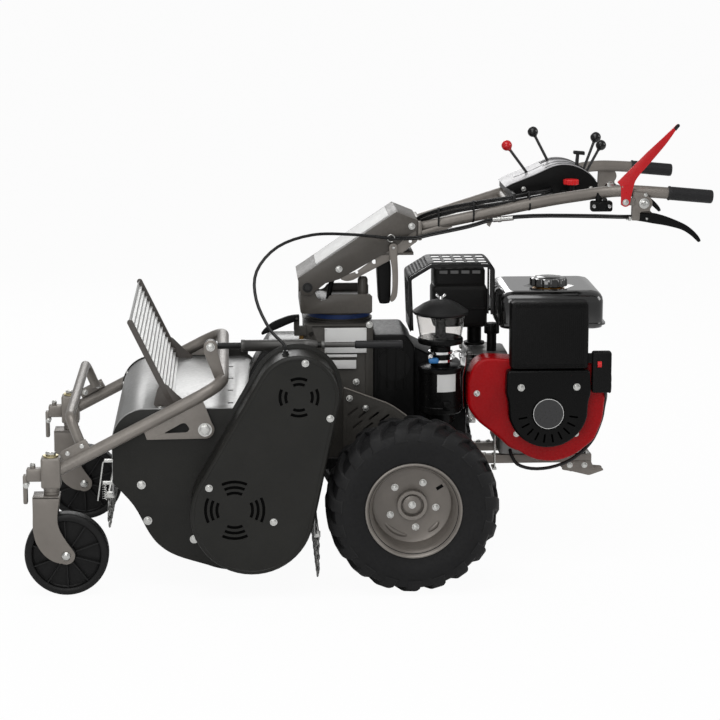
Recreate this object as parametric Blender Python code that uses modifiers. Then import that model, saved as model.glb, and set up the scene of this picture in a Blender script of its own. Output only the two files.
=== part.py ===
"""Hammer knife mower: a two-wheel tractor unit with a flail deck, castors and a swivelling handlebar.

The machine stands on z = 0 and drives towards -X, so its left side is -Y. Every place below is measured
from the wheel axle: X behind it, Y to the right of the middle plane, Z above the ground. The empty named
machine carries all pieces and puts the middle of the whole machine over the origin.
"""
import math

import bmesh
import bpy
from mathutils import Matrix, Vector

# Whole machine
AXLE_FROM_MIDDLE = 0.103
FIT_GAP = 0.0003
RUNNING_GAP = 0.0005
ROUND_SIDES = 12
TURNED_STEPS = 16

# Main wheels
WHEEL_STEPS = 24
TYRE_RADIUS = 0.207
TYRE_HALF_WIDTH = 0.0825
TREAD_HALF_WIDTH = 0.058
TYRE_WALL = 0.012
BEAD_RADIUS = 0.104
BEAD_HALF_WIDTH = 0.0720
RIM_FLANGE_RADIUS = 0.1156
RIM_FLANGE_THICK = 0.006
RIM_WALL = 0.006
RIM_DISC_HALF = 0.004
WHEEL_Y = 0.345
TYRE_TO_COVER_GAP = 0.0295
HUB_RADIUS = 0.036
HUB_REACH = 0.022
HALF_SHAFT_RADIUS = 0.016

# Castors
CASTOR_RADIUS = 0.100
CASTOR_WIDTH = 0.046
CASTOR_STEPS = 20
CASTOR_Y = 0.360
SWIVEL_X = -0.856
CASTOR_TRAIL = 0.033
CASTOR_X = SWIVEL_X + CASTOR_TRAIL
CASTOR_AXLE_RADIUS = 0.006
FORK_PLATE = 0.005
FORK_FRONT_X = SWIVEL_X - 0.0435
FORK_REAR_X = SWIVEL_X + 0.0200
FORK_TOP_Z = 0.2437
STEM_RADIUS = 0.010
HEAD_WIDTH = 0.046
HEAD_BOTTOM_Z = 0.262
HEAD_TOP_Z = 0.335
HEAD_SLEEVE_RADIUS = 0.019

# Castor frame
FRAME_TUBE_RADIUS = 0.015
FRAME_BEND_RADIUS = 0.060
ARM_FRONT = (SWIVEL_X + 0.006, 0.296)
ARM_BEND = (-0.450, 0.504)
PIVOT_X = -0.4916
PIVOT_Z = 0.3967
PIVOT_PIN_RADIUS = 0.008
GUSSET_THICK = 0.005
PIVOT_SPACER_Y = CASTOR_Y - GUSSET_THICK / 2 - FIT_GAP
LEVER_WIDTH = 0.033
LEVER_THICK = 0.007
LEVER_Y = -0.3010
BUMPER_RADIUS = 0.012
BUMPER_X = SWIVEL_X + 0.044
BUMPER_Z = 0.424
BUMPER_PLATE_X = SWIVEL_X + 0.069
BUMPER_PLATE_LENGTH = 0.060
BUMPER_PLATE_HEIGHT = 0.020
BUMPER_PLATE_THICK = 0.005
BUMPER_BOLT_RADIUS = 0.004

# Height adjuster
ADJUSTER_X = -0.477
ADJUSTER_Y = -0.288
ADJUSTER_Z = 0.584
ADJUSTER_PIN_RADIUS = 0.005
EYE_RADIUS = 0.016
EYE_PLAY = 0.003
SCREW_RADIUS = 0.0085
SCREW_END_X = -0.300
SLEEVE_RADIUS = 0.0145
SLEEVE_FRONT_X = -0.405
SLEEVE_REAR_X = -0.243
SLEEVE_BORE_END_X = -0.255
CRANK_ROD_RADIUS = 0.0065
CRANK_GRIP_RADIUS = 0.010
CRANK_GRIP_X = -0.134
CRANK_END_X = -0.018
BRACKET_X = -0.218
BRACKET_THICK = 0.008

# Deck
DECK_Y = 0.330
PLATE_THICK = 0.004
DECK_FRONT_X = -0.7125
DECK_TOP_Z = 0.440
HOOD_BEND_RADIUS = 0.0785
HOOD_REAR_X = -0.3853
SHEET = 0.003
DECK_FRONT_BOTTOM_Z = 0.228
DECK_REAR_X = -0.232
DECK_REAR_BOTTOM_Z = 0.124
HOOD_HOLE_X = -0.431
HOOD_HOLE_SIDE = 0.013
HOOD_HOLE_PITCH = 0.150
NECK_HALF_WIDTH = 0.060
NECK_WALL = 0.008
NECK_TOP_Z = 0.556
CURTAIN_END_GAP = 0.035
CURTAIN_HALF_WIDTH = DECK_Y - CURTAIN_END_GAP
CURTAIN_THICK = 0.008
CURTAIN_ROD_RADIUS = 0.004
FRONT_CURTAIN_X = -0.7245
FRONT_CURTAIN_Z = 0.224
FRONT_CURTAIN_DROP = 0.088
REAR_CURTAIN_X = -0.2235
REAR_CURTAIN_Z = 0.120
REAR_CURTAIN_DROP = 0.115

# Front guard plate
GUARD_TOP = (-0.6675, 0.6480)
GUARD_FOOT = (-0.5695, 0.4440)
GUARD_LEFT_Y = -0.284
GUARD_RIGHT_Y = 0.300
GUARD_RIBS = 13
GUARD_RIB_HEIGHT = 0.005
GUARD_SHEET = 0.002
GUARD_RAIL_WIDTH = 0.014
GUARD_RAIL_THICK = 0.006

# Rotor and knives
ROTOR_X = -0.4233
ROTOR_Z = 0.2177
ROTOR_TUBE_RADIUS = 0.045
ROTOR_END_GAP = 0.025
ROTOR_TUBE_HALF = DECK_Y - ROTOR_END_GAP
ROTOR_TUBE_WALL = 0.006
ROTOR_SHAFT_RADIUS = 0.015
KNIFE_CIRCLE = 0.068
KNIFE_REACH = 0.092
KNIFE_THICK = 0.008
KNIVES_PER_ROW = 5
KNIFE_PITCH = 2 * (ROTOR_TUBE_HALF - 0.010) / KNIVES_PER_ROW
KNIFE_WIDTH = KNIFE_PITCH - 0.032
KNIFE_ROD_RADIUS = 0.006
KNIFE_BOSS_RADIUS = 0.012
LUG_THICK = 0.008

# Blade drive
DRIVE_X = -0.2708
DRIVE_Z = 0.487
DRIVE_PULLEY_RADIUS = 0.068
ROTOR_PULLEY_RADIUS = 0.084
DRIVE_SHAFT_RADIUS = 0.012
BELT_Y = -0.396
BELT_WIDTH = 0.024
BELT_THICK = 0.010
PULLEY_WIDTH = 0.036
PULLEY_LIP = 0.006
ARC_STEP = math.radians(15)
IDLER_RADIUS = 0.022
IDLER_SHARE = 0.52
IDLER_ARM_LENGTH = 0.062
IDLER_ARM_THICK = 0.006
IDLER_ARM_Y = -0.366
IDLER_PIN_RADIUS = 0.005

# Belt cover
COVER_BACK_Y = -0.3325
COVER_FRONT_Y = -0.4400
COVER_WALL = 0.003
COVER_TOP = (-0.2740, 0.4870)
COVER_TOP_RADIUS = 0.0985
COVER_FOOT = (-0.3825, 0.2050)
COVER_FOOT_RADIUS = 0.146
WHEEL_X = COVER_FOOT[0] + COVER_FOOT_RADIUS + TYRE_TO_COVER_GAP + TYRE_RADIUS
BACK_LIP = 0.010
VENT_WIDTH = 0.005
VENT_PITCH = 0.011
UPPER_VENT_RADIUS = 0.045
LOWER_VENT_RADIUS = 0.066

# Gearbox and drive case
GEARBOX_FRONT_X = -0.2480
GEARBOX_REAR_X = -0.0800
GEARBOX_TOP_Z = 0.600
GEARBOX_BOTTOM_Z = 0.262
GEARBOX_HALF_WIDTH = 0.105
CASTING_WALL = 0.008
AXLE_BOX_FRONT_X = WHEEL_X - 0.120
AXLE_BOX_REAR_X = WHEEL_X + 0.080
AXLE_BOX_TOP_Z = 0.2697
AXLE_BOX_BOTTOM_Z = 0.148
AXLE_BOX_HALF_WIDTH = 0.080
TRUMPET_RADIUS = 0.030
TRUMPET_BORE = 0.0170
TRUMPET_END_Y = 0.3015
NECK_RING_RADIUS = 0.077
TURRET_X = -0.160
TURRET_BOTTOM_Z = 0.6250
TURRET_TOP_Z = 0.677
CASE_HALF_WIDTH = 0.112
CASE_REAR_X = 0.1547
CASE_STEP_X = 0.024
CASE_STEP_Y = -0.060
SIDE_COVER_Y = -0.150
SIDE_COVER_THICK = 0.003
SLOT_LENGTH = 0.030
SLOT_WIDTH = 0.005

# Engine
CRANK_X = 0.345
CRANK_Z = 0.385
CRANK_RADIUS = 0.0125
CRANKCASE_FRONT_X = 0.235
CRANKCASE_REAR_X = 0.455
CRANKCASE_LEFT_Y = -0.088
CRANKCASE_RIGHT_Y = 0.130
CRANKCASE_BOTTOM_Z = 0.262
CRANKCASE_TOP_Z = 0.470
CYLINDER_FRONT_X = 0.156
CYLINDER_TOP_Z = 0.520
SHROUD_FRONT_Y = -0.162
SHROUD_WALL = 0.002
RECOIL_FRONT_Y = -0.196
RECOIL_WALL = 0.003
FLYWHEEL_RADIUS = 0.074
RAIL_TOP_Z = 0.2617
RAIL_BOTTOM_Z = 0.240
RAIL_Y = 0.070
RAIL_WIDTH = 0.024
MUFFLER_LOW = (0.0735, -0.012, 0.5720)
MUFFLER_HIGH = (0.2150, 0.125, 0.6760)
GUARD_CAGE_LEFT_Y = 0.000
GUARD_CAGE_RIGHT_Y = 0.150
CAGE_SHEET = 0.003
CLEANER_X = 0.0855
CLEANER_Y = -0.120
TANK_LOW = (0.2315, -0.1440, 0.5900)
TANK_HIGH = (0.4920, 0.1350, 0.6830)
TANK_ROUNDING = 0.022
TANK_WALL = 0.006
FUEL_CAP_X = 0.3600
FUEL_CAP_Y = -0.045
FUEL_CAP_RADIUS = 0.047
PANEL_LOW = (0.2510, -0.1960, 0.5000)
PANEL_HIGH = (0.4420, -0.1445, 0.6660)
SWITCH_LOW = (0.4530, -0.1900, 0.4390)
SWITCH_HIGH = (0.5000, -0.1625, 0.5410)
ROCKER_X = 0.4700
ROCKER_Z = 0.5110
STARTER_X = 0.4985
STARTER_Y = -0.120
STARTER_Z = 0.4505
ROPE_RADIUS = 0.0022

# Mast and handlebar
PIN_X = -0.2403
PIN_Z = 0.6920
PIN_RADIUS = 0.008
MAST_HALF_WIDTH = 0.100
MAST_SHEET = 0.005
LATCH_X = -0.0300
LATCH_Z = 0.7900
BAR_RADIUS = 0.014
GRIP_RADIUS = 0.0165
GRIP_START = (0.6095, 0.2800, 0.9420)
GRIP_END = (0.7200, 0.2800, 0.9320)
CONSOLE_HALF_WIDTH = 0.085
KNOB_RADIUS = 0.0115
LEVER_ROD_RADIUS = 0.0035
LEVER_SHAFT_RADIUS = 0.0025
LEVER_BOSS_RADIUS = 0.007
GATE_HALF_WIDTH = 0.005
GATE_LEVERS = {
    "gear_lever": {"pivot": (0.3300, 0.000, 0.9300), "knob": (0.2545, 0.000, 1.0310), "gate": (0.279, 0.345)},
    "speed_lever": {"pivot": (0.3880, 0.045, 0.9400), "knob": (0.3248, 0.045, 1.0605), "gate": (0.352, 0.400)},
    "pto_lever": {"pivot": (0.4400, 0.018, 0.9350), "knob": (0.4816, 0.018, 1.0490), "gate": (0.424, 0.464)},
    "lock_lever": {"pivot": (0.4490, 0.068, 0.9230), "knob": (0.5032, 0.068, 1.0238), "gate": (0.438, 0.471)},
}
THROTTLE_PIVOT = (0.4250, -0.035, 0.9650)
DIAL_PLACE = (0.4025, -0.1150, 0.9370)
DIAL_RADIUS = 0.019
CLAMP_LOW = (0.5040, 0.8774)
SAFETY_PIVOT = (0.5066, 0.9240)
HAND_LEVER_PIVOT = (0.5608, 0.8820)
HITCH_PIVOT = (-0.2680, -0.125, 0.6200)

# Looks: colour, roughness, metallic
TAUPE = ((0.21, 0.19, 0.17), 0.45, 0.3)
CHARCOAL = ((0.025, 0.025, 0.022), 0.5, 0.2)
CASTING_GREY = ((0.05, 0.045, 0.04), 0.6, 0.2)
BLACK = ((0.010, 0.010, 0.010), 0.5, 0.1)
RUBBER = ((0.008, 0.008, 0.008), 0.8, 0.0)
GALVANISED = ((0.55, 0.55, 0.54), 0.35, 0.9)
STEEL = ((0.45, 0.45, 0.45), 0.35, 1.0)
RED = ((0.45, 0.01, 0.01), 0.35, 0.2)

AXIS_TURNS = {
    "X": (0.0, math.radians(90), 0.0),
    "Y": (math.radians(-90), 0.0, 0.0),
    "-Y": (math.radians(90), 0.0, 0.0),
    "Z": (0.0, 0.0, 0.0),
}
PLANE_TURNS = {
    "XZ": (math.radians(90), 0.0, 0.0),
    "XY": (0.0, 0.0, 0.0),
    "YZ": (math.radians(90), 0.0, math.radians(90)),
}


def clear_scene():
    """Remove every object that the start-up scene holds."""
    for old in list(bpy.data.objects):
        bpy.data.objects.remove(old, do_unlink=True)


def new_collection(name):
    """A collection linked to the scene."""
    collection = bpy.data.collections.new(name)
    bpy.context.scene.collection.children.link(collection)
    return collection


clear_scene()
PARTS = new_collection("hammer_knife_mower")
CUTTERS = new_collection("cutters")
MACHINE = bpy.data.objects.new("machine", None)
MACHINE.location = (AXLE_FROM_MIDDLE, 0.0, 0.0)
PARTS.objects.link(MACHINE)
bpy.context.view_layer.update()


def add_object(name, data, location, turn=(0.0, 0.0, 0.0)):
    """Link an object into the machine at a place measured from the axle."""
    obj = bpy.data.objects.new(name, data)
    PARTS.objects.link(obj)
    obj.parent = MACHINE
    obj.location = location
    obj.rotation_euler = turn
    return obj


def paint(obj, look):
    """Give an object its own Principled material."""
    colour, roughness, metallic = look
    material = bpy.data.materials.new(obj.name + "_finish")
    material.use_nodes = True
    shader = material.node_tree.nodes["Principled BSDF"]
    shader.inputs["Base Color"].default_value = (*colour, 1.0)
    shader.inputs["Roughness"].default_value = roughness
    shader.inputs["Metallic"].default_value = metallic
    obj.data.materials.clear()
    obj.data.materials.append(material)
    return obj


def box(name, low, high):
    """A block between two opposite corners, with its origin in its middle."""
    middle = [(a + b) / 2 for a, b in zip(low, high)]
    size = [b - a for a, b in zip(low, high)]
    mesh = bpy.data.meshes.new(name)
    shape = bmesh.new()
    bmesh.ops.create_cube(shape, size=1.0, matrix=Matrix.Diagonal((*size, 1.0)))
    shape.to_mesh(mesh)
    shape.free()
    return add_object(name, mesh, middle)


def rounded_box(name, low, high, rounding):
    """A block with rounded edges."""
    block = box(name, low, high)
    edges = block.modifiers.new("edges", "BEVEL")
    edges.width = rounding
    edges.segments = 2
    return block


def cylinder(name, axis, centre, radius, length, sides=ROUND_SIDES):
    """A round bar with its middle at centre, along X, Y or Z."""
    mesh = bpy.data.meshes.new(name)
    shape = bmesh.new()
    bmesh.ops.create_cone(shape, cap_ends=True, segments=sides, radius1=radius, radius2=radius, depth=length)
    shape.to_mesh(mesh)
    shape.free()
    return add_object(name, mesh, centre, AXIS_TURNS[axis])


def bar(name, axis, place, low, high, radius, sides=ROUND_SIDES):
    """A round bar along X, Y or Z between two positions on its axis; place gives its other two positions."""
    centre = Vector(place)
    centre["XYZ".index(axis)] = (low + high) / 2
    return cylinder(name, axis, centre, radius, high - low, sides)


def bore_radius(radius, gap=RUNNING_GAP, sides=ROUND_SIDES):
    """Corner radius of a many-sided hole whose flats clear a bar of the given radius."""
    return (radius + gap) / math.cos(math.pi / sides)


def sphere(name, centre, radius, steps=10):
    """A ball."""
    mesh = bpy.data.meshes.new(name)
    shape = bmesh.new()
    bmesh.ops.create_uvsphere(shape, u_segments=steps, v_segments=steps // 2, radius=radius)
    shape.to_mesh(mesh)
    shape.free()
    return add_object(name, mesh, centre)


def turned(name, axis, centre, profile, steps, ring=False):
    """A turned piece: (radius, height) pairs from the top down the outer side, height along the axis.

    A half step of turn at the start puts a flat of the piece, and not an edge, straight down.
    """
    half = math.pi / steps
    mesh = bpy.data.meshes.new(name)
    points = [(r * math.cos(half), r * math.sin(half), h) for r, h in profile]
    edges = [(i, i + 1) for i in range(len(points) - 1)]
    if ring:
        edges.append((len(points) - 1, 0))
    mesh.from_pydata(points, edges, [])
    obj = add_object(name, mesh, centre, AXIS_TURNS[axis])
    screw = obj.modifiers.new("turn", "SCREW")
    screw.steps = steps
    screw.render_steps = steps
    screw.use_merge_vertices = True
    screw.merge_threshold = 0.00001
    return obj


def as_mesh(obj):
    """Replace a curve object by a mesh object with welded caps."""
    bpy.context.view_layer.update()
    shown = obj.evaluated_get(bpy.context.evaluated_depsgraph_get())
    mesh = bpy.data.meshes.new_from_object(shown)
    shape = bmesh.new()
    shape.from_mesh(mesh)
    bmesh.ops.remove_doubles(shape, verts=shape.verts, dist=0.00002)
    bmesh.ops.recalc_face_normals(shape, faces=shape.faces)
    shape.to_mesh(mesh)
    shape.free()
    name = obj.name
    location = obj.location.copy()
    turn = obj.rotation_euler.copy()
    curve = obj.data
    bpy.data.objects.remove(obj, do_unlink=True)
    bpy.data.curves.remove(curve)
    return add_object(name, mesh, location, turn)


def slab(name, plane, centre, thickness, outline, holes=()):
    """A flat piece: an outline in XZ, XY or YZ through centre, with its thickness across the plane."""
    curve = bpy.data.curves.new(name, "CURVE")
    curve.dimensions = "2D"
    curve.fill_mode = "BOTH"
    curve.extrude = thickness / 2
    for ring in (outline, *holes):
        spline = curve.splines.new("POLY")
        spline.points.add(len(ring) - 1)
        for point, (a, b) in zip(spline.points, ring):
            point.co = (a, b, 0.0, 1.0)
        spline.use_cyclic_u = True
    return as_mesh(add_object(name, curve, centre, PLANE_TURNS[plane]))


def plate(name, y, thickness, outline, holes=()):
    """A flat piece that stands fore and aft: its outline holds (X, Z) pairs and its middle is at y."""
    return slab(name, "XZ", (0.0, y, 0.0), thickness, outline, holes)


def tube(name, points, radius, resolution=2, closed=False):
    """A round bar or wire along a list of points."""
    curve = bpy.data.curves.new(name, "CURVE")
    curve.dimensions = "3D"
    curve.bevel_depth = radius
    curve.bevel_resolution = resolution
    curve.use_fill_caps = not closed
    spline = curve.splines.new("POLY")
    spline.points.add(len(points) - 1)
    for point, place in zip(spline.points, points):
        point.co = (*place, 1.0)
    spline.use_cyclic_u = closed
    return as_mesh(add_object(name, curve, (0.0, 0.0, 0.0)))


def into_cutters(tool):
    """Move a tool out of the machine's own pieces."""
    PARTS.objects.unlink(tool)
    CUTTERS.objects.link(tool)
    tool.hide_render = True
    tool.display_type = "WIRE"


def combine(target, operation, tools):
    """Join tools to a piece or cut them out of it."""
    for tool in tools:
        into_cutters(tool)
        change = target.modifiers.new(tool.name, "BOOLEAN")
        change.operation = operation
        change.object = tool
    return target


def join(target, *tools):
    """Weld other solids onto a piece."""
    return combine(target, "UNION", tools)


def cut(target, *tools):
    """Cut other solids out of a piece."""
    return combine(target, "DIFFERENCE", tools)


def put_origin(obj, place):
    """Move a piece's origin onto its joint, leaving the piece where it is."""
    shift = Vector(place) - obj.location
    turn_back = obj.rotation_euler.to_matrix().inverted()
    obj.data.transform(Matrix.Translation(-(turn_back @ shift)))
    obj.location = place
    return obj


def arc(cx, cz, radius, start, end, steps):
    """Points on a round stretch from one angle to another, in degrees."""
    angles = [math.radians(start + (end - start) * i / steps) for i in range(steps + 1)]
    return [(cx + radius * math.cos(a), cz + radius * math.sin(a)) for a in angles]


def bend(points, radius, steps=4):
    """Round the inner corners of a route of straight runs."""
    path = [Vector(p) for p in points]
    route = [path[0]]
    for before, corner, after in zip(path, path[1:], path[2:]):
        back = (before - corner).normalized()
        ahead = (after - corner).normalized()
        half_angle = back.angle(ahead) / 2
        run = radius / math.tan(half_angle)
        centre = corner + (back + ahead).normalized() * radius / math.sin(half_angle)
        first = corner + back * run - centre
        last = corner + ahead * run - centre
        turn = first.rotation_difference(last)
        for i in range(steps + 1):
            share = i / steps
            step = turn.copy()
            step.identity()
            route.append(centre + step.slerp(turn, share) @ first)
    route.append(path[-1])
    return route


def smooth_route(points, samples):
    """Points along a smooth curve through the places chosen for a cable."""
    path = [Vector(p) for p in points]
    path = [path[0] * 2 - path[1], *path, path[-1] * 2 - path[-2]]
    route = []
    for i in range(1, len(path) - 2):
        before, start, end, after = path[i - 1], path[i], path[i + 1], path[i + 2]
        for j in range(samples):
            t = j / samples
            route.append(0.5 * (2 * start + (end - before) * t
                                + (2 * before - 5 * start + 4 * end - after) * t ** 2
                                + (3 * start - before - 3 * end + after) * t ** 3))
    route.append(path[-2])
    return route


def offset_path(points, distance):
    """An open path moved sideways, to the right of its own direction."""
    path = [Vector(p) for p in points]
    sides = []
    for start, end in zip(path, path[1:]):
        along = (end - start).normalized()
        sides.append(Vector((along.y, -along.x)))
    moved = [path[0] + sides[0] * distance]
    for corner, before, after in zip(path[1:], sides, sides[1:]):
        middle = (before + after).normalized()
        moved.append(corner + middle * distance / middle.dot(before))
    moved.append(path[-1] + sides[-1] * distance)
    return [(p.x, p.y) for p in moved]


def strip(points, thickness):
    """The outline of bent sheet: an open path and the same path moved by the sheet's thickness."""
    return points + offset_path(points, thickness)[::-1]


def tangent_loop(first, first_radius, second, second_radius):
    """The outline of a band that runs round two circles, with each round stretch just outside its circle."""
    across = Vector(second) - Vector(first)
    heading = math.atan2(across.y, across.x)
    lean = math.acos((first_radius - second_radius) / across.length)
    outline = []
    for centre, radius, start, end in (
            (second, second_radius, heading - lean, heading + lean),
            (first, first_radius, heading + lean, heading - lean + 2 * math.pi)):
        steps = max(2, round((end - start) / ARC_STEP))
        reach = radius / math.cos((end - start) / steps / 2)
        angles = [start + (end - start) * (i + 0.5) / steps for i in range(steps)]
        outline.append((centre[0] + radius * math.cos(start), centre[1] + radius * math.sin(start)))
        outline += [(centre[0] + reach * math.cos(a), centre[1] + reach * math.sin(a)) for a in angles]
        outline.append((centre[0] + radius * math.cos(end), centre[1] + radius * math.sin(end)))
    return outline


# Main wheels


def make_wheel(side, axis, y):
    """A rim with its half shaft, and the tyre that sits on it. Heights run outboard from the tyre's middle."""
    flange = BEAD_HALF_WIDTH + RIM_FLANGE_THICK
    barrel = BEAD_RADIUS - RIM_WALL
    shaft_end = -(WHEEL_Y - RUNNING_GAP)
    rim_profile = [
        (0.0, HUB_REACH + 0.008),
        (0.012, HUB_REACH + 0.008),
        (0.012, HUB_REACH),
        (HUB_RADIUS, HUB_REACH),
        (HUB_RADIUS + 0.002, RIM_DISC_HALF),
        (barrel, RIM_DISC_HALF),
        (barrel, flange - 0.012),
        (RIM_FLANGE_RADIUS, flange),
        (RIM_FLANGE_RADIUS, BEAD_HALF_WIDTH),
        (BEAD_RADIUS, BEAD_HALF_WIDTH),
        (BEAD_RADIUS, -BEAD_HALF_WIDTH),
        (RIM_FLANGE_RADIUS, -BEAD_HALF_WIDTH),
        (RIM_FLANGE_RADIUS, -flange),
        (barrel, -flange),
        (barrel, -RIM_DISC_HALF),
        (HUB_RADIUS, -RIM_DISC_HALF),
        (HUB_RADIUS - 0.006, -(WHEEL_Y - TRUMPET_END_Y) + 0.003),
        (HALF_SHAFT_RADIUS, -(WHEEL_Y - TRUMPET_END_Y) + 0.003),
        (HALF_SHAFT_RADIUS, shaft_end),
        (0.0, shaft_end),
    ]
    rim = turned("rim_" + side, axis, (WHEEL_X, y, TYRE_RADIUS), rim_profile, WHEEL_STEPS)
    paint(rim, TAUPE)
    tread = TYRE_RADIUS / math.cos(math.pi / WHEEL_STEPS)
    seat = bore_radius(BEAD_RADIUS, FIT_GAP, WHEEL_STEPS)
    bead = BEAD_HALF_WIDTH - FIT_GAP
    tyre_profile = [
        (tread, TREAD_HALF_WIDTH),
        (tread, -TREAD_HALF_WIDTH),
        (tread - 0.012, -TYRE_HALF_WIDTH + 0.006),
        (0.160, -TYRE_HALF_WIDTH),
        (RIM_FLANGE_RADIUS + 0.004, -bead - 0.004),
        (RIM_FLANGE_RADIUS + 0.001, -bead),
        (seat, -bead),
        (seat, -bead + TYRE_WALL),
        (tread - TYRE_WALL, -TREAD_HALF_WIDTH),
        (tread - TYRE_WALL, TREAD_HALF_WIDTH),
        (seat, bead - TYRE_WALL),
        (seat, bead),
        (RIM_FLANGE_RADIUS + 0.001, bead),
        (RIM_FLANGE_RADIUS + 0.004, bead + 0.004),
        (0.160, TYRE_HALF_WIDTH),
        (tread - 0.012, TYRE_HALF_WIDTH - 0.006),
    ]
    tyre = turned("tyre_" + side, axis, (WHEEL_X, y, TYRE_RADIUS), tyre_profile, WHEEL_STEPS, ring=True)
    paint(tyre, RUBBER)


# Castors and their frame


def arm_slope():
    """How steeply the frame's arms rise towards the rear, as an angle."""
    return math.atan2(ARM_BEND[1] - ARM_FRONT[1], ARM_BEND[0] - ARM_FRONT[0])


def arm_height(x):
    """Height of the middle of an arm at a place along the machine."""
    return ARM_FRONT[1] + (x - ARM_FRONT[0]) * math.tan(arm_slope())


def sloped_plate(name, y, thickness, x, offset, length, height):
    """A plate along an arm, with its middle a given distance above the arm's middle line."""
    slope = arm_slope()
    along = Vector((math.cos(slope), math.sin(slope)))
    up = Vector((-math.sin(slope), math.cos(slope)))
    middle = Vector((x, arm_height(x))) + up * offset
    corners = [middle + along * length * a + up * height * b
               for a, b in ((-0.5, -0.5), (0.5, -0.5), (0.5, 0.5), (-0.5, 0.5))]
    return plate(name, y, thickness, [(p.x, p.y) for p in corners])


def bumper_bolts():
    """Places of the two bolts on each bumper bracket."""
    slope = arm_slope()
    offset = FRAME_TUBE_RADIUS + 0.0012 + BUMPER_PLATE_HEIGHT / 2
    middle = Vector((BUMPER_PLATE_X, arm_height(BUMPER_PLATE_X))) + Vector(
        (-math.sin(slope), math.cos(slope))) * offset
    along = Vector((math.cos(slope), math.sin(slope)))
    return [middle + along * BUMPER_PLATE_LENGTH * share for share in (-0.32, 0.32)]


def make_castor_frame():
    """The U-shaped tube with its swivel heads, gussets, bumper lugs and the height lever."""
    front_x, front_z = ARM_FRONT
    bend_x, bend_z = ARM_BEND
    corners = [(front_x, -CASTOR_Y, front_z), (bend_x, -CASTOR_Y, bend_z),
               (bend_x, CASTOR_Y, bend_z), (front_x, CASTOR_Y, front_z)]
    frame = tube("castor_frame", bend(corners, FRAME_BEND_RADIUS), FRAME_TUBE_RADIUS, resolution=2)
    half = HEAD_WIDTH / 2
    bores = []
    for side, sign in (("left", -1), ("right", 1)):
        y = sign * CASTOR_Y
        join(frame, box("head_" + side, (SWIVEL_X - half, y - half, HEAD_BOTTOM_Z),
                        (SWIVEL_X + half, y + half, HEAD_TOP_Z)))
        sleeve_low = FORK_TOP_Z + FIT_GAP
        join(frame, cylinder("head_sleeve_" + side, "Z", (SWIVEL_X, y, (sleeve_low + HEAD_BOTTOM_Z + 0.004) / 2),
                             HEAD_SLEEVE_RADIUS, HEAD_BOTTOM_Z + 0.004 - sleeve_low))
        join(frame, box("clamp_lug_" + side, (SWIVEL_X - half - 0.036, y - 0.012, 0.2765),
                        (SWIVEL_X - half + 0.004, y + 0.012, 0.3085)))
        join(frame, box("clamp_tongue_" + side, (SWIVEL_X - 0.0670, y - 0.011, 0.222),
                        (SWIVEL_X - 0.0562, y + 0.011, 0.285)))
        join(frame, plate("gusset_" + side, y, GUSSET_THICK, gusset_outline(), [gusset_window()]))
        join(frame, sloped_plate("bumper_lug_" + side, sign * (CASTOR_Y - 0.001), BUMPER_PLATE_THICK,
                                 BUMPER_PLATE_X, FRAME_TUBE_RADIUS + 0.009, BUMPER_PLATE_LENGTH, 0.026))
        bores.append(cylinder("head_bore_" + side, "Z", (SWIVEL_X, y, 0.29), bore_radius(STEM_RADIUS), 0.14))
        bores.append(cylinder("pivot_bore_" + side, "Y", (PIVOT_X, y, PIVOT_Z),
                              bore_radius(PIVOT_PIN_RADIUS), 0.03))
        for i, bolt in enumerate(bumper_bolts()):
            bores.append(cylinder(f"bumper_hole_{side}_{i}", "Y", (bolt.x, sign * (CASTOR_Y - 0.001), bolt.y),
                                  bore_radius(BUMPER_BOLT_RADIUS, sides=8), 0.02, sides=8))
    lean = (ARM_BEND[0] - ADJUSTER_X) / (ARM_BEND[1] - ADJUSTER_Z)
    half_lever = LEVER_WIDTH / 2
    lever = plate("height_lever", LEVER_Y, LEVER_THICK, [
        (ARM_BEND[0] - half_lever, ARM_BEND[1]), (ARM_BEND[0] + 0.010, ARM_BEND[1] - 0.006),
        (ADJUSTER_X + half_lever - 0.012 * lean, ADJUSTER_Z - 0.012),
        *arc(ADJUSTER_X, ADJUSTER_Z, half_lever, 0, 180, 8),
        (ADJUSTER_X - half_lever - 0.012 * lean, ADJUSTER_Z - 0.012)])
    pin_left = LEVER_Y - LEVER_THICK / 2 - 0.006
    pin_right = ADJUSTER_Y + 0.010
    pin = cylinder("lever_pin", "Y", (ADJUSTER_X, (pin_left + pin_right) / 2, ADJUSTER_Z),
                   ADJUSTER_PIN_RADIUS, pin_right - pin_left, sides=8)
    join(frame, lever, pin)
    cut(frame, *bores)
    paint(frame, TAUPE)
    put_origin(frame, (PIVOT_X, 0.0, PIVOT_Z))


def gusset_outline():
    """The triangular plate between an arm and its pivot."""
    tip = arc(PIVOT_X, PIVOT_Z, 0.022, -100, 40, 6)
    return [(-0.640, arm_height(-0.640)), (-0.629, 0.3735), *tip,
            (-0.500, arm_height(-0.500)), (-0.560, arm_height(-0.560))]


def gusset_window():
    """The three-sided hole in a gusset."""
    return [(-0.588, 0.3880), (-0.533, 0.3905), (-0.528, 0.3990), (-0.538, 0.4130), (-0.546, 0.4120)]


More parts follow.
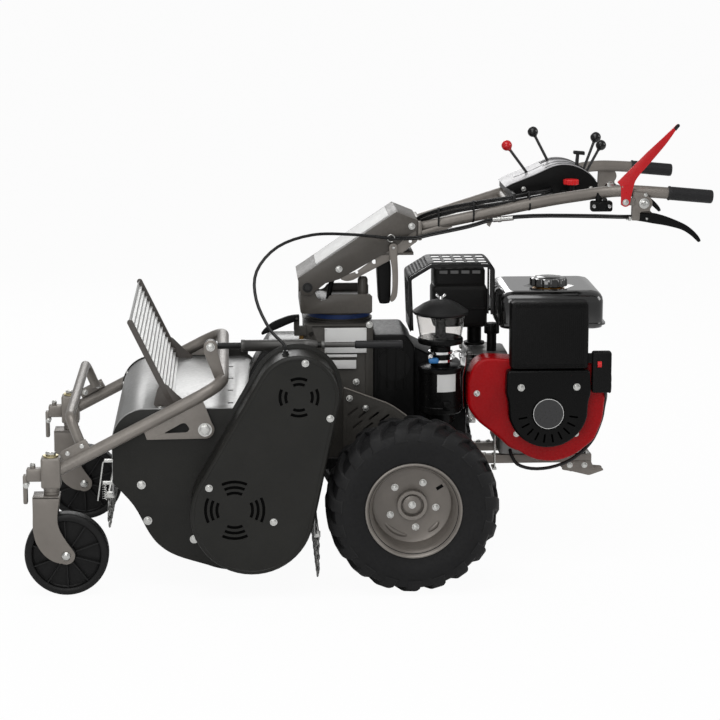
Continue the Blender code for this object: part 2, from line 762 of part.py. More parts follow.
def make_bumper_bar():
    """The bent bar across the front, bolted to the frame's arms by an end plate on each side."""
    inner = CASTOR_Y - 0.001 - BUMPER_PLATE_THICK - FIT_GAP
    foot_z = arm_height(BUMPER_PLATE_X) + FRAME_TUBE_RADIUS + 0.022
    foot_y = inner + BUMPER_PLATE_THICK / 2 - BUMPER_RADIUS - 0.001
    corners = [(BUMPER_PLATE_X, -foot_y, foot_z), (BUMPER_X, -DECK_Y, BUMPER_Z),
               (BUMPER_X, DECK_Y, BUMPER_Z), (BUMPER_PLATE_X, foot_y, foot_z)]
    bar = tube("bumper_bar", bend(corners, 0.020, steps=3), BUMPER_RADIUS, resolution=2)
    offset = FRAME_TUBE_RADIUS + 0.0012 + BUMPER_PLATE_HEIGHT / 2
    for side, sign in (("left", -1), ("right", 1)):
        join(bar, sloped_plate("bumper_plate_" + side, sign * inner, BUMPER_PLATE_THICK,
                               BUMPER_PLATE_X, offset, BUMPER_PLATE_LENGTH, BUMPER_PLATE_HEIGHT))
        for i, bolt in enumerate(bumper_bolts()):
            outer = sign * (CASTOR_Y - 0.001 + BUMPER_PLATE_THICK / 2 + FIT_GAP)
            join(bar, cylinder(f"bumper_bolt_{side}_{i}", "Y", (bolt.x, (sign * inner + outer) / 2, bolt.y),
                               BUMPER_BOLT_RADIUS, abs(outer - sign * inner) + 0.004, sides=8))
            join(bar, cylinder(f"bumper_head_{side}_{i}", "Y", (bolt.x, outer + sign * 0.0025, bolt.y),
                               0.0075, 0.005, sides=6))
    paint(bar, TAUPE)
    put_origin(bar, (PIVOT_X, 0.0, PIVOT_Z))


def fork_outline():
    """A castor fork plate: straight at the top, curving back down to the wheel's axle."""
    boss = arc(CASTOR_X, CASTOR_RADIUS, 0.021, 40, -120, 8)
    return [(FORK_FRONT_X, FORK_TOP_Z), (FORK_REAR_X, FORK_TOP_Z), (SWIVEL_X + 0.0145, 0.195),
            (SWIVEL_X + 0.0175, 0.168), (CASTOR_X - 0.005, 0.142), *boss, (CASTOR_X - 0.030, 0.086),
            (FORK_FRONT_X + 0.0235, 0.104), (FORK_FRONT_X + 0.0065, 0.132), (FORK_FRONT_X - 0.0005, 0.165)]


def make_castor(side, y):
    """A castor fork on its stem, and the wheel between its plates."""
    plate_y = CASTOR_WIDTH / 2 + 0.003 + FORK_PLATE / 2
    top_low = FORK_TOP_Z - FORK_PLATE
    fork = box("castor_fork_" + side, (FORK_FRONT_X, y - plate_y - FORK_PLATE / 2, top_low),
               (FORK_REAR_X, y + plate_y + FORK_PLATE / 2, FORK_TOP_Z))
    for i, sign in enumerate((-1, 1)):
        join(fork, plate(f"fork_plate_{side}_{i}", y + sign * plate_y, FORK_PLATE, fork_outline()))
        join(fork, cylinder(f"axle_head_{side}_{i}", "Y",
                            (CASTOR_X, y + sign * (plate_y + FORK_PLATE / 2 + 0.002), CASTOR_RADIUS),
                            0.011, 0.006, sides=6))
    washer_low = HEAD_TOP_Z + FIT_GAP
    stem_low = top_low + 0.001
    join(fork,
         cylinder("stem_" + side, "Z", (SWIVEL_X, y, (stem_low + washer_low + 0.010) / 2),
                  STEM_RADIUS, washer_low + 0.010 - stem_low),
         cylinder("stem_washer_" + side, "Z", (SWIVEL_X, y, washer_low + 0.002), 0.018, 0.004),
         cylinder("stem_nut_" + side, "Z", (SWIVEL_X, y, washer_low + 0.0075), 0.014, 0.009, sides=6),
         cylinder("castor_axle_" + side, "Y", (CASTOR_X, y, CASTOR_RADIUS), CASTOR_AXLE_RADIUS,
                  2 * plate_y + 0.002, sides=8))
    paint(fork, TAUPE)
    put_origin(fork, (SWIVEL_X, y, FORK_TOP_Z))
    half = CASTOR_WIDTH / 2
    tread = CASTOR_RADIUS / math.cos(math.pi / CASTOR_STEPS)
    bore = bore_radius(CASTOR_AXLE_RADIUS, sides=CASTOR_STEPS)
    profile = [(tread - 0.006, half), (tread, half - 0.008), (tread, -half + 0.008), (tread - 0.006, -half),
               (tread - 0.016, -half), (tread - 0.020, -0.008), (0.024, -0.008), (0.020, -half), (bore, -half),
               (bore, half), (0.020, half), (0.024, 0.008), (tread - 0.020, 0.008), (tread - 0.016, half)]
    wheel = turned("castor_wheel_" + side, "Y", (CASTOR_X, y, CASTOR_RADIUS), profile, CASTOR_STEPS, ring=True)
    paint(wheel, RUBBER)


# Height adjuster


def make_adjuster():
    """The screw that pushes the castor frame's lever, and the crank sleeve that turns on it."""
    screw = cylinder("adjuster_screw", "X", ((ADJUSTER_X + SCREW_END_X) / 2, ADJUSTER_Y, ADJUSTER_Z),
                     SCREW_RADIUS, SCREW_END_X - ADJUSTER_X)
    eye_width = 0.014
    eye = cylinder("adjuster_eye", "Y", (ADJUSTER_X, ADJUSTER_Y, ADJUSTER_Z), EYE_RADIUS, eye_width)
    hole = cylinder("eye_hole", "Y", (ADJUSTER_X, ADJUSTER_Y, ADJUSTER_Z),
                    ADJUSTER_PIN_RADIUS + EYE_PLAY, 0.04)
    join(screw, eye)
    cut(screw, hole)
    paint(screw, BLACK)
    bore = bore_radius(SCREW_RADIUS)
    place = (0.0, ADJUSTER_Y, ADJUSTER_Z)
    collar = BRACKET_X + BRACKET_THICK / 2 + FIT_GAP
    shoulder = BRACKET_X - BRACKET_THICK / 2 - FIT_GAP
    crank = turned("adjuster_crank", "X", place, [
        (0.0, CRANK_END_X),
        (CRANK_GRIP_RADIUS - 0.002, CRANK_END_X),
        (CRANK_GRIP_RADIUS, CRANK_END_X - 0.003),
        (CRANK_GRIP_RADIUS, CRANK_GRIP_X),
        (CRANK_ROD_RADIUS, CRANK_GRIP_X),
        (CRANK_ROD_RADIUS, collar + 0.008),
        (CRANK_GRIP_RADIUS, collar + 0.008),
        (CRANK_GRIP_RADIUS, collar),
        (CRANK_ROD_RADIUS, collar),
        (CRANK_ROD_RADIUS, shoulder),
        (CRANK_GRIP_RADIUS, shoulder),
        (SLEEVE_RADIUS, SLEEVE_REAR_X),
        (SLEEVE_RADIUS, SLEEVE_FRONT_X),
        (bore, SLEEVE_FRONT_X),
        (bore, SLEEVE_BORE_END_X),
        (0.0, SLEEVE_BORE_END_X),
    ], ROUND_SIDES)
    paint(crank, CASTING_GREY)


# Deck


def side_outline():
    """The deck's side plate: straight front, flat top, and a deep round belly round the rotor."""
    top_bend = arc(DECK_FRONT_X + HOOD_BEND_RADIUS, DECK_TOP_Z - HOOD_BEND_RADIUS, HOOD_BEND_RADIUS, 180, 90, 5)
    belly = arc(ROTOR_X, ROTOR_Z, 0.1735, -32, -112, 7)
    return [(DECK_FRONT_X, 0.262), *top_bend, (HOOD_REAR_X, DECK_TOP_Z), (-0.300, 0.360), (-0.245, 0.220),
            (-0.240, 0.150), *belly, (-0.560, 0.0800), (-0.600, 0.1040), (-0.628, 0.1380), (-0.664, 0.206)]


def cover_outline(grow):
    """The belt cover seen from the side: a small round top, a large round foot, and straight flanks."""
    return tangent_loop(COVER_FOOT, COVER_FOOT_RADIUS + grow, COVER_TOP, COVER_TOP_RADIUS + grow)


def make_deck_side():
    """The left side plate with the back plate of the belt drive, the pivot bolt, idler pin and rod bracket."""
    outer = -DECK_Y - PLATE_THICK / 2
    side = plate("deck_side_left", -DECK_Y, PLATE_THICK, side_outline())
    join(side, plate("belt_back_plate", -DECK_Y, PLATE_THICK - 0.0006, cover_outline(BACK_LIP)))
    pivot_end = -(CASTOR_Y + GUSSET_THICK / 2 + FIT_GAP)
    pivot = (PIVOT_X, 0.0, PIVOT_Z)
    join(side,
         bar("pivot_pin", "Y", pivot, pivot_end - 0.001, -DECK_Y, PIVOT_PIN_RADIUS),
         bar("pivot_head", "Y", pivot, pivot_end - 0.006, pivot_end, 0.014),
         bar("pivot_spacer", "Y", pivot, -PIVOT_SPACER_Y, outer + 0.001, 0.013))
    idler_x, idler_z = idler_pivot()
    idler = (idler_x, 0.0, idler_z)
    arm_back = IDLER_ARM_Y + IDLER_ARM_THICK / 2 + FIT_GAP
    join(side,
         bar("idler_pin", "Y", idler, IDLER_ARM_Y - IDLER_ARM_THICK / 2 - 0.004, -DECK_Y, IDLER_PIN_RADIUS, 8),
         bar("idler_spacer", "Y", idler, arm_back, outer + 0.001, 0.009, 8))
    bracket_top = ADJUSTER_Z + 0.016
    join(side, box("rod_bracket", (BRACKET_X - BRACKET_THICK / 2, -DECK_Y - 0.001, ADJUSTER_Z - 0.020),
                   (BRACKET_X + BRACKET_THICK / 2, ADJUSTER_Y + 0.014, bracket_top)))
    cut(side,
        cylinder("bracket_bore", "X", (BRACKET_X, ADJUSTER_Y, ADJUSTER_Z),
                 bore_radius(CRANK_ROD_RADIUS), 0.03),
        cylinder("rotor_bore_left", "Y", (ROTOR_X, -DECK_Y, ROTOR_Z), bore_radius(ROTOR_SHAFT_RADIUS), 0.03),
        cylinder("drive_bore", "Y", (DRIVE_X, -DECK_Y, DRIVE_Z), bore_radius(DRIVE_SHAFT_RADIUS), 0.03))
    paint(side, CHARCOAL)


def hood_path():
    """The bent sheet of the deck from its front edge over the top and down behind the rotor."""
    top_bend = arc(DECK_FRONT_X + HOOD_BEND_RADIUS, DECK_TOP_Z - HOOD_BEND_RADIUS, HOOD_BEND_RADIUS, 180, 90, 6)
    return [(DECK_FRONT_X, DECK_FRONT_BOTTOM_Z), *top_bend, (HOOD_REAR_X, DECK_TOP_Z), (-0.305, 0.345),
            (DECK_REAR_X, 0.210), (DECK_REAR_X, DECK_REAR_BOTTOM_Z)]


def neck_outline():
    """The drive neck behind the hood: it climbs from the deck's rear edge to the gearbox's front face."""
    rear = GEARBOX_FRONT_X - FIT_GAP
    return [(HOOD_REAR_X - 0.004, DECK_TOP_Z - 0.010), (HOOD_REAR_X + 0.001, 0.473), (-0.362, 0.5136),
            (-0.335, NECK_TOP_Z), (rear, NECK_TOP_Z), (rear, 0.400), (-0.300, 0.330), (-0.330, 0.360)]


def make_deck_shell():
    """The hood, the right side plate and the neck that carries the deck on the gearbox."""
    inner = DECK_Y - PLATE_THICK / 2 - FIT_GAP
    right = DECK_Y + PLATE_THICK / 2
    shell = plate("deck_shell", (right - 0.001 - inner) / 2, right - 0.001 + inner, strip(hood_path(), SHEET))
    raised = [(-0.475, DECK_TOP_Z - 0.01), (-0.475, 0.465), (HOOD_REAR_X, 0.465), (HOOD_REAR_X, DECK_TOP_Z - 0.01)]
    pivot_end = CASTOR_Y + GUSSET_THICK / 2 + FIT_GAP
    pivot = (PIVOT_X, 0.0, PIVOT_Z)
    join(shell,
         plate("right_side_plate", DECK_Y, PLATE_THICK, side_outline()),
         plate("right_raised_edge", DECK_Y, PLATE_THICK - 0.001, raised),
         bar("right_pivot_pin", "Y", pivot, DECK_Y, pivot_end + 0.001, PIVOT_PIN_RADIUS),
         bar("right_pivot_head", "Y", pivot, pivot_end, pivot_end + 0.006, 0.014),
         bar("right_pivot_spacer", "Y", pivot, right - 0.001, PIVOT_SPACER_Y, 0.013))
    join(shell, plate("neck", 0.0, 2 * NECK_HALF_WIDTH, neck_outline()))
    tube_radius = GEARBOX_FRONT_X - DRIVE_X - 0.003
    join(shell, cylinder("cross_tube", "Y", (DRIVE_X, (-inner - NECK_HALF_WIDTH + 0.01) / 2, DRIVE_Z), tube_radius,
                         inner - NECK_HALF_WIDTH + 0.01))
    for end, rod_x, rod_z, wall_x in (("front", FRONT_CURTAIN_X, FRONT_CURTAIN_Z, DECK_FRONT_X + 0.0015),
                                      ("rear", REAR_CURTAIN_X, REAR_CURTAIN_Z, DECK_REAR_X - 0.0015)):
        join(shell, cylinder(end + "_curtain_rod", "Y", (rod_x, 0.0, rod_z), CURTAIN_ROD_RADIUS,
                             2 * CURTAIN_HALF_WIDTH + 0.020, sides=8))
        for i, sign in enumerate((-1, 1)):
            ear_y = sign * (CURTAIN_HALF_WIDTH + 0.006)
            join(shell, box(f"{end}_rod_ear_{i}",
                            (min(rod_x - 0.006, wall_x), ear_y - 0.004, rod_z - 0.006),
                            (max(rod_x + 0.006, wall_x), ear_y + 0.004, rod_z + 0.010)))
    cut(shell,
        box("neck_hollow", (-0.345, -NECK_HALF_WIDTH + NECK_WALL, 0.400 + NECK_WALL),
            (GEARBOX_FRONT_X + 0.01, NECK_HALF_WIDTH - NECK_WALL, NECK_TOP_Z - NECK_WALL)),
        cylinder("cross_bore", "Y", (DRIVE_X, -0.19, DRIVE_Z), bore_radius(DRIVE_SHAFT_RADIUS), 0.32),
        cylinder("rotor_bore_right", "Y", (ROTOR_X, DECK_Y, ROTOR_Z), bore_radius(ROTOR_SHAFT_RADIUS), 0.03))
    half = HOOD_HOLE_SIDE / 2
    for i in range(4):
        y = (i - 1.8) * HOOD_HOLE_PITCH
        cut(shell, box(f"hood_hole_{i}", (HOOD_HOLE_X - half, y - half, DECK_TOP_Z - 0.01),
                       (HOOD_HOLE_X + half, y + half, DECK_TOP_Z + 0.01)))
    paint(shell, GALVANISED)


def make_guard_plate():
    """The ribbed steel plate that leans in front of the neck, with a rail and a foot on each side."""
    top = Vector(GUARD_TOP)
    foot = Vector(GUARD_FOOT)
    rise = top - foot
    along = rise.normalized()
    front = Vector((-along.y, along.x))
    pitch = rise.length / GUARD_RIBS
    path = [foot]
    for i in range(GUARD_RIBS):
        for share, height in ((0.2, 0.0), (0.4, GUARD_RIB_HEIGHT), (0.8, GUARD_RIB_HEIGHT), (1.0, 0.0)):
            path.append(foot + along * pitch * (i + share) + front * height)
    outline = strip([(p.x, p.y) for p in path], GUARD_SHEET)
    width = GUARD_RIGHT_Y - GUARD_LEFT_Y
    guard = plate("guard_plate", (GUARD_LEFT_Y + GUARD_RIGHT_Y) / 2, width, outline)
    half = GUARD_RAIL_WIDTH / 2
    base_z = DECK_TOP_Z + FIT_GAP
    for side, rail_y, sheet_y in (("left", GUARD_LEFT_Y - 0.020, GUARD_LEFT_Y + 0.002),
                                  ("right", GUARD_RIGHT_Y + 0.010, GUARD_RIGHT_Y - 0.002)):
        rail = [top + along * 0.004 + front * half, top + along * 0.004 - front * half, foot - front * half,
                foot + front * half]
        join(guard, plate("guard_rail_" + side, rail_y, GUARD_RAIL_THICK, [(p.x, p.y) for p in rail]))
        join(guard, plate("guard_foot_" + side, rail_y, GUARD_RAIL_THICK - 0.001,
                          [(foot.x - 0.035, base_z), (foot.x + 0.040, base_z), (foot.x + 0.006, foot.y + 0.026),
                           (foot.x - 0.020, foot.y + 0.030)]))
        for i, share in enumerate((0.2, 0.8)):
            tie = foot + rise * share
            low_y, high_y = sorted((rail_y, sheet_y))
            join(guard, box(f"guard_tie_{side}_{i}", (tie.x - 0.005, low_y, tie.y - 0.005),
                            (tie.x + 0.005, high_y, tie.y + 0.005)))
    paint(guard, STEEL)


def make_curtain(name, x, z, drop):
    """A chain curtain hung on its rod, drawn as one flat strip that swings on the rod."""
    sleeve = CURTAIN_ROD_RADIUS + 0.0035
    curtain = box(name, (x - CURTAIN_THICK / 2, -CURTAIN_HALF_WIDTH, z - drop),
                  (x + CURTAIN_THICK / 2, CURTAIN_HALF_WIDTH, z - 0.001))
    join(curtain, cylinder(name + "_sleeve", "Y", (x, 0.0, z), sleeve, 2 * CURTAIN_HALF_WIDTH - 0.001, sides=8))
    cut(curtain, cylinder(name + "_bore", "Y", (x, 0.0, z), bore_radius(CURTAIN_ROD_RADIUS, sides=8),
                          2 * CURTAIN_HALF_WIDTH + 0.02, sides=8))
    paint(curtain, STEEL)
    put_origin(curtain, (x, 0.0, z))


# Rotor, knives and blade drive


def make_rotor():
    """The flail rotor with its shaft ends, knife lugs and the pulley outside the left side plate."""
    lip = PULLEY_LIP
    half = PULLEY_WIDTH / 2
    shaft = ROTOR_SHAFT_RADIUS
    rotor = turned("rotor", "Y", (ROTOR_X, 0.0, ROTOR_Z), [
        (0.0, DECK_Y + 0.012),
        (shaft, DECK_Y + 0.012),
        (shaft, ROTOR_TUBE_HALF),
        (ROTOR_TUBE_RADIUS, ROTOR_TUBE_HALF),
        (ROTOR_TUBE_RADIUS, -ROTOR_TUBE_HALF),
        (shaft, -ROTOR_TUBE_HALF),
        (shaft, BELT_Y + half + 0.001),
        (shaft + 0.014, BELT_Y + half),
        (ROTOR_PULLEY_RADIUS + lip, BELT_Y + half),
        (ROTOR_PULLEY_RADIUS + lip, BELT_Y + half - 0.003),
        (ROTOR_PULLEY_RADIUS, BELT_Y + BELT_WIDTH / 2 + 0.001),
        (ROTOR_PULLEY_RADIUS, BELT_Y - BELT_WIDTH / 2 - 0.001),
        (ROTOR_PULLEY_RADIUS + lip, BELT_Y - half + 0.003),
        (ROTOR_PULLEY_RADIUS + lip, BELT_Y - half),
        (0.0, BELT_Y - half),
    ], TURNED_STEPS)
    inside = ROTOR_TUBE_RADIUS - ROTOR_TUBE_WALL
    bores = [turned("rotor_hollow", "Y", (ROTOR_X, 0.0, ROTOR_Z), [
        (inside, ROTOR_TUBE_HALF + 0.01),
        (inside, -ROTOR_TUBE_HALF + ROTOR_TUBE_WALL),
        (shaft + 0.004, -ROTOR_TUBE_HALF + ROTOR_TUBE_WALL),
        (shaft + 0.004, ROTOR_TUBE_HALF + 0.01),
    ], TURNED_STEPS, ring=True)]
    for row, sign in (("front", -1), ("rear", 1)):
        rod_x = ROTOR_X + sign * KNIFE_CIRCLE
        for i in range(KNIVES_PER_ROW + 1):
            y = (i - KNIVES_PER_ROW / 2) * KNIFE_PITCH
            low, high = sorted((ROTOR_X + sign * (ROTOR_TUBE_RADIUS - 0.004), rod_x + sign * KNIFE_BOSS_RADIUS))
            join(rotor, box(f"lug_{row}_{i}", (low, y - LUG_THICK / 2, ROTOR_Z - 0.013),
                            (high, y + LUG_THICK / 2, ROTOR_Z + 0.013)))
        bores.append(cylinder("lug_bore_" + row, "Y", (rod_x, 0.0, ROTOR_Z),
                              bore_radius(KNIFE_ROD_RADIUS, sides=8), 2 * DECK_Y, sides=8))
    cut(rotor, *bores)
    paint(rotor, CASTING_GREY)


def make_knife_row(name, sign):
    """One row of hammer knives on its rod, hanging straight down at rest."""
    rod_x = ROTOR_X + sign * KNIFE_CIRCLE
    length = KNIVES_PER_ROW * KNIFE_PITCH + LUG_THICK + 0.004
    row = cylinder(name, "Y", (rod_x, 0.0, ROTOR_Z), KNIFE_ROD_RADIUS, length, sides=8)
    for i in range(KNIVES_PER_ROW):
        y = (i - (KNIVES_PER_ROW - 1) / 2) * KNIFE_PITCH
        hook = [(rod_x - KNIFE_THICK / 2, ROTOR_Z - 0.004), (rod_x + KNIFE_THICK / 2, ROTOR_Z - 0.004),
                (rod_x + KNIFE_THICK / 2, ROTOR_Z - KNIFE_REACH + 0.012),
                (rod_x + KNIFE_THICK / 2 + sign * 0.005, ROTOR_Z - KNIFE_REACH),
                (rod_x - KNIFE_THICK / 2 + sign * 0.005, ROTOR_Z - KNIFE_REACH),
                (rod_x - KNIFE_THICK / 2, ROTOR_Z - KNIFE_REACH + 0.012)]
        join(row, cylinder(f"{name}_boss_{i}", "Y", (rod_x, y, ROTOR_Z), KNIFE_BOSS_RADIUS, KNIFE_WIDTH, sides=8),
             plate(f"{name}_blade_{i}", y, KNIFE_WIDTH - 0.002, hook))
    paint(row, STEEL)


def make_drive_pulley():
    """The upper pulley on the cross shaft that comes out of the neck."""
    half = PULLEY_WIDTH / 2
    lip = PULLEY_LIP
    pulley = turned("drive_pulley", "Y", (DRIVE_X, 0.0, DRIVE_Z), [
        (0.0, NECK_HALF_WIDTH - NECK_WALL - 0.006),
        (DRIVE_SHAFT_RADIUS, NECK_HALF_WIDTH - NECK_WALL - 0.006),
        (DRIVE_SHAFT_RADIUS, BELT_Y + half + 0.001),
        (DRIVE_SHAFT_RADIUS + 0.014, BELT_Y + half),
        (DRIVE_PULLEY_RADIUS + lip, BELT_Y + half),
        (DRIVE_PULLEY_RADIUS + lip, BELT_Y + half - 0.003),
        (DRIVE_PULLEY_RADIUS, BELT_Y + BELT_WIDTH / 2 + 0.001),
        (DRIVE_PULLEY_RADIUS, BELT_Y - BELT_WIDTH / 2 - 0.001),
        (DRIVE_PULLEY_RADIUS + lip, BELT_Y - half + 0.003),
        (DRIVE_PULLEY_RADIUS + lip, BELT_Y - half),
        (0.0, BELT_Y - half),
    ], TURNED_STEPS)
    paint(pulley, STEEL)


def make_belt():
    """The blade drive belt, tight round both pulleys."""
    first = (ROTOR_X, ROTOR_Z)
    second = (DRIVE_X, DRIVE_Z)
    inner = tangent_loop(first, ROTOR_PULLEY_RADIUS + FIT_GAP, second, DRIVE_PULLEY_RADIUS + FIT_GAP)
    outer = tangent_loop(first, ROTOR_PULLEY_RADIUS + FIT_GAP + BELT_THICK,
                         second, DRIVE_PULLEY_RADIUS + FIT_GAP + BELT_THICK)
    paint(plate("drive_belt", BELT_Y, BELT_WIDTH, outer, [inner]), RUBBER)


def idler_place():
    """Middle of the idler pulley, which presses outwards on the inner face of the belt's rear run."""
    first = Vector((ROTOR_X, ROTOR_Z))
    second = Vector((DRIVE_X, DRIVE_Z))
    across = second - first
    heading = math.atan2(across.y, across.x)
    lean = math.acos((ROTOR_PULLEY_RADIUS - DRIVE_PULLEY_RADIUS) / across.length)
    side = Vector((math.cos(heading - lean), math.sin(heading - lean)))
    start = first + side * ROTOR_PULLEY_RADIUS
    end = second + side * DRIVE_PULLEY_RADIUS
    return start + (end - start) * IDLER_SHARE - side * IDLER_RADIUS, side


def idler_pivot():
    """Place of the pin that the idler arm swings on."""
    middle, side = idler_place()
    along = Vector((side.y, -side.x))
    pivot = middle + along * IDLER_ARM_LENGTH * 0.6 - side * IDLER_ARM_LENGTH * 0.8
    return pivot.x, pivot.y


def make_idler():
    """The idler arm and its pulley."""
    middle = idler_place()[0]
    pivot = Vector(idler_pivot())
    along = (middle - pivot).normalized()
    heading = math.degrees(math.atan2(along.y, along.x))
    outline = (arc(middle.x, middle.y, 0.010, heading - 90, heading + 90, 6)
               + arc(pivot.x, pivot.y, 0.012, heading + 90, heading + 270, 6))
    arm = plate("idler_arm", IDLER_ARM_Y, IDLER_ARM_THICK, outline)
    pin_end = BELT_Y - BELT_WIDTH / 2 - 0.002
    pin_start = IDLER_ARM_Y - IDLER_ARM_THICK / 2 + 0.002
    join(arm, cylinder("idler_pulley_pin", "Y", (middle.x, (pin_start + pin_end) / 2, middle.y),
                       IDLER_PIN_RADIUS, pin_start - pin_end, sides=8))
    cut(arm, cylinder("idler_arm_bore", "Y", (pivot.x, IDLER_ARM_Y, pivot.y),
                      bore_radius(IDLER_PIN_RADIUS, sides=8), 0.03, sides=8))
    paint(arm, STEEL)
    put_origin(arm, (pivot.x, IDLER_ARM_Y, pivot.y))
    bore = bore_radius(IDLER_PIN_RADIUS, sides=ROUND_SIDES)
    half = BELT_WIDTH / 2
    pulley = turned("idler_pulley", "Y", (middle.x, BELT_Y, middle.y),
                    [(IDLER_RADIUS, half), (IDLER_RADIUS, -half), (bore, -half), (bore, half)],
                    ROUND_SIDES, ring=True)
    paint(pulley, STEEL)


def vent_slots(name, cx, cz, outer, rings):
    """Curved slots in four groups round a middle point."""
    slots = []
    for ring in range(rings):
        radius = outer - ring * VENT_PITCH
        for i in range(4):
            start = 90 * i - 22
            end = 90 * i + 22
            outline = (arc(cx, cz, radius, start, end, 2) + arc(cx, cz, radius - VENT_WIDTH, end, start, 2))
            slots.append(plate(f"{name}_{ring}_{i}", COVER_FRONT_Y, 0.02, outline))
    return slots


def make_belt_cover():
    """The deep pressed cover over the blade drive, open at the back, with two sets of vents."""
    depth = COVER_BACK_Y - COVER_FRONT_Y
    cover = plate("belt_cover", (COVER_BACK_Y + COVER_FRONT_Y) / 2, depth, cover_outline(0.0))
    hollow_front = COVER_FRONT_Y + COVER_WALL
    hollow_back = COVER_BACK_Y + 0.01
    cut(cover, plate("cover_hollow", (hollow_front + hollow_back) / 2, hollow_back - hollow_front,
                     cover_outline(-COVER_WALL)))
    cut(cover, *vent_slots("upper_vent", DRIVE_X, DRIVE_Z, UPPER_VENT_RADIUS, 2))
    cut(cover, *vent_slots("lower_vent", ROTOR_X, ROTOR_Z, LOWER_VENT_RADIUS, 3))
    join(cover, bar("cable_boss", "Z", (-0.3010, -0.4000, 0.0), 0.5790, 0.5920, 0.007, 8))
    paint(cover, CHARCOAL)


# Gearbox, drive case and engine frame


def make_gearbox():
    """The gearbox housing: the tall box with its neck ring, the axle box below and a trumpet to each side."""
    half = GEARBOX_HALF_WIDTH
    housing = box("gearbox_housing", (GEARBOX_FRONT_X, -half, GEARBOX_BOTTOM_Z),
                  (GEARBOX_REAR_X, half, GEARBOX_TOP_Z))
    ring_top = TURRET_BOTTOM_Z - FIT_GAP
    join(housing,
         box("axle_box", (AXLE_BOX_FRONT_X, -AXLE_BOX_HALF_WIDTH, AXLE_BOX_BOTTOM_Z),
             (AXLE_BOX_REAR_X, AXLE_BOX_HALF_WIDTH, AXLE_BOX_TOP_Z)),
         cylinder("trumpets", "Y", (WHEEL_X, 0.0, TYRE_RADIUS), TRUMPET_RADIUS, 2 * TRUMPET_END_Y),
         cylinder("neck_ring", "Z", (TURRET_X, 0.0, (GEARBOX_TOP_Z - 0.004 + ring_top) / 2), NECK_RING_RADIUS,
                  ring_top - GEARBOX_TOP_Z + 0.004, sides=TURNED_STEPS))
    wall = CASTING_WALL
    cut(housing,
        box("gearbox_hollow", (GEARBOX_FRONT_X + wall, -half + wall, GEARBOX_BOTTOM_Z + wall),
            (GEARBOX_REAR_X - wall, half - wall, GEARBOX_TOP_Z - wall)),
        box("axle_hollow", (AXLE_BOX_FRONT_X + wall, -AXLE_BOX_HALF_WIDTH + wall, AXLE_BOX_BOTTOM_Z + wall),
            (AXLE_BOX_REAR_X - wall, AXLE_BOX_HALF_WIDTH - wall, AXLE_BOX_TOP_Z - wall)),
        cylinder("filler_hole", "Y", (-0.2310, -half, 0.5776), 0.0055, 0.03, sides=8),
        cylinder("axle_bore", "Y", (WHEEL_X, 0.0, TYRE_RADIUS), TRUMPET_BORE, 2 * TRUMPET_END_Y + 0.02))
    hinge_x, hinge_y, hinge_z = HITCH_PIVOT
    join(housing,
         box("hitch_ear", (hinge_x - 0.006, hinge_y + 0.0063, hinge_z - 0.045),
             (GEARBOX_FRONT_X + 0.004, hinge_y + 0.0263, hinge_z - 0.022)),
         box("hitch_post", (hinge_x - 0.007, hinge_y + 0.0053, hinge_z - 0.030),
             (hinge_x + 0.007, hinge_y + 0.0113, hinge_z + 0.007)),
         bar("hitch_pin", "Y", HITCH_PIVOT, hinge_y - 0.007, hinge_y + 0.007, 0.003, 8))
    paint(housing, CASTING_GREY)


def make_drive_case():
    """The black case that takes the engine's drive forward into the gearbox, open to the engine."""
    front = GEARBOX_REAR_X + FIT_GAP
    bottom = AXLE_BOX_TOP_Z + FIT_GAP
    step = CASE_STEP_X
    case = plate("drive_case", 0.0, 2 * CASE_HALF_WIDTH,
                 [(front, bottom), (step, bottom), (step, 0.545), (0.000, 0.575), (front, 0.575)])
    width = CASE_HALF_WIDTH - CASE_STEP_Y
    join(case, plate("case_tail", CASE_STEP_Y + width / 2, width - 0.001,
                     [(step - 0.010, bottom + 0.001), (CASE_REAR_X, bottom + 0.001), (CASE_REAR_X, 0.470),
                      (step - 0.010, 0.540)]))
    wall = CASTING_WALL
    cut(case,
        box("case_hollow", (front + wall, CASE_STEP_Y + wall, bottom + wall),
            (CASE_REAR_X + 0.01, CASE_HALF_WIDTH - wall, 0.460)),
        box("case_front_hollow", (front + wall, -CASE_HALF_WIDTH + wall, bottom + wall),
            (step - wall, CASE_HALF_WIDTH - wall, 0.545 - wall)))
    paint(case, BLACK)


def make_side_cover():
    """The louvred plate beside the gearbox, on three spacers."""
    outline = [(-0.1555, 0.262), (-0.1555, 0.4527), (-0.1366, 0.4455), (-0.040, 0.4093), (0.012, 0.3718),
               (0.040, 0.3200), (0.040, 0.262)]
    cover = plate("side_cover", SIDE_COVER_Y, SIDE_COVER_THICK, outline)
    spacer_end = -GEARBOX_HALF_WIDTH - FIT_GAP
    spacer_start = SIDE_COVER_Y + SIDE_COVER_THICK / 2 - 0.001
    for i, (x, z) in enumerate(((-0.140, 0.425), (-0.100, 0.400), (-0.140, 0.285))):
        join(cover, cylinder(f"cover_spacer_{i}", "Y", (x, (spacer_start + spacer_end) / 2, z), 0.006,
                             spacer_end - spacer_start, sides=8))
    slope = math.radians(38)
    along = Vector((math.cos(slope), math.sin(slope))) * SLOT_LENGTH / 2
    across = Vector((-math.sin(slope), math.cos(slope))) * SLOT_WIDTH / 2
    for row, (count, x, z) in enumerate(((4, -0.132, 0.3920), (3, -0.120, 0.3600))):
        for i in range(count):
            middle = Vector((x + i * 0.026, z - i * 0.006))
            corners = [middle + along + across, middle - along + across, middle - along - across,
                       middle + along - across]
            cut(cover, plate(f"louvre_{row}_{i}", SIDE_COVER_Y, 0.02, [(p.x, p.y) for p in corners]))
    paint(cover, CASTING_GREY)


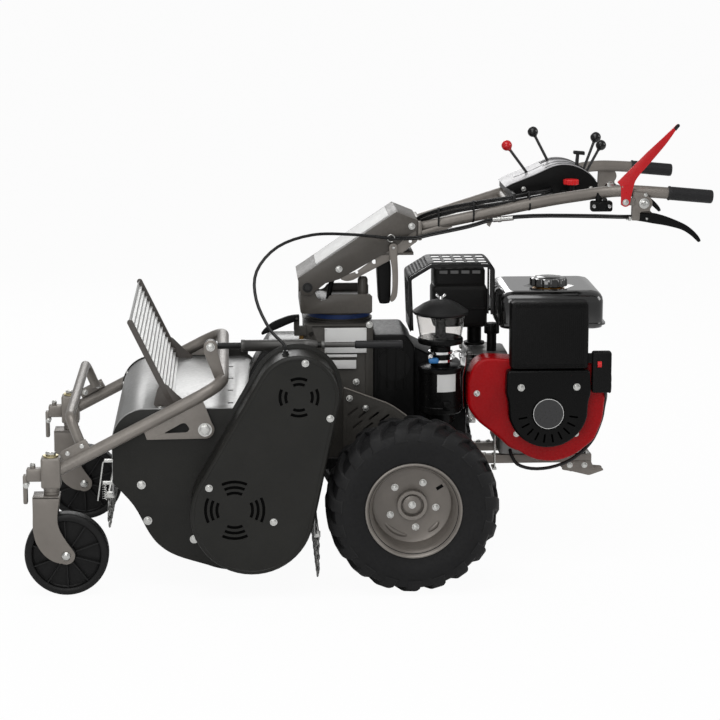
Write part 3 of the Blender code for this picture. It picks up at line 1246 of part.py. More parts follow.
def make_engine_frame():
    """The two rails under the engine, their cross plates and the rear stand."""
    low_x = AXLE_BOX_REAR_X + FIT_GAP
    high_x = 0.470
    half = RAIL_WIDTH / 2
    frame = box("engine_frame", (low_x, -RAIL_Y - half, RAIL_BOTTOM_Z), (high_x, -RAIL_Y + half, RAIL_TOP_Z))
    join(frame, box("right_rail", (low_x, RAIL_Y - half, RAIL_BOTTOM_Z), (high_x, RAIL_Y + half, RAIL_TOP_Z)))
    for i, x in enumerate((low_x, 0.250, 0.440)):
        join(frame, box(f"rail_tie_{i}", (x, -RAIL_Y, RAIL_BOTTOM_Z + 0.002), (x + 0.030, RAIL_Y, RAIL_TOP_Z - 0.002)))
    join(frame, plate("rear_stand", -RAIL_Y, 0.030,
                      [(0.400, RAIL_BOTTOM_Z + 0.004), (0.3945, 0.2222), (0.4200, 0.2180), (0.4640, 0.2070),
                       (0.5010, 0.2200), (0.4975, 0.2260), (0.4740, 0.2280), (0.4690, RAIL_BOTTOM_Z + 0.004)]))
    paint(frame, TAUPE)


# Engine


def make_crankcase():
    """The engine block: the crankcase, the cylinder in front of it and the drain hose loop."""
    block = box("crankcase", (CRANKCASE_FRONT_X, CRANKCASE_LEFT_Y, CRANKCASE_BOTTOM_Z),
                (CRANKCASE_REAR_X, CRANKCASE_RIGHT_Y, CRANKCASE_TOP_Z))
    join(block,
         box("cylinder", (CYLINDER_FRONT_X, -0.060, 0.350), (CRANKCASE_FRONT_X + 0.03, 0.105, CYLINDER_TOP_Z)),
         tube("drain_hose", bend([(0.262, CRANKCASE_LEFT_Y - 0.004, 0.275), (0.262, CRANKCASE_LEFT_Y - 0.020, 0.232),
                                  (0.3000, CRANKCASE_LEFT_Y - 0.022, 0.2215), (0.3850, CRANKCASE_LEFT_Y - 0.022, 0.2235),
                                  (0.4480, CRANKCASE_LEFT_Y - 0.018, 0.2600),
                                  (0.4480, CRANKCASE_LEFT_Y + 0.010, 0.2740)], 0.010, steps=3), 0.006, resolution=1))
    hollow = CASTING_WALL
    cut(block,
        box("crank_space", (CRANKCASE_FRONT_X + hollow, CRANKCASE_LEFT_Y + hollow, CRANKCASE_BOTTOM_Z + hollow),
            (CRANKCASE_REAR_X - hollow, CRANKCASE_RIGHT_Y - hollow, CRANKCASE_TOP_Z - hollow)),
        cylinder("crank_bore", "Y", (CRANK_X, 0.02, CRANK_Z), bore_radius(CRANK_RADIUS), 0.30))
    paint(block, CASTING_GREY)


def shroud_outline():
    """The fan shroud from the left side: a flat shoulder to the cylinder and a round belly."""
    belly = arc(CRANK_X + 0.010, 0.3850, 0.1230, -60, -128, 5)
    return [(0.1500, 0.4640), (0.1820, 0.4985), (0.4700, 0.4985), (0.4900, 0.4450), (0.4840, 0.3600),
            (0.4600, 0.3050), *belly, (0.2200, 0.3200), (0.1760, 0.3540), (0.1500, 0.4000)]


def recoil_outline():
    """The recoil cover from the left side: square shoulders over a round bottom."""
    return [(0.2440, 0.4960), (0.4480, 0.4960), (0.4490, 0.4400),
            *arc(CRANK_X, 0.4020, 0.1000, -6, -174, 10), (0.2415, 0.4400)]


def inset(outline, distance):
    """A closed outline drawn in by a wall's thickness."""
    path = [Vector(p) for p in outline]
    area = sum(a.x * b.y - b.x * a.y for a, b in zip(path, path[1:] + path[:1]))
    turn = distance if area < 0 else -distance
    moved = []
    for before, corner, after in zip(path[-1:] + path[:-1], path, path[1:] + path[:1]):
        first = (corner - before).normalized()
        second = (after - corner).normalized()
        side_one = Vector((first.y, -first.x))
        side_two = Vector((second.y, -second.x))
        middle = (side_one + side_two).normalized()
        moved.append(corner + middle * turn / middle.dot(side_one))
    return [(p.x, p.y) for p in moved]


def make_shroud_and_recoil():
    """The red fan shroud, the black recoil cover on it, and the flywheel on its crankshaft inside."""
    back = CRANKCASE_LEFT_Y - FIT_GAP
    shroud = plate("fan_shroud", (SHROUD_FRONT_Y + back) / 2, back - SHROUD_FRONT_Y, shroud_outline())
    cut(shroud,
        plate("shroud_hollow", (SHROUD_FRONT_Y + SHROUD_WALL + back + 0.01) / 2,
              back + 0.01 - SHROUD_FRONT_Y - SHROUD_WALL, inset(shroud_outline(), SHROUD_WALL)),
        cylinder("shroud_mouth", "Y", (CRANK_X, SHROUD_FRONT_Y, CRANK_Z), FLYWHEEL_RADIUS + 0.006, 0.03,
                 sides=TURNED_STEPS),
        bar("rope_hole", "X", (0.0, STARTER_Y, STARTER_Z), 0.470, 0.500, bore_radius(ROPE_RADIUS, sides=8), 8))
    paint(shroud, RED)
    recoil_back = SHROUD_FRONT_Y - FIT_GAP
    recoil = plate("recoil_cover", (RECOIL_FRONT_Y + recoil_back) / 2, recoil_back - RECOIL_FRONT_Y, recoil_outline())
    join(recoil, cylinder("recoil_boss", "Y", (CRANK_X, RECOIL_FRONT_Y - 0.001, CRANK_Z), 0.041, 0.006,
                          sides=TURNED_STEPS))
    cut(recoil,
        plate("recoil_hollow", (RECOIL_FRONT_Y + RECOIL_WALL + recoil_back + 0.01) / 2,
              recoil_back + 0.01 - RECOIL_FRONT_Y - RECOIL_WALL, inset(recoil_outline(), RECOIL_WALL)))
    paint(recoil, BLACK)
    fan_front = RECOIL_FRONT_Y + RECOIL_WALL + 0.008
    fan_back = CRANKCASE_LEFT_Y - 0.006
    flywheel = turned("flywheel", "Y", (CRANK_X, 0.0, CRANK_Z), [
        (0.0, CRANKCASE_RIGHT_Y + 0.012),
        (CRANK_RADIUS, CRANKCASE_RIGHT_Y + 0.012),
        (CRANK_RADIUS, fan_back),
        (FLYWHEEL_RADIUS, fan_back),
        (FLYWHEEL_RADIUS, SHROUD_FRONT_Y + 0.010),
        (0.045, SHROUD_FRONT_Y + 0.006),
        (0.045, fan_front),
        (0.0, fan_front),
    ], TURNED_STEPS)
    paint(flywheel, STEEL)


def make_muffler():
    """The muffler box over the cylinder, and the perforated guard round it."""
    muffler = rounded_box("muffler", MUFFLER_LOW, MUFFLER_HIGH, 0.012)
    pipe_low = CYLINDER_TOP_Z + FIT_GAP
    pipe_high = MUFFLER_LOW[2] + 0.01
    join(muffler, cylinder("exhaust_pipe", "Z", (0.185, 0.050, (pipe_low + pipe_high) / 2), 0.018,
                           pipe_high - pipe_low))
    paint(muffler, BLACK)
    width = GUARD_CAGE_RIGHT_Y - GUARD_CAGE_LEFT_Y
    middle_y = (GUARD_CAGE_RIGHT_Y + GUARD_CAGE_LEFT_Y) / 2
    path = [(0.0200, 0.5620), (0.0145, 0.7000), (0.0700, 0.7340), (0.2160, 0.7340), (0.2300, 0.7190), (0.2300, 0.6020)]
    cage = plate("muffler_guard", middle_y, width, strip(path, CAGE_SHEET))
    windows = []
    for i in range(4):
        for j in range(3):
            x = 0.088 + i * 0.034
            y = GUARD_CAGE_LEFT_Y + 0.016 + j * 0.043
            windows.append(box(f"guard_window_{i}_{j}", (x, y, 0.70), (x + 0.022, y + 0.032, 0.76)))
    for j in range(3):
        y = GUARD_CAGE_LEFT_Y + 0.012 + j * 0.045
        windows.append(box(f"front_window_{j}", (0.00, y, 0.590), (0.04, y + 0.036, 0.686)))
        windows.append(box(f"rear_window_{j}", (0.22, y, 0.632), (0.25, y + 0.036, 0.700)))
    cut(cage, *windows)
    tab_start = MUFFLER_HIGH[0] + FIT_GAP
    join(cage, box("guard_tab", (tab_start, 0.045, 0.606), (0.2290, 0.085, 0.612)))
    paint(cage, BLACK)


def make_air_cleaner():
    """The pre-cleaner cap and bowl on their stem, over the round cleaner body and its bracket."""
    cleaner = turned("air_cleaner", "Z", (CLEANER_X, CLEANER_Y, 0.0), [
        (0.0, 0.6740), (0.005, 0.6735), (0.006, 0.6610), (0.040, 0.6530), (0.0685, 0.6350), (0.0685, 0.6290),
        (0.0610, 0.6250), (0.0520, 0.5700), (0.0540, 0.5560), (0.0250, 0.5480), (0.0240, 0.5060),
        (0.0500, 0.4990), (0.0510, 0.3850), (0.0400, 0.3820), (0.0360, 0.3600), (0.0, 0.3600),
    ], TURNED_STEPS)
    join(cleaner, box("cleaner_bracket", (CLEANER_X - 0.015, CLEANER_Y + 0.040, 0.430),
                      (CLEANER_X + 0.015, CASE_STEP_Y - FIT_GAP, 0.460)))
    paint(cleaner, BLACK)


def make_tank():
    """The fuel tank on its two posts, and the cap that turns on its neck."""
    tank = rounded_box("fuel_tank", TANK_LOW, TANK_HIGH, TANK_ROUNDING)
    foot = CRANKCASE_TOP_Z + FIT_GAP
    join(tank,
         box("tank_post_front", (0.280, 0.000, foot), (0.300, 0.060, TANK_LOW[2] + 0.01)),
         box("tank_post_rear", (0.420, 0.000, foot), (0.440, 0.060, TANK_LOW[2] + 0.01)))
    neck_radius = FUEL_CAP_RADIUS - 0.014
    neck_top = TANK_HIGH[2] + 0.008
    join(tank, cylinder("filler_neck", "Z", (FUEL_CAP_X, FUEL_CAP_Y, (TANK_HIGH[2] - 0.01 + neck_top) / 2),
                        neck_radius, neck_top - TANK_HIGH[2] + 0.01))
    cut(tank, rounded_box("tank_space", [a + TANK_WALL for a in TANK_LOW], [b - TANK_WALL for b in TANK_HIGH],
                          TANK_ROUNDING - TANK_WALL),
        cylinder("filler_bore", "Z", (FUEL_CAP_X, FUEL_CAP_Y, TANK_HIGH[2]), neck_radius - 0.004, 0.05))
    paint(tank, BLACK)
    skirt = TANK_HIGH[2] + FIT_GAP
    inside = bore_radius(neck_radius, sides=TURNED_STEPS)
    cap = turned("fuel_cap", "Z", (FUEL_CAP_X, FUEL_CAP_Y, 0.0), [
        (0.0, skirt + 0.024), (FUEL_CAP_RADIUS - 0.010, skirt + 0.024), (FUEL_CAP_RADIUS, skirt + 0.018),
        (FUEL_CAP_RADIUS, skirt), (inside, skirt), (inside, neck_top + FIT_GAP), (0.0, neck_top + FIT_GAP),
    ], TURNED_STEPS)
    paint(cap, BLACK)


def make_panel_box():
    """The textured box on the tank's front, over the recoil cover, with its arm for the switch box."""
    panel = rounded_box("panel_box", PANEL_LOW, PANEL_HIGH, 0.006)
    join(panel,
         box("panel_arm", (PANEL_HIGH[0] - 0.01, -0.182, 0.512), (SWITCH_LOW[0] + 0.012, -0.170, 0.536)),
         box("switch_box", SWITCH_LOW, SWITCH_HIGH))
    half_x = 0.0055
    half_z = 0.0085
    cut(panel,
        box("rocker_pocket", (ROCKER_X - half_x, SWITCH_LOW[1] - 0.01, ROCKER_Z - half_z),
            (ROCKER_X + half_x, SWITCH_LOW[1] + 0.012, ROCKER_Z + half_z)))
    hinge = (ROCKER_X, SWITCH_LOW[1] + 0.004, ROCKER_Z)
    join(panel, bar("rocker_pin", "X", hinge, ROCKER_X - half_x - 0.002, ROCKER_X + half_x + 0.002, 0.0012, 8))
    paint(panel, BLACK)
    thin = 0.0012
    deep = SWITCH_LOW[1] + 0.006
    rocker = slab("rocker_switch", "YZ", (ROCKER_X, 0.0, 0.0), 2 * (half_x - thin / 2), [
        (deep, ROCKER_Z - 0.005), (SWITCH_LOW[1] - 0.001, ROCKER_Z - half_z + thin),
        (SWITCH_LOW[1] - 0.003, ROCKER_Z), (SWITCH_LOW[1] + 0.001, ROCKER_Z + half_z - thin), (deep, ROCKER_Z + 0.005)])
    cut(rocker, bar("rocker_bore", "X", hinge, ROCKER_X - 0.01, ROCKER_X + 0.01, bore_radius(0.0012, sides=8), 8))
    paint(rocker, RED)
    put_origin(rocker, hinge)


def make_starter_grip():
    """The starter grip with the length of rope that it draws out of the fan shroud."""
    place = (0.0, STARTER_Y, STARTER_Z)
    grip = box("starter_grip", (STARTER_X, STARTER_Y - 0.007, STARTER_Z - 0.0245),
               (STARTER_X + 0.012, STARTER_Y + 0.007, STARTER_Z + 0.0245))
    join(grip,
         bar("grip_neck", "X", place, STARTER_X - 0.008, STARTER_X + 0.004, 0.007, 8),
         bar("starter_rope", "X", place, 0.3950, STARTER_X, ROPE_RADIUS, 8))
    paint(grip, BLACK)


# Turret, mast and handlebar


def make_turret():
    """The turret that swivels on the gearbox neck, with hinge ears and the latch post."""
    front = PIN_X - 0.018
    rear = GEARBOX_REAR_X - 0.001
    turret = box("turret", (front, -MAST_HALF_WIDTH + MAST_SHEET + 0.002, TURRET_BOTTOM_Z),
                 (rear, MAST_HALF_WIDTH - MAST_SHEET - 0.002, TURRET_TOP_Z - 0.022))
    ear_y = MAST_HALF_WIDTH - MAST_SHEET - 0.006
    ear = [(front, TURRET_BOTTOM_Z + 0.004), (rear, TURRET_BOTTOM_Z + 0.004), (rear, TURRET_TOP_Z - 0.004),
           (PIN_X + 0.040, TURRET_TOP_Z - 0.004), (PIN_X + 0.022, TURRET_TOP_Z),
           *arc(PIN_X, PIN_Z, 0.018, 0, 180, 8)]
    for side, sign in (("left", -1), ("right", 1)):
        join(turret, plate("turret_ear_" + side, sign * ear_y, 0.008, ear))
    join(turret,
         cylinder("latch_post", "Z", (-0.1030, -0.060, 0.678), 0.0125, 0.070),
         cylinder("mast_pin", "Y", (PIN_X, 0.0, PIN_Z), PIN_RADIUS, 2 * MAST_HALF_WIDTH + 0.008))
    paint(turret, CASTING_GREY)
    put_origin(turret, (TURRET_X, 0.0, TURRET_BOTTOM_Z))


def mast_side_outline():
    """A cheek of the mast: a flat bar that climbs from the pin to the handlebar."""
    return [*arc(PIN_X, PIN_Z, 0.020, 205, 320, 5), (-0.1850, 0.7130), (-0.1542, 0.7180), (-0.0700, 0.7600),
            (0.0000, 0.8010), (0.0300, 0.8019), (0.0300, 0.8560), (-0.0226, 0.8775), (-0.2450, 0.7250),
            (-0.2660, 0.7120)]


def make_mast():
    """The mast: two cheeks, a top sheet and the black block that hangs behind the turret."""
    cheek_y = MAST_HALF_WIDTH - MAST_SHEET / 2
    mast = plate("mast", -cheek_y, MAST_SHEET, mast_side_outline())
    top = strip([(-0.2640, 0.7120), (-0.2450, 0.7250), (-0.0226, 0.8775), (0.0300, 0.8560)], MAST_SHEET)
    block = [(-0.0700, 0.7560), (-0.0660, 0.6900), (-0.0640, 0.6480), (-0.0400, 0.6480), (-0.0345, 0.6620),
             (-0.0345, 0.7300), (-0.0400, 0.7750)]
    join(mast,
         plate("mast_right_cheek", cheek_y, MAST_SHEET, mast_side_outline()),
         plate("mast_top", 0.0, 2 * MAST_HALF_WIDTH - 0.002, top),
         plate("mast_block", -0.055, 0.070, block),
         box("mast_floor", (-0.060, -MAST_HALF_WIDTH + 0.001, 0.7700), (0.0200, MAST_HALF_WIDTH - 0.001, 0.7800)),
         box("mast_floor_rise", (0.000, -MAST_HALF_WIDTH + 0.001, 0.7720), (0.0200, MAST_HALF_WIDTH - 0.001, 0.8100)))
    latch_ear_y = -MAST_HALF_WIDTH - 0.001
    join(mast,
         cylinder("latch_pin", "Y", (LATCH_X, latch_ear_y - 0.006, LATCH_Z), 0.004, 0.022, sides=8),
         bar("cable_rest", "Y", (-0.0366, 0.0, 0.8144), -0.1105, -MAST_HALF_WIDTH + 0.002, 0.006, 8))
    cut(mast, cylinder("mast_bore", "Y", (PIN_X, 0.0, PIN_Z),
                       bore_radius(PIN_RADIUS), 2 * MAST_HALF_WIDTH + 0.02))
    paint(mast, TAUPE)
    put_origin(mast, (PIN_X, 0.0, PIN_Z))


def make_latch_lever():
    """The curved lever beside the mast block that frees the column."""
    y = -MAST_HALF_WIDTH - FIT_GAP - 0.004
    outline = [*arc(LATCH_X, LATCH_Z, 0.011, 30, 180, 5), (-0.0420, 0.7700), (-0.0330, 0.7200), (-0.0330, 0.6800),
               (-0.0380, 0.6640), (-0.0330, 0.6560), (-0.0215, 0.6690), (-0.0185, 0.7000), (-0.0190, 0.7300),
               (-0.0225, 0.7700)]
    lever = plate("latch_lever", y, 0.006, outline)
    cut(lever, cylinder("latch_bore", "Y", (LATCH_X, y, LATCH_Z), bore_radius(0.004, sides=8), 0.02, sides=8))
    paint(lever, STEEL)
    put_origin(lever, (LATCH_X, y, LATCH_Z))


def bar_route(sign):
    """The middle line of one handlebar, from the mast to just inside its grip."""
    end = (GRIP_END[0] - 0.004, sign * GRIP_END[1], GRIP_END[2] + 0.0005)
    start = (GRIP_START[0], sign * GRIP_START[1], GRIP_START[2])
    return [(0.0200, sign * 0.060, 0.8300), (0.3400, sign * 0.175, 0.9130), (0.4950, sign * 0.262, 0.9480), start, end]


def clamp_outline():
    """The lever bracket under a bar: a pressed plate with a lobe to the rear."""
    return [(CLAMP_LOW[0] + 0.022, CLAMP_LOW[1]), (CLAMP_LOW[0] + 0.036, CLAMP_LOW[1]),
            (CLAMP_LOW[0] + 0.040, CLAMP_LOW[1] + 0.012), (0.575, 0.873), (0.581, 0.890), (0.566, 0.903),
            *arc(0.5560, 0.9187, 0.018, -50, 60, 5), (0.560, 0.9430), (0.528, 0.9470), (0.526, 0.905)]


def make_handlebars():
    """Both bars in one welded piece, their cross tube, and the bracket that carries the hand levers."""
    bars = tube("handlebars", bend(bar_route(-1), 0.05, steps=3), BAR_RADIUS, resolution=1)
    join(bars,
         tube("right_bar", bend(bar_route(1), 0.05, steps=3), BAR_RADIUS, resolution=1),
         box("bar_foot", (0.0303, -0.0995, 0.806), (0.0403, 0.0995, 0.852)),
         cylinder("bar_cross_tube", "Y", (0.2600, 0.0, 0.8900), 0.010, 0.290, sides=8))
    start = Vector(bar_route(-1)[0])
    for side, sign in (("left", -1), ("right", 1)):
        y = sign * GRIP_START[1]
        join(bars, plate("lever_bracket_" + side, y, 0.020, clamp_outline()))
        cut(bars, box("lever_slot_" + side, (HAND_LEVER_PIVOT[0] - 0.030, y - 0.0065, 0.860),
                      (HAND_LEVER_PIVOT[0] + 0.06, y + 0.0065, HAND_LEVER_PIVOT[1] + 0.017)))
        join(bars, cylinder("hand_lever_pin_" + side, "Y", (HAND_LEVER_PIVOT[0], y, HAND_LEVER_PIVOT[1]), 0.003,
                            0.024, sides=8))
    join(bars,
         box("switch_block", (0.432, -0.262, 0.895), (0.484, -0.232, 0.9165)),
         cylinder("switch_stem", "Z", (0.452, -0.245, 0.925), 0.008, 0.030, sides=8),
         box("safety_lug", (0.4980, -0.300, 0.9150), (0.5300, -0.288, 0.9330)),
         cylinder("safety_pin", "Y", (SAFETY_PIVOT[0], -0.303, SAFETY_PIVOT[1]), 0.003, 0.022, sides=8))
    front = box("bar_trim", (start.x - 0.03, -0.2, 0.78), (0.0303, 0.2, 0.88))
    cut(bars, front)
    paint(bars, TAUPE)
    put_origin(bars, (PIN_X, 0.0, PIN_Z))


def make_grip(side, sign):
    """A rubber grip over the end of a bar."""
    start = Vector((GRIP_START[0], sign * GRIP_START[1], GRIP_START[2]))
    end = Vector((GRIP_END[0], sign * GRIP_END[1], GRIP_END[2]))
    along = (end - start).normalized()
    grip = tube("grip_" + side, [start + along * 0.002, end], GRIP_RADIUS, resolution=2)
    bore = bore_radius(BAR_RADIUS, FIT_GAP, 6)
    cut(grip, tube("grip_bore_" + side, [start - along * 0.02, end - along * 0.0035], bore, resolution=1))
    paint(grip, RUBBER)
    put_origin(grip, (PIN_X, 0.0, PIN_Z))


def console_outline():
    """The console from the side: a flat bottom and a humped top that carries the lever gates."""
    return [(0.2710, 0.9150), (0.2455, 0.9340), (0.2600, 0.9420), (0.3157, 0.9640), (0.3600, 0.9840),
            (0.3900, 0.9890), (0.4200, 0.9840), (0.4500, 0.9680), (0.4740, 0.9440), (0.4740, 0.9150)]


def make_console():
    """The hollow console between the bars, with a slot in its top for each lever, on two feet."""
    wall = 0.003
    console = plate("console", 0.0, 2 * CONSOLE_HALF_WIDTH, console_outline())
    inner = inset(console_outline(), wall)
    low = min(z for x, z in inner)
    opened = [(x, z - 0.02 if z < low + 0.001 else z) for x, z in inner]
    cut(console, plate("console_hollow", 0.0, 2 * (CONSOLE_HALF_WIDTH - wall), opened))
    throttle_x, throttle_y, throttle_z = THROTTLE_PIVOT
    cut(console, box("throttle_gate", (throttle_x - 0.018, throttle_y - 0.004, throttle_z),
                     (throttle_x + 0.022, throttle_y + 0.004, 1.02)))
    side_y = CONSOLE_HALF_WIDTH - 0.001
    join(console, cylinder("throttle_shaft", "Y", (throttle_x, (throttle_y + 0.006 - side_y) / 2, throttle_z),
                           LEVER_SHAFT_RADIUS, side_y + throttle_y + 0.006, sides=8))
    for name, lever in GATE_LEVERS.items():
        x, y, z = lever["pivot"]
        front, rear = lever["gate"]
        cut(console, box(name + "_gate", (front, y - GATE_HALF_WIDTH, 0.940), (rear, y + GATE_HALF_WIDTH, 1.02)))
        join(console, cylinder(name + "_shaft", "Y", (x, 0.0, z), LEVER_SHAFT_RADIUS, 2 * side_y, sides=8))
    join(console,
         box("console_foot", (0.2560, -0.1550, 0.9074), (0.2640, 0.1550, 0.9270)),
         box("console_rear_foot", (0.4640, -0.2500, 0.9180), (0.4720, 0.2500, 0.9260)))
    dial_x, dial_y, dial_z = DIAL_PLACE
    join(console,
         box("dial_shelf", (dial_x - 0.022, dial_y - 0.020, dial_z - 0.0150),
             (dial_x + 0.012, -CONSOLE_HALF_WIDTH + 0.002, dial_z - 0.0105)),
         cylinder("dial_post", "Z", (dial_x, dial_y, dial_z - 0.004), 0.004, 0.016, sides=8))
    paint(console, BLACK)
    put_origin(console, (PIN_X, 0.0, PIN_Z))


def make_gate_lever(name, look):
    """A gate lever: a rod with a ball knob, on a boss that turns on its shaft in the console."""
    pivot = Vector(GATE_LEVERS[name]["pivot"])
    knob = Vector(GATE_LEVERS[name]["knob"])
    along = (knob - pivot).normalized()
    lever = cylinder(name, "Y", pivot, LEVER_BOSS_RADIUS, 0.009, sides=8)
    join(lever,
         tube(name + "_rod", [pivot, knob], LEVER_ROD_RADIUS, resolution=1),
         sphere(name + "_knob", knob - along * 0.002, KNOB_RADIUS))
    cut(lever, cylinder(name + "_bore", "Y", pivot, bore_radius(LEVER_SHAFT_RADIUS, sides=8), 0.02, sides=8))
    paint(lever, look)


def make_throttle():
    """The short throttle lever with a flat black paddle, on the console's top."""
    x, y, z = THROTTLE_PIVOT
    outline = [*arc(x, z, LEVER_BOSS_RADIUS, 140, 400, 8), (x + 0.006, z + 0.048), (x, z + 0.048)]
    lever = plate("throttle_lever", y, 0.005, outline)
    join(lever, box("throttle_paddle", (x - 0.007, y - 0.007, z + 0.043), (x + 0.021, y + 0.007, z + 0.053)))
    cut(lever, cylinder("throttle_bore", "Y", THROTTLE_PIVOT, bore_radius(LEVER_SHAFT_RADIUS, sides=8), 0.02, sides=8))
    paint(lever, BLACK)
    put_origin(lever, THROTTLE_PIVOT)


def make_dial():
    """The red hand dial on the console's left side."""
    x, y, z = DIAL_PLACE
    base = z - 0.0105 + FIT_GAP
    bore = bore_radius(0.004)
    dial = turned("dial", "Z", (x, y, 0.0), [
        (0.0, base + 0.030), (DIAL_RADIUS - 0.003, base + 0.030), (DIAL_RADIUS, base + 0.026),
        (DIAL_RADIUS, base + 0.016), (0.009, base + 0.014), (0.009, base), (bore, base), (bore, base + 0.018),
        (0.0, base + 0.018)], ROUND_SIDES)
    paint(dial, RED)


def make_safety_lever():
    """The long red safety lever on the left bar."""
    x, z = SAFETY_PIVOT
    outline = [*arc(x, z, 0.011, 180, 350, 5), (0.5220, 0.9480), (0.5290, 0.9720), (0.5700, 1.0220), (0.6310, 1.1010),
               (0.6270, 1.1090), (0.5560, 1.0430), (0.4851, 0.9703), (0.4950, 0.9600), (0.4955, 0.9300)]
    lever = plate("safety_lever", -0.3060, 0.006, outline)
    cut(lever, cylinder("safety_bore", "Y", (x, -0.3060, z), bore_radius(0.003, sides=8), 0.02, sides=8))
    paint(lever, RED)
    put_origin(lever, (x, -0.3060, z))


def make_hand_lever(side, sign):
    """A black hand lever that curves down under the grip."""
    x, z = HAND_LEVER_PIVOT
    outline = [(x - 0.026, z - 0.005), (x - 0.004, z - 0.009), (0.6100, 0.8640), (0.6450, 0.8530), (0.6700, 0.8400),
               (0.6850, 0.8240), (0.6930, 0.8290), (0.6760, 0.8510), (0.6500, 0.8690), (0.6120, 0.8860),
               (x + 0.012, z + 0.012), (x - 0.026, z + 0.012)]
    lever = plate("brake_lever_" + side, sign * GRIP_START[1], 0.011, outline)
    cut(lever, cylinder("brake_bore_" + side, "Y", (x, sign * GRIP_START[1], z),
                        bore_radius(0.003, sides=8), 0.03, sides=8))
    paint(lever, BLACK)
    put_origin(lever, (x, sign * GRIP_START[1], z))


def make_hitch_lever():
    """The small black lever in front of the gearbox that frees the deck."""
    x, y, z = HITCH_PIVOT
    outline = [(x - 0.004, z - 0.006), (x + 0.006, z - 0.006), (x + 0.006, z + 0.010), (x - 0.030, z + 0.005),
               (x - 0.060, z - 0.010), (x - 0.088, z - 0.036), (x - 0.082, z - 0.042), (x - 0.052, z - 0.021)]
    lever = plate("hitch_lever", y, 0.010, outline)
    cut(lever, cylinder("hitch_bore", "Y", (x, y, z), bore_radius(0.003, sides=8), 0.03, sides=8))
    paint(lever, BLACK)
    put_origin(lever, (x, y, z))


# Cables


def make_cables():
    """The control cables under the left bar, and the deck cable that arches forward to the belt cover."""
    control = smooth_route([(0.5252, -0.2800, 0.8850), (0.4950, -0.2780, 0.8850), (0.4200, -0.2450, 0.8800),
                            (0.3000, -0.1850, 0.8720), (0.1600, -0.1350, 0.8420), (0.0600, -0.1100, 0.8200),
                            (0.0200, -0.1068, 0.8120)], 2)
    paint(tube("control_cables", control, 0.006, resolution=2), RUBBER)
    deck = smooth_route([(-0.0366, -0.1150, 0.8144), (-0.1400, -0.1300, 0.8280), (-0.2400, -0.1600, 0.8290),
                         (-0.3250, -0.2100, 0.8050), (-0.3740, -0.2700, 0.7500), (-0.3720, -0.3300, 0.6900),
                         (-0.3350, -0.3780, 0.6360), (-0.3030, -0.3980, 0.6080),
                         (-0.3010, -0.4000, 0.5928)], 3)
    paint(tube("deck_cable", deck, 0.004, resolution=2), RUBBER)


make_wheel("left", "-Y", -WHEEL_Y)
make_wheel("right", "Y", WHEEL_Y)
make_castor_frame()
make_bumper_bar()
make_castor("left", -CASTOR_Y)
make_castor("right", CASTOR_Y)
make_adjuster()
make_deck_side()
make_deck_shell()
make_guard_plate()
make_curtain("chain_front", FRONT_CURTAIN_X, FRONT_CURTAIN_Z, FRONT_CURTAIN_DROP)
make_curtain("chain_rear", REAR_CURTAIN_X, REAR_CURTAIN_Z, REAR_CURTAIN_DROP)
make_rotor()
make_knife_row("knife_row_front", -1)
make_knife_row("knife_row_rear", 1)
make_drive_pulley()
make_belt()
make_idler()
make_belt_cover()
make_gearbox()
make_drive_case()
make_side_cover()
make_engine_frame()
make_crankcase()
make_shroud_and_recoil()
make_muffler()
make_air_cleaner()
make_tank()
make_panel_box()
make_starter_grip()
make_turret()
make_mast()
make_latch_lever()
make_handlebars()
make_grip("left", -1)
make_grip("right", 1)
make_console()
make_gate_lever("gear_lever", RED)
make_gate_lever("speed_lever", BLACK)
make_gate_lever("pto_lever", BLACK)
make_gate_lever("lock_lever", BLACK)
make_throttle()
make_dial()
make_safety_lever()
make_hand_lever("left", -1)
make_hand_lever("right", 1)
make_hitch_lever()
make_cables()
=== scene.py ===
"""The looks of the hammer knife mower: every visible piece of the machine with its finish, in plain studio
light.

Places are measured from the middle of the wheel axle: X behind it, Y to the right, Z above the ground.
"""
import math

import bmesh
import bpy
import numpy as np
from mathutils import Euler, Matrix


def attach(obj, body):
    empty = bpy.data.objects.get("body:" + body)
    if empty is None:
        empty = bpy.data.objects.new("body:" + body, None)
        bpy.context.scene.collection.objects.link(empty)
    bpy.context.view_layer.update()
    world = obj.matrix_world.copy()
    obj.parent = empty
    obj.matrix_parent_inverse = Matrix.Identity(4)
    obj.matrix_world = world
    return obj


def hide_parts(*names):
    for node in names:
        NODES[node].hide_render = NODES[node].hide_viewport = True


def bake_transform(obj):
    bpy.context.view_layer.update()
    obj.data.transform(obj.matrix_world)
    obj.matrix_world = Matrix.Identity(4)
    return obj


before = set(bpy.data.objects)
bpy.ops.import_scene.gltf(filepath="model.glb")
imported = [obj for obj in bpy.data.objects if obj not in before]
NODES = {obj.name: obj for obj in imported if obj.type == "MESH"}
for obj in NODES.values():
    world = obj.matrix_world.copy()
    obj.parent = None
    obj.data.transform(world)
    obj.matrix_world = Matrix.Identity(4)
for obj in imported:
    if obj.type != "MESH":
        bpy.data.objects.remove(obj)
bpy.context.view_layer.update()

# Studio. A pale matt floor runs out to a white surround. Two soft square lamps light the machine from above
# and from its near side, and two weaker ones from its rear end and its far side, so that black pieces still
# show edges.
CAMERA_PLACE = (-0.3102, -6.0738, 1.6652)
CAMERA_PITCH = 10.93
CAMERA_YAW = 2.89
LENS = 123.5


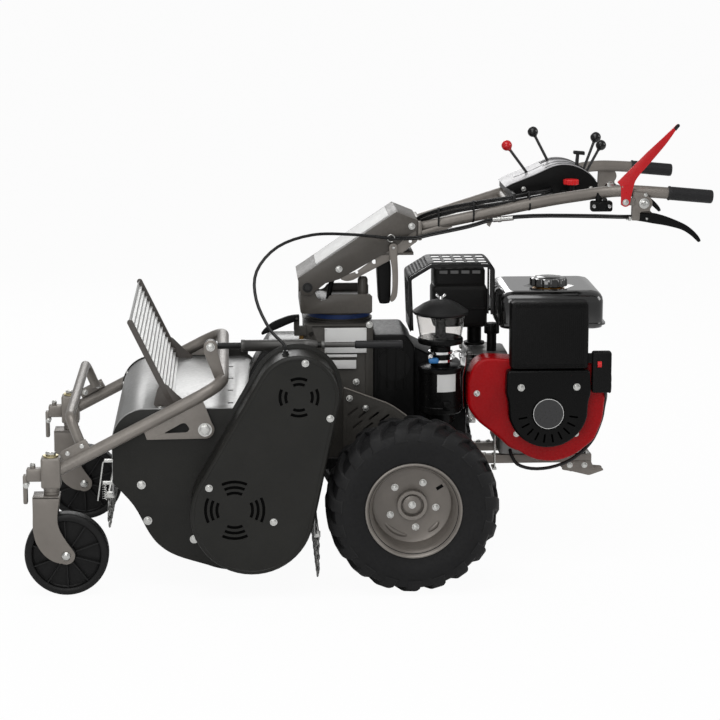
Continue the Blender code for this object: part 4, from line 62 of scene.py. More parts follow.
def studio_world():
    """White to the camera and through clear plastic, and weaker in reflections and as light on the machine.
    """
    world = bpy.data.worlds.new("studio_white")
    bpy.context.scene.world = world
    world.use_nodes = True
    tree = world.node_tree
    tree.nodes.clear()
    light_path = tree.nodes.new("ShaderNodeLightPath")
    seen = tree.nodes.new("ShaderNodeMath")
    seen.operation = "MAXIMUM"
    strength = tree.nodes.new("ShaderNodeMapRange")
    strength.inputs["To Min"].default_value = 0.42
    strength.inputs["To Max"].default_value = 1.0
    white = tree.nodes.new("ShaderNodeBackground")
    white.inputs["Color"].default_value = (1.0, 1.0, 1.0, 1.0)
    output = tree.nodes.new("ShaderNodeOutputWorld")
    tree.links.new(light_path.outputs["Is Camera Ray"], seen.inputs[0])
    tree.links.new(light_path.outputs["Is Transmission Ray"], seen.inputs[1])
    tree.links.new(seen.outputs[0], strength.inputs["Value"])
    tree.links.new(strength.outputs["Result"], white.inputs["Strength"])
    tree.links.new(white.outputs["Background"], output.inputs["Surface"])


def studio_floor():
    """A flat square; seen by the camera it is mostly plain white, and keeps part of the machine's shadow."""
    mesh = bpy.data.meshes.new("floor")
    half = 60.0
    mesh.from_pydata([(-half, -half, -0.001), (half, -half, -0.001), (half, half, -0.001),
                      (-half, half, -0.001)], [], [(0, 1, 2, 3)])
    floor = bpy.data.objects.new("floor", mesh)
    bpy.context.scene.collection.objects.link(floor)
    material = bpy.data.materials.new("floor_white")
    material.use_nodes = True
    tree = material.node_tree
    matt = tree.nodes["Principled BSDF"]
    matt.inputs["Base Color"].default_value = (0.86, 0.86, 0.86, 1.0)
    matt.inputs["Roughness"].default_value = 0.9
    matt.inputs["Specular IOR Level"].default_value = 0.1
    glow = tree.nodes.new("ShaderNodeEmission")
    glow.inputs["Color"].default_value = (1.0, 1.0, 1.0, 1.0)
    mix = tree.nodes.new("ShaderNodeMixShader")
    light_path = tree.nodes.new("ShaderNodeLightPath")
    share = tree.nodes.new("ShaderNodeMath")
    share.operation = "MULTIPLY"
    share.inputs[1].default_value = 0.955
    tree.links.new(light_path.outputs["Is Camera Ray"], share.inputs[0])
    tree.links.new(share.outputs[0], mix.inputs["Fac"])
    tree.links.new(matt.outputs["BSDF"], mix.inputs[1])
    tree.links.new(glow.outputs["Emission"], mix.inputs[2])
    tree.links.new(mix.outputs["Shader"], tree.nodes["Material Output"].inputs["Surface"])
    mesh.materials.append(material)


def studio_lamp(name, place, turn, size, watts):
    """A square soft lamp at a place, turned by X, Y and Z angles in degrees."""
    lamp = bpy.data.lights.new(name, "AREA")
    lamp.size = size
    lamp.energy = watts
    holder = bpy.data.objects.new(name, lamp)
    holder.location = place
    holder.rotation_euler = Euler([math.radians(a) for a in turn])
    bpy.context.scene.collection.objects.link(holder)


bpy.context.scene.view_settings.view_transform = "Standard"
studio_world()
studio_floor()
studio_lamp("top_lamp", (-0.6, -1.6, 3.4), (24, 0, 0), 2.6, 60.8)
studio_lamp("near_lamp", (-1.2, -5.0, 2.2), (68, 0, -12), 2.4, 51.5)
studio_lamp("rear_lamp", (3.6, -0.6, 2.0), (62, 0, 96), 1.6, 28.1)
studio_lamp("far_lamp", (-0.4, 3.6, 2.2), (-62, 0, 0), 2.0, 34.3)
camera = bpy.data.cameras.new("camera")
camera.lens = LENS
camera.sensor_width = 36.0
camera_holder = bpy.data.objects.new("camera", camera)
camera_holder.location = CAMERA_PLACE
camera_holder.rotation_euler = Euler((math.radians(90 - CAMERA_PITCH), 0.0, math.radians(-CAMERA_YAW)))
bpy.context.scene.collection.objects.link(camera_holder)
bpy.context.scene.camera = camera_holder


# Tyres. Each is a moulded rubber tractor tyre, about 413 mm over and 165 mm wide: smooth sidewalls with a
# raised bead ring, and bars that run from the middle of the tread over the shoulder, left and right in turn.
AXLE = np.array([0.103, 0.0, 0.0])
WHEEL_Y = 0.345
TYRE_RADIUS = 0.207
TREAD_DEPTH = 0.013
LUG_COUNT = 19
CRISP_ANGLE = 35.0


def joined_mesh(name, shapes, drop_slivers=True):
    """Shapes, each an array of points and a list of faces, as one mesh.

    Double points are merged, faces without area are dropped if asked, and all faces are turned outwards.
    """
    points, faces, start = [], [], 0
    for shape_points, shape_faces in shapes:
        points.append(shape_points)
        faces += [tuple(int(i) + start for i in face) for face in shape_faces]
        start += len(shape_points)
    mesh = bpy.data.meshes.new(name)
    mesh.from_pydata((np.concatenate(points) + AXLE).tolist(), [], faces)
    work = bmesh.new()
    work.from_mesh(mesh)
    bmesh.ops.remove_doubles(work, verts=work.verts, dist=1e-6)
    if drop_slivers:
        bmesh.ops.dissolve_degenerate(work, edges=work.edges, dist=1e-7)
    bmesh.ops.recalc_face_normals(work, faces=work.faces)
    work.to_mesh(mesh)
    work.free()
    return mesh


def piece(name, shapes, material, body, smooth_angle=CRISP_ANGLE):
    """Put shapes into one object that rides on a body. Edges sharper than the angle, in degrees, stay crisp.

    A body given as (body, body, start, end) leaves the piece unattached, with its place baked into its mesh.
    """
    mesh = joined_mesh(name, shapes)
    mesh.polygons.foreach_set("use_smooth", np.ones(len(mesh.polygons), bool))
    mesh.set_sharp_from_angle(angle=math.radians(smooth_angle))
    mesh.materials.append(material)
    made = bpy.data.objects.new(name, mesh)
    bpy.context.scene.collection.objects.link(made)
    if isinstance(body, str):
        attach(made, body)
    else:
        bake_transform(made)
    return made


def grid(points, wrap_rows=False, wrap_columns=False, first_cap=False, last_cap=False):
    """A surface through points[row, column], closed along rows or columns, with flat caps on its end rows."""
    rows, columns = points.shape[:2]
    index = np.arange(rows * columns).reshape(rows, columns)
    if wrap_rows:
        index = np.concatenate([index, index[:1]])
    if wrap_columns:
        index = np.concatenate([index, index[:, :1]], axis=1)
    quads = np.stack([index[:-1, :-1], index[1:, :-1], index[1:, 1:], index[:-1, 1:]], axis=-1).reshape(-1, 4)
    faces = quads.tolist()
    if first_cap:
        faces.append(list(range(columns)))
    if last_cap:
        faces.append(list(range((rows - 1) * columns, rows * columns)))
    return points.reshape(-1, 3), faces


def lathe(profile, centre, axis="Y", steps=48, closed=False):
    """Turn (radius, height) pairs round an axis: each point goes to radius times cosine and sine, plus
    height.
    """
    outline = np.array(profile, float)
    angle = np.linspace(0.0, 2 * np.pi, steps, endpoint=False)[:, None]
    first, second = outline[:, 0] * np.cos(angle), outline[:, 0] * np.sin(angle)
    height = np.broadcast_to(outline[:, 1], first.shape)
    order = {"X": (height, first, second), "Y": (first, height, second), "Z": (first, second, height)}[axis]
    return grid(np.stack(order, axis=-1) + np.array(centre), wrap_rows=True, wrap_columns=closed)


def shader_group(name, inputs, outputs):
    """An empty node group with named sockets, and its input and output nodes."""
    tree = bpy.data.node_groups.new(name, "ShaderNodeTree")
    for label, kind, value in inputs:
        socket = tree.interface.new_socket(label, in_out="INPUT", socket_type="NodeSocket" + kind)
        socket.default_value = value
    for label, kind in outputs:
        tree.interface.new_socket(label, in_out="OUTPUT", socket_type="NodeSocket" + kind)
    return tree, tree.nodes.new("NodeGroupInput"), tree.nodes.new("NodeGroupOutput")


def feed(tree, socket, value):
    """Link another node's output to a socket, or give the socket a plain value."""
    if isinstance(value, bpy.types.NodeSocket):
        tree.links.new(value, socket)
    else:
        socket.default_value = value


def node(tree, kind, settings=(), **links):
    """Add a node. Each link names an input, or its number as in _1, and gives a value or another node's
    output.
    """
    made = tree.nodes.new("ShaderNode" + kind)
    for key, value in dict(settings).items():
        setattr(made, key, value)
    for key, value in links.items():
        label = int(key[1:]) if key[1:].isdigit() else key.replace("_", " ")
        feed(tree, made.inputs[label], value)
    return made


def mix_colours(tree, share, first, second, blend="MIX"):
    """Two colours mixed by a share: the colour output of a Mix node."""
    made = tree.nodes.new("ShaderNodeMix")
    made.data_type = "RGBA"
    made.blend_type = blend
    for label, value in ((0, share), (6, first), (7, second)):
        feed(tree, made.inputs[label], value)
    return made.outputs[2]


def build_skin_group():
    """Coated or moulded skin: slow blotches in the colour, worn edges, a varying sheen and a fine grain."""
    tree, given, result = shader_group(
        "worn_skin",
        [("Colour", "Color", (0.5, 0.5, 0.5, 1)), ("Edge Colour", "Color", (0.6, 0.6, 0.6, 1)),
         ("Blotch", "Float", 0.15), ("Wear", "Float", 0.3), ("Sheen Low", "Float", 0.3),
         ("Sheen High", "Float", 0.5), ("Grain Scale", "Float", 900.0), ("Grain Depth", "Float", 0.0002)],
        [("Colour", "Color"), ("Roughness", "Float"), ("Normal", "Vector")])
    place = tree.nodes.new("ShaderNodeTexCoord").outputs["Object"]
    slow = node(tree, "TexNoise", Vector=place, Scale=9.0, Detail=4.0, Roughness=0.6)
    fast = node(tree, "TexNoise", Vector=place, Scale=130.0, Detail=3.0)
    shade = node(tree, "MapRange", Value=slow.outputs["Fac"], _1=0.3, _2=0.7, _3=0.0, _4=1.0)
    strength = node(tree, "Math", {"operation": "MULTIPLY"}, _0=shade.outputs[0], _1=given.outputs["Blotch"])
    darker = mix_colours(tree, strength.outputs[0], given.outputs["Colour"], (0.0, 0.0, 0.0, 1.0))
    edge = node(tree, "MapRange", Value=tree.nodes.new("ShaderNodeNewGeometry").outputs["Pointiness"],
                _1=0.52, _2=0.62, _3=0.0, _4=1.0)
    patchy = node(tree, "Math", {"operation": "MULTIPLY"}, _0=edge.outputs[0], _1=fast.outputs["Fac"])
    worn = node(tree, "Math", {"operation": "MULTIPLY"}, _0=patchy.outputs[0], _1=given.outputs["Wear"])
    tree.links.new(mix_colours(tree, worn.outputs[0], darker, given.outputs["Edge Colour"]),
                   result.inputs["Colour"])
    sheen = node(tree, "MapRange", Value=fast.outputs["Fac"], _1=0.3, _2=0.7,
                 _3=given.outputs["Sheen Low"], _4=given.outputs["Sheen High"])
    tree.links.new(sheen.outputs[0], result.inputs["Roughness"])
    grain = node(tree, "TexNoise", Vector=place, Scale=given.outputs["Grain Scale"], Detail=2.0)
    bump = node(tree, "Bump", Strength=1.0, Distance=given.outputs["Grain Depth"],
                Height=grain.outputs["Fac"])
    tree.links.new(bump.outputs["Normal"], result.inputs["Normal"])
    return tree


SKIN = build_skin_group()


def skin(name, colour, edge_colour=None, blotch=0.12, wear=0.25, sheen=(0.35, 0.5), grain=(900.0, 0.00015),
         metallic=0.0, coat=0.0, specular=0.5):
    """A Principled material that takes its colour, roughness and normal from the worn skin group."""
    material = bpy.data.materials.new(name)
    material.use_nodes = True
    tree = material.node_tree
    shader = tree.nodes["Principled BSDF"]
    shader.inputs["Metallic"].default_value = metallic
    shader.inputs["Coat Weight"].default_value = coat
    shader.inputs["Coat Roughness"].default_value = 0.08
    shader.inputs["Specular IOR Level"].default_value = specular
    group = tree.nodes.new("ShaderNodeGroup")
    group.node_tree = SKIN
    edge_colour = edge_colour or [min(1.0, c * 1.5 + 0.003) for c in colour]
    for label, value in (("Colour", (*colour, 1.0)), ("Edge Colour", (*edge_colour, 1.0)), ("Blotch", blotch),
                         ("Wear", wear), ("Sheen Low", sheen[0]), ("Sheen High", sheen[1]),
                         ("Grain Scale", grain[0]), ("Grain Depth", grain[1])):
        group.inputs[label].default_value = value
    for source, target in (("Colour", "Base Color"), ("Roughness", "Roughness"), ("Normal", "Normal")):
        tree.links.new(group.outputs[source], shader.inputs[target])
    return material


TYRE_RUBBER = skin("tyre_rubber", (0.0085, 0.0085, 0.009), (0.035, 0.035, 0.035), blotch=0.2, wear=0.5,
                   sheen=(0.48, 0.68), grain=(420.0, 0.0004), specular=0.2)


def tyre_carcass(y, out):
    """The tyre without its bars, turned round the axle; out is +1 or -1 for the outboard side."""
    ring = TYRE_RADIUS - TREAD_DEPTH
    section = [(0.1050, 0.0700), (0.1085, 0.0735), (0.1170, 0.0745), (0.1200, 0.0760), (0.1240, 0.0760),
               (0.1270, 0.0772), (0.1420, 0.0802), (0.1450, 0.0812), (0.1620, 0.0818), (0.1760, 0.0795),
               (0.1870, 0.0730), (ring - 0.002, 0.0620), (ring + 0.002, 0.0360), (ring + 0.003, 0.0)]
    other = [(r, -h) for r, h in section[-2::-1]]
    outline = [(r, out * h) for r, h in section + other]
    return lathe(outline, (0.0, y, TYRE_RADIUS), steps=72)


def tyre_lugs(y, phase):
    """Tread bars: each is a block on a bent stretch of the tread, whose angle grows from the middle outwards.

    Along the bar the place across the tread goes from just past the middle to the shoulder, and the bar's
    turn follows it as a straight slant with a steeper end. Five rows across the bar give its foot, flanks and
    top.
    """
    stations = np.linspace(0.0, 1.0, 9)
    across = -0.010 + stations * 0.0915
    slant = -0.05 + 0.30 * stations - 0.08 * stations ** 2
    crown = TYRE_RADIUS * (1.0 - 0.25 * (np.clip(across - 0.034, 0.0, None) / 0.05) ** 2 * 0.45)
    crown = np.where(stations > 0.93, crown - 0.012, crown)
    foot = np.minimum(crown - 0.003, TYRE_RADIUS - TREAD_DEPTH - 0.003
                      - 0.30 * np.clip(across - 0.052, 0.0, None) * (across > 0.052))
    half_width = 0.0125 + 0.0035 * stations
    rows = ((-1.25, foot), (-1.0, crown - 0.0012), (-0.86, crown), (0.86, crown), (1.0, crown - 0.0012),
            (1.25, foot))
    bars = []
    for side in (1.0, -1.0):
        turn = (np.arange(LUG_COUNT) + (0.0 if side > 0 else 0.5)) * 2 * np.pi / LUG_COUNT + phase
        angle = turn[:, None, None] + slant[None, :, None] + np.array(
            [share for share, _ in rows])[None, None, :] * (half_width / TYRE_RADIUS)[None, :, None]
        radius = np.stack([level for _, level in rows], axis=-1)[None]
        place = np.stack([radius * np.cos(angle), np.broadcast_to(side * across[None, :, None], angle.shape)
                          + y, radius * np.sin(angle) + TYRE_RADIUS], axis=-1)
        bars += [grid(bar, wrap_columns=True, first_cap=True, last_cap=True) for bar in place]
    return bars


for side, sign in (("left", -1), ("right", 1)):
    tyre = piece("tyre_" + side + "_moulded",
                 [tyre_carcass(sign * WHEEL_Y, sign), *tyre_lugs(sign * WHEEL_Y, 0.1)],
                 TYRE_RUBBER, "wheel_" + side, 32.0)
    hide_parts("tyre_" + side)


# Rims. Pressed steel halves in the machine's taupe paint: a rolled lip, a deep drop to the disc, a hub boss
# with its lock disc and bolt, five zinc wheel bolts, a valve slot and two pressed ribs in the lower half of
# the disc.
RIM_LIP = 0.1156
RIM_DISC_Y = 0.004
BOLT_CIRCLE = 0.058
TAUPE = skin("taupe_paint", (0.205, 0.185, 0.165), (0.42, 0.40, 0.37), blotch=0.22, wear=0.55,
             sheen=(0.30, 0.44), grain=(1400.0, 0.00012), metallic=0.35)
ZINC = skin("zinc_plated_steel", (0.62, 0.62, 0.60), (0.85, 0.85, 0.82), blotch=0.25, wear=0.4,
            sheen=(0.20, 0.38), grain=(1500.0, 0.0001), metallic=1.0)
# A near-black matt finish for thin sheets set into holes, slots and gaps: painted shade standing in for the
# dark inside them.
GAP_SHADE_BLACK = skin("unlit_gap", (0.004, 0.004, 0.004), blotch=0.05, wear=0.0, sheen=(0.8, 0.9), specular=0.05)


def arc(cx, cz, radius, start, end, steps):
    """Points at one distance from a middle, from one angle to another in degrees."""
    angle = np.radians(np.linspace(start, end, steps + 1))
    return np.stack([cx + radius * np.cos(angle), cz + radius * np.sin(angle)], axis=-1)


def inset(outline, distance):
    """A closed outline moved inwards: each corner slides along the mean of its two edges' normals."""
    before = outline - np.roll(outline, 1, axis=0)
    after = np.roll(outline, -1, axis=0) - outline
    area = np.sum(outline[:, 0] * np.roll(outline[:, 1], -1) - np.roll(outline[:, 0], -1) * outline[:, 1])
    normals = []
    for edge in (before, after):
        length = np.linalg.norm(edge, axis=1, keepdims=True)
        normals.append(np.stack([-edge[:, 1], edge[:, 0]], axis=-1) / np.maximum(length, 1e-9)
                       * np.sign(area))
    middle = normals[0] + normals[1]
    middle /= np.maximum(np.linalg.norm(middle, axis=1, keepdims=True), 1e-9)
    reach = distance / np.clip(np.sum(middle * normals[0], axis=1, keepdims=True), 0.35, 1.0)
    return outline + middle * reach


def lay(flat, height, plane):
    """Put flat pairs and heights into space: XZ faces sideways, XY lies flat and YZ faces fore and aft."""
    first, second = flat[..., 0], flat[..., 1]
    height = np.broadcast_to(height, first.shape)
    order = {"XZ": (first, height, second), "XY": (first, second, height),
             "YZ": (height, first, second)}[plane]
    return np.stack(order, axis=-1)


def prism(outline, low, high, edge=0.001, plane="XZ", steps=2):
    """An outline between two heights, with a rounded edge at both ends.

    Each ring is the outline drawn in by edge times one minus the cosine, at a height moved by edge times the
    sine.
    """
    outline = np.array(outline, float)
    turn = np.linspace(0.0, np.pi / 2, steps + 1)
    rise = edge * (1 - np.sin(turn))
    draw = edge * (1 - np.cos(turn))
    heights = np.concatenate([(low + rise)[::-1], high - rise])
    draws = np.concatenate([draw[::-1], draw])
    rings = np.stack([lay(inset(outline, d) if d > 0 else outline, h, plane) for d, h in zip(draws, heights)])
    return grid(rings, wrap_columns=True, first_cap=True, last_cap=True)


def repeat(shape, places):
    """Copies of a shape, one moved by each place."""
    points, faces = shape
    moves = np.array(places, float)
    moved = (points[None] + moves[:, None]).reshape(-1, 3)
    count = len(points)
    return moved, [[i + n * count for i in face] for n in range(len(moves)) for face in faces]


def hexagon(radius, turn=0.0):
    """Six corners round a middle."""
    return arc(0.0, 0.0, radius, turn, turn + 300, 5)


def bolts(places, radius, height, axis="Y", out=-1.0, turn=10.0):
    """Washers with hexagon heads and a domed end, standing out from places along an axis."""
    plane = {"X": "YZ", "Y": "XZ", "Z": "XY"}[axis]
    ends = sorted((out * height * 0.25, out * height))
    head = prism(hexagon(radius, turn), ends[0], ends[1], radius * 0.12, plane)
    washer = lathe([(0.0, 0.0), (radius * 1.22, 0.0), (radius * 1.22, out * height * 0.25),
                    (0.0, out * height * 0.28)], (0.0, 0.0, 0.0), axis, 20)
    stud = lathe([(0.0, out * height * 0.9), (radius * 0.52, out * height * 0.9),
                  (radius * 0.52, out * height * 1.2), (0.0, out * height * 1.32)], (0.0, 0.0, 0.0), axis, 12)
    return [repeat(part, places) for part in (head, washer, stud)]


def rim_shell(y, out):
    """Both halves of the rim and its disc as one turned shell."""
    section = [(0.0, 0.005), (0.040, 0.005), (0.086, 0.005), (0.0935, 0.009), (0.0965, 0.018),
               (0.0965, 0.052), (0.0985, 0.060), (0.1020, 0.066), (0.1060, 0.070), (0.1085, 0.076),
               (0.1120, 0.0788), (0.1150, 0.0780), (RIM_LIP, 0.0755), (0.1140, 0.0722), (0.1045, 0.0700),
               (0.1042, 0.0)]
    other = [(r, -h) for r, h in section[::-1]]
    return lathe([(r, out * h) for r, h in section + other[1:]], (0.0, y, TYRE_RADIUS), steps=72)


def disc_rib(y, out, start, end):
    """A pressed rib in the disc: a half-round bead along an arc that fades at both ends."""
    along = np.linspace(0.0, 1.0, 19)[:, None]
    round_it = np.linspace(-np.pi / 2, np.pi / 2, 7)[None]
    angle = np.radians(start + (end - start) * along)
    size = np.sin(np.pi * along) ** 0.5 * 0.0062 + 0.0004
    radius = 0.0790 + size * np.sin(round_it)
    height = out * (RIM_DISC_Y + size * np.cos(round_it) * 0.8) + y
    points = np.stack([radius * np.cos(angle), height, radius * np.sin(angle) + TYRE_RADIUS], axis=-1)
    return grid(points, wrap_columns=True, first_cap=True, last_cap=True)


for side, sign in (("left", -1), ("right", 1)):
    y = sign * WHEEL_Y
    face = y + sign * RIM_DISC_Y
    shaft = lathe([(0.0, y - sign * 0.002), (0.034, y - sign * 0.002), (0.030, sign * 0.305),
                   (0.0160, sign * 0.305), (0.0160, sign * 0.02), (0.0, sign * 0.02)],
                  (0.0, 0.0, TYRE_RADIUS), steps=32)
    rim = piece("rim_" + side + "_pressed",
                [rim_shell(y, sign), disc_rib(y, sign, 215, 263), disc_rib(y, sign, 299, 326), shaft],
                TAUPE, "wheel_" + side)
    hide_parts("rim_" + side)
    boss = lathe([(0.0, face), (0.0370, face), (0.0370, face + sign * 0.0185),
                  (0.0355, face + sign * 0.0200), (0.0285, face + sign * 0.0200),
                  (0.0270, face + sign * 0.0185), (0.0270, face + sign * 0.0040),
                  (0.0, face + sign * 0.0040)], (0.0, 0.0, TYRE_RADIUS), steps=40)
    lock_disc = lathe([(0.0, face), (0.0225, face), (0.0225, face + sign * 0.0115),
                       (0.0210, face + sign * 0.0125), (0.0, face + sign * 0.0125)], (0.0, 0.0, TYRE_RADIUS),
                      steps=32)
    turn = np.radians(72 * np.arange(5) + 63)
    bolt_places = np.stack([BOLT_CIRCLE * np.cos(turn), np.full(5, face),
                            TYRE_RADIUS + BOLT_CIRCLE * np.sin(turn)], axis=-1)
    piece("hub_boss_" + side, [boss, lock_disc], TAUPE, "wheel_" + side)
    hub_bolt = bolts([(0.0, face + sign * 0.012, TYRE_RADIUS)], 0.0075, 0.007, out=sign)
    piece("wheel_bolts_" + side, [*bolts(bolt_places, 0.0072, 0.009, out=sign), *hub_bolt], ZINC,
          "wheel_" + side)
    # The valve slot is not cut: a thin black sheet on the disc stands in for it, painted shade of the hole.
    slot_turn = math.radians(31)
    slot_middle = np.array([0.081 * math.cos(slot_turn), 0.081 * math.sin(slot_turn) + TYRE_RADIUS])
    across = np.array([math.sin(slot_turn), -math.cos(slot_turn)]) * 0.0042
    along = np.array([math.cos(slot_turn), math.sin(slot_turn)]) * 0.0125
    slot_outline = [slot_middle - along - across, slot_middle + along - across, slot_middle + along + across,
                    slot_middle - along + across]
    piece("valve_slot_" + side, [prism(slot_outline, *sorted((face, face + sign * 0.0011)), edge=0.0003)],
          GAP_SHADE_BLACK, "wheel_" + side)


# Castor wheels. Moulded black wheels, 200 mm across, with a plain rubber tread. Ten stiffening ribs join the
# hub to the rim, and each wheel rolls on the bolt of its fork.
SWIVEL_X = -0.856
CASTOR_X = -0.823
CASTOR_Y = 0.360
CASTOR_RADIUS = 0.100
CASTOR_RUBBER = skin("castor_rubber", (0.007, 0.007, 0.007), (0.05, 0.05, 0.05), blotch=0.2, wear=0.6,
                     sheen=(0.34, 0.55), grain=(500.0, 0.0002), specular=0.2)


def spin(shape, centre, angles, axis="Y"):
    """Copies of a shape turned round an axis through centre by each angle in degrees."""
    points, faces = shape
    turn = np.radians(np.array(angles, float))[:, None]
    first, second = {"X": (1, 2), "Y": (0, 2), "Z": (0, 1)}[axis]
    moved = np.broadcast_to(points - centre, (len(turn), *points.shape)).copy()
    a, b = moved[:, :, first].copy(), moved[:, :, second].copy()
    moved[:, :, first] = a * np.cos(turn) - b * np.sin(turn)
    moved[:, :, second] = a * np.sin(turn) + b * np.cos(turn)
    count = len(points)
    return (moved + centre).reshape(-1, 3), [[i + n * count for i in face] for n in range(len(turn))
                                             for face in faces]


def block(low, high, edge=0.001):
    """A box between two corners, with all its edges rounded."""
    (x0, y0, z0), (x1, y1, z1) = low, high
    r = min(edge, (x1 - x0) / 2.2, (z1 - z0) / 2.2, (y1 - y0) / 2.2)
    corners = [arc(x1 - r, z1 - r, r, 0, 90, 2), arc(x0 + r, z1 - r, r, 90, 180, 2),
               arc(x0 + r, z0 + r, r, 180, 270, 2), arc(x1 - r, z0 + r, r, 270, 360, 2)]
    return prism(np.concatenate(corners), y0, y1, r)


def castor_section():
    """The wheel's section from the hub out along the outboard side, over the tread and back."""
    side = [(0.0066, 0.0230), (0.0200, 0.0230), (0.0225, 0.0205), (0.0240, 0.0090), (0.0780, 0.0085),
            (0.0810, 0.0110), (0.0825, 0.0205), (0.0850, 0.0224), (0.0905, 0.0230), (0.0950, 0.0222),
            (0.0985, 0.0190), (0.0998, 0.0140), (0.1000, 0.0080)]
    return side + [(r, -h) for r, h in side[::-1]]


for side, sign in (("left", -1), ("right", 1)):
    middle = np.array([CASTOR_X, sign * CASTOR_Y, CASTOR_RADIUS])
    rib = block(middle + [0.0230, -0.0205, -0.0016], middle + [0.0815, 0.0205, 0.0016], 0.0008)
    wheel = piece("castor_wheel_" + side + "_moulded",
                  [lathe(castor_section(), middle, steps=60, closed=True),
                   spin(rib, middle, np.arange(10) * 36 + 20)],
                  CASTOR_RUBBER, "castor_wheel_" + side)
    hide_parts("castor_wheel_" + side)


# Castor forks. Each is folded from 5 mm plate: two swept-back cheeks under a top plate, welded to a stem that
# ends in a washer and a hexagon nut above the head. A bolt with domed zinc heads carries the wheel.
FORK_TOP = 0.2437
CHEEK_Y = 0.0285
BRASSY_ZINC = skin("yellow_zinc_steel", (0.50, 0.42, 0.22), (0.75, 0.68, 0.45), blotch=0.3, wear=0.4,
                   sheen=(0.25, 0.42), metallic=1.0)


def smooth(points, samples=6):
    """A curve through the points: each stretch blends its end points and their neighbours with cubic weights.
    """
    path = np.array(points, float)
    path = np.concatenate([[2 * path[0] - path[1]], path, [2 * path[-1] - path[-2]]])
    t = np.linspace(0.0, 1.0, samples, endpoint=False)[None, :, None]
    a, b, c, d = path[:-3, None], path[1:-2, None], path[2:-1, None], path[3:, None]
    curve = 0.5 * (2 * b + (c - a) * t + (2 * a - 5 * b + 4 * c - d) * t ** 2 + (3 * b - a - 3 * c + d)
                   * t ** 3)
    return np.concatenate([curve.reshape(-1, path.shape[1]), path[-2:-1]])


def fork_cheek():
    """The cheek's outline: straight at the top, swept back to a round end about the wheel's bolt."""
    rear = smooth([(-0.836, FORK_TOP), (-0.8415, 0.195), (-0.8385, 0.168), (-0.826, 0.142),
                   (-0.8062, 0.1128)], 6)
    end = arc(CASTOR_X, CASTOR_RADIUS, 0.021, 28, -118, 14)
    front = smooth([(-0.8345, 0.0806), (-0.855, 0.0875), (-0.876, 0.104), (-0.893, 0.132), (-0.8998, 0.165),
                    (-0.8995, 0.205), (-0.8995, FORK_TOP)], 6)
    return np.concatenate([rear[:-1], end, front[1:]])


for side, sign in (("left", -1), ("right", 1)):
    y = sign * CASTOR_Y
    cheeks = [prism(fork_cheek(), y + step - 0.0025, y + step + 0.0025, 0.0012)
              for step in (-CHEEK_Y, CHEEK_Y)]
    top = block((-0.8995, y - CHEEK_Y - 0.0025, FORK_TOP - 0.005), (-0.836, y + CHEEK_Y + 0.0025, FORK_TOP),
                0.0015)
    fork = piece("castor_fork_" + side + "_folded", [*cheeks, top], TAUPE, "castor_fork_" + side)
    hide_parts("castor_fork_" + side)
    axle = lathe([(0.0, -0.0325), (0.0060, -0.0325), (0.0060, 0.0325), (0.0, 0.0325)],
                 (CASTOR_X, y, CASTOR_RADIUS), steps=16)
    dome = [(0.0, 0.0375), (0.0055, 0.0368), (0.0095, 0.0345), (0.0110, 0.0318), (0.0110, 0.0305),
            (0.0, 0.0305)]
    heads = [lathe([(r, out * h) for r, h in dome], (CASTOR_X, y, CASTOR_RADIUS), steps=28)
             for out in (-1, 1)]
    nut = prism(hexagon(0.0125, 12) + [SWIVEL_X, y], 0.3395, 0.3470, 0.0010, "XY")
    stem = lathe([(0.0, 0.2440), (0.0100, 0.2440), (0.0100, 0.3440), (0.0085, 0.3480), (0.0, 0.3480)],
                 (SWIVEL_X, y, 0.0), "Z", 24)
    piece("castor_bolts_" + side, [axle, *heads, nut, stem], ZINC, "castor_fork_" + side)
    washer = lathe([(0.0102, 0.3354), (0.0180, 0.3354), (0.0180, 0.3392), (0.0102, 0.3392)],
                   (SWIVEL_X, y, 0.0), "Z", 28, closed=True)
    piece("stem_washer_" + side, [washer], BRASSY_ZINC, "castor_fork_" + side)


# Castor frame. A 30 mm tube bent to a U, welded at its front ends to square heads with a clamp lug and a
# hanging lock plate, and at the sides to pierced gussets that pivot on the deck. A flat bar stands up from it
# as the height lever.
ARM_FRONT = np.array([-0.850, 0.296])
ARM_BEND = np.array([-0.450, 0.504])
FRAME_TUBE = 0.015
PIVOT = (-0.4916, 0.3967)
LEVER_EYE = (-0.477, 0.584)
ARM_TURN = math.atan2(0.208, 0.400)


def circle(radius, steps=16):
    """Points round a circle, for the section of a tube."""
    return arc(0.0, 0.0, radius, 0, 360 * (steps - 1) / steps, steps - 1)


def sweep(path, section, up=(0.0, 0.0, 1.0), scale=None):
    """Carry a section along a path: its first part goes sideways, its second along the cross of side and
    tangent.
    """
    path = np.array(path, float)
    tangent = np.gradient(path, axis=0)
    tangent /= np.linalg.norm(tangent, axis=1, keepdims=True)
    side = np.cross(tangent, np.array(up, float))
    side /= np.linalg.norm(side, axis=1, keepdims=True)
    rise = np.cross(side, tangent)
    section = np.array(section, float)
    size = np.ones(len(path)) if scale is None else np.array(scale, float)
    points = path[:, None] + size[:, None, None] * (
        section[None, :, :1] * side[:, None] + section[None, :, 1:] * rise[:, None])
    return grid(points, wrap_columns=True, first_cap=True, last_cap=True)


def rounded_path(corners, radius, steps=8):
    """A route of straight runs whose corners are drawn as curves that start and end a radius away from them.
    """
    corners = [np.array(c, float) for c in corners]
    route = [corners[0][None]]
    for before, corner, after in zip(corners, corners[1:], corners[2:]):
        back, ahead = before - corner, after - corner
        reach = min(radius, np.linalg.norm(back) * 0.49, np.linalg.norm(ahead) * 0.49)
        first = corner + back / np.linalg.norm(back) * reach
        last = corner + ahead / np.linalg.norm(ahead) * reach
        t = np.linspace(0.0, 1.0, steps + 1)[:, None]
        route.append(first * (1 - t) ** 2 + corner * 2 * t * (1 - t) + last * t ** 2)
    route.append(corners[-1][None])
    return np.concatenate(route)


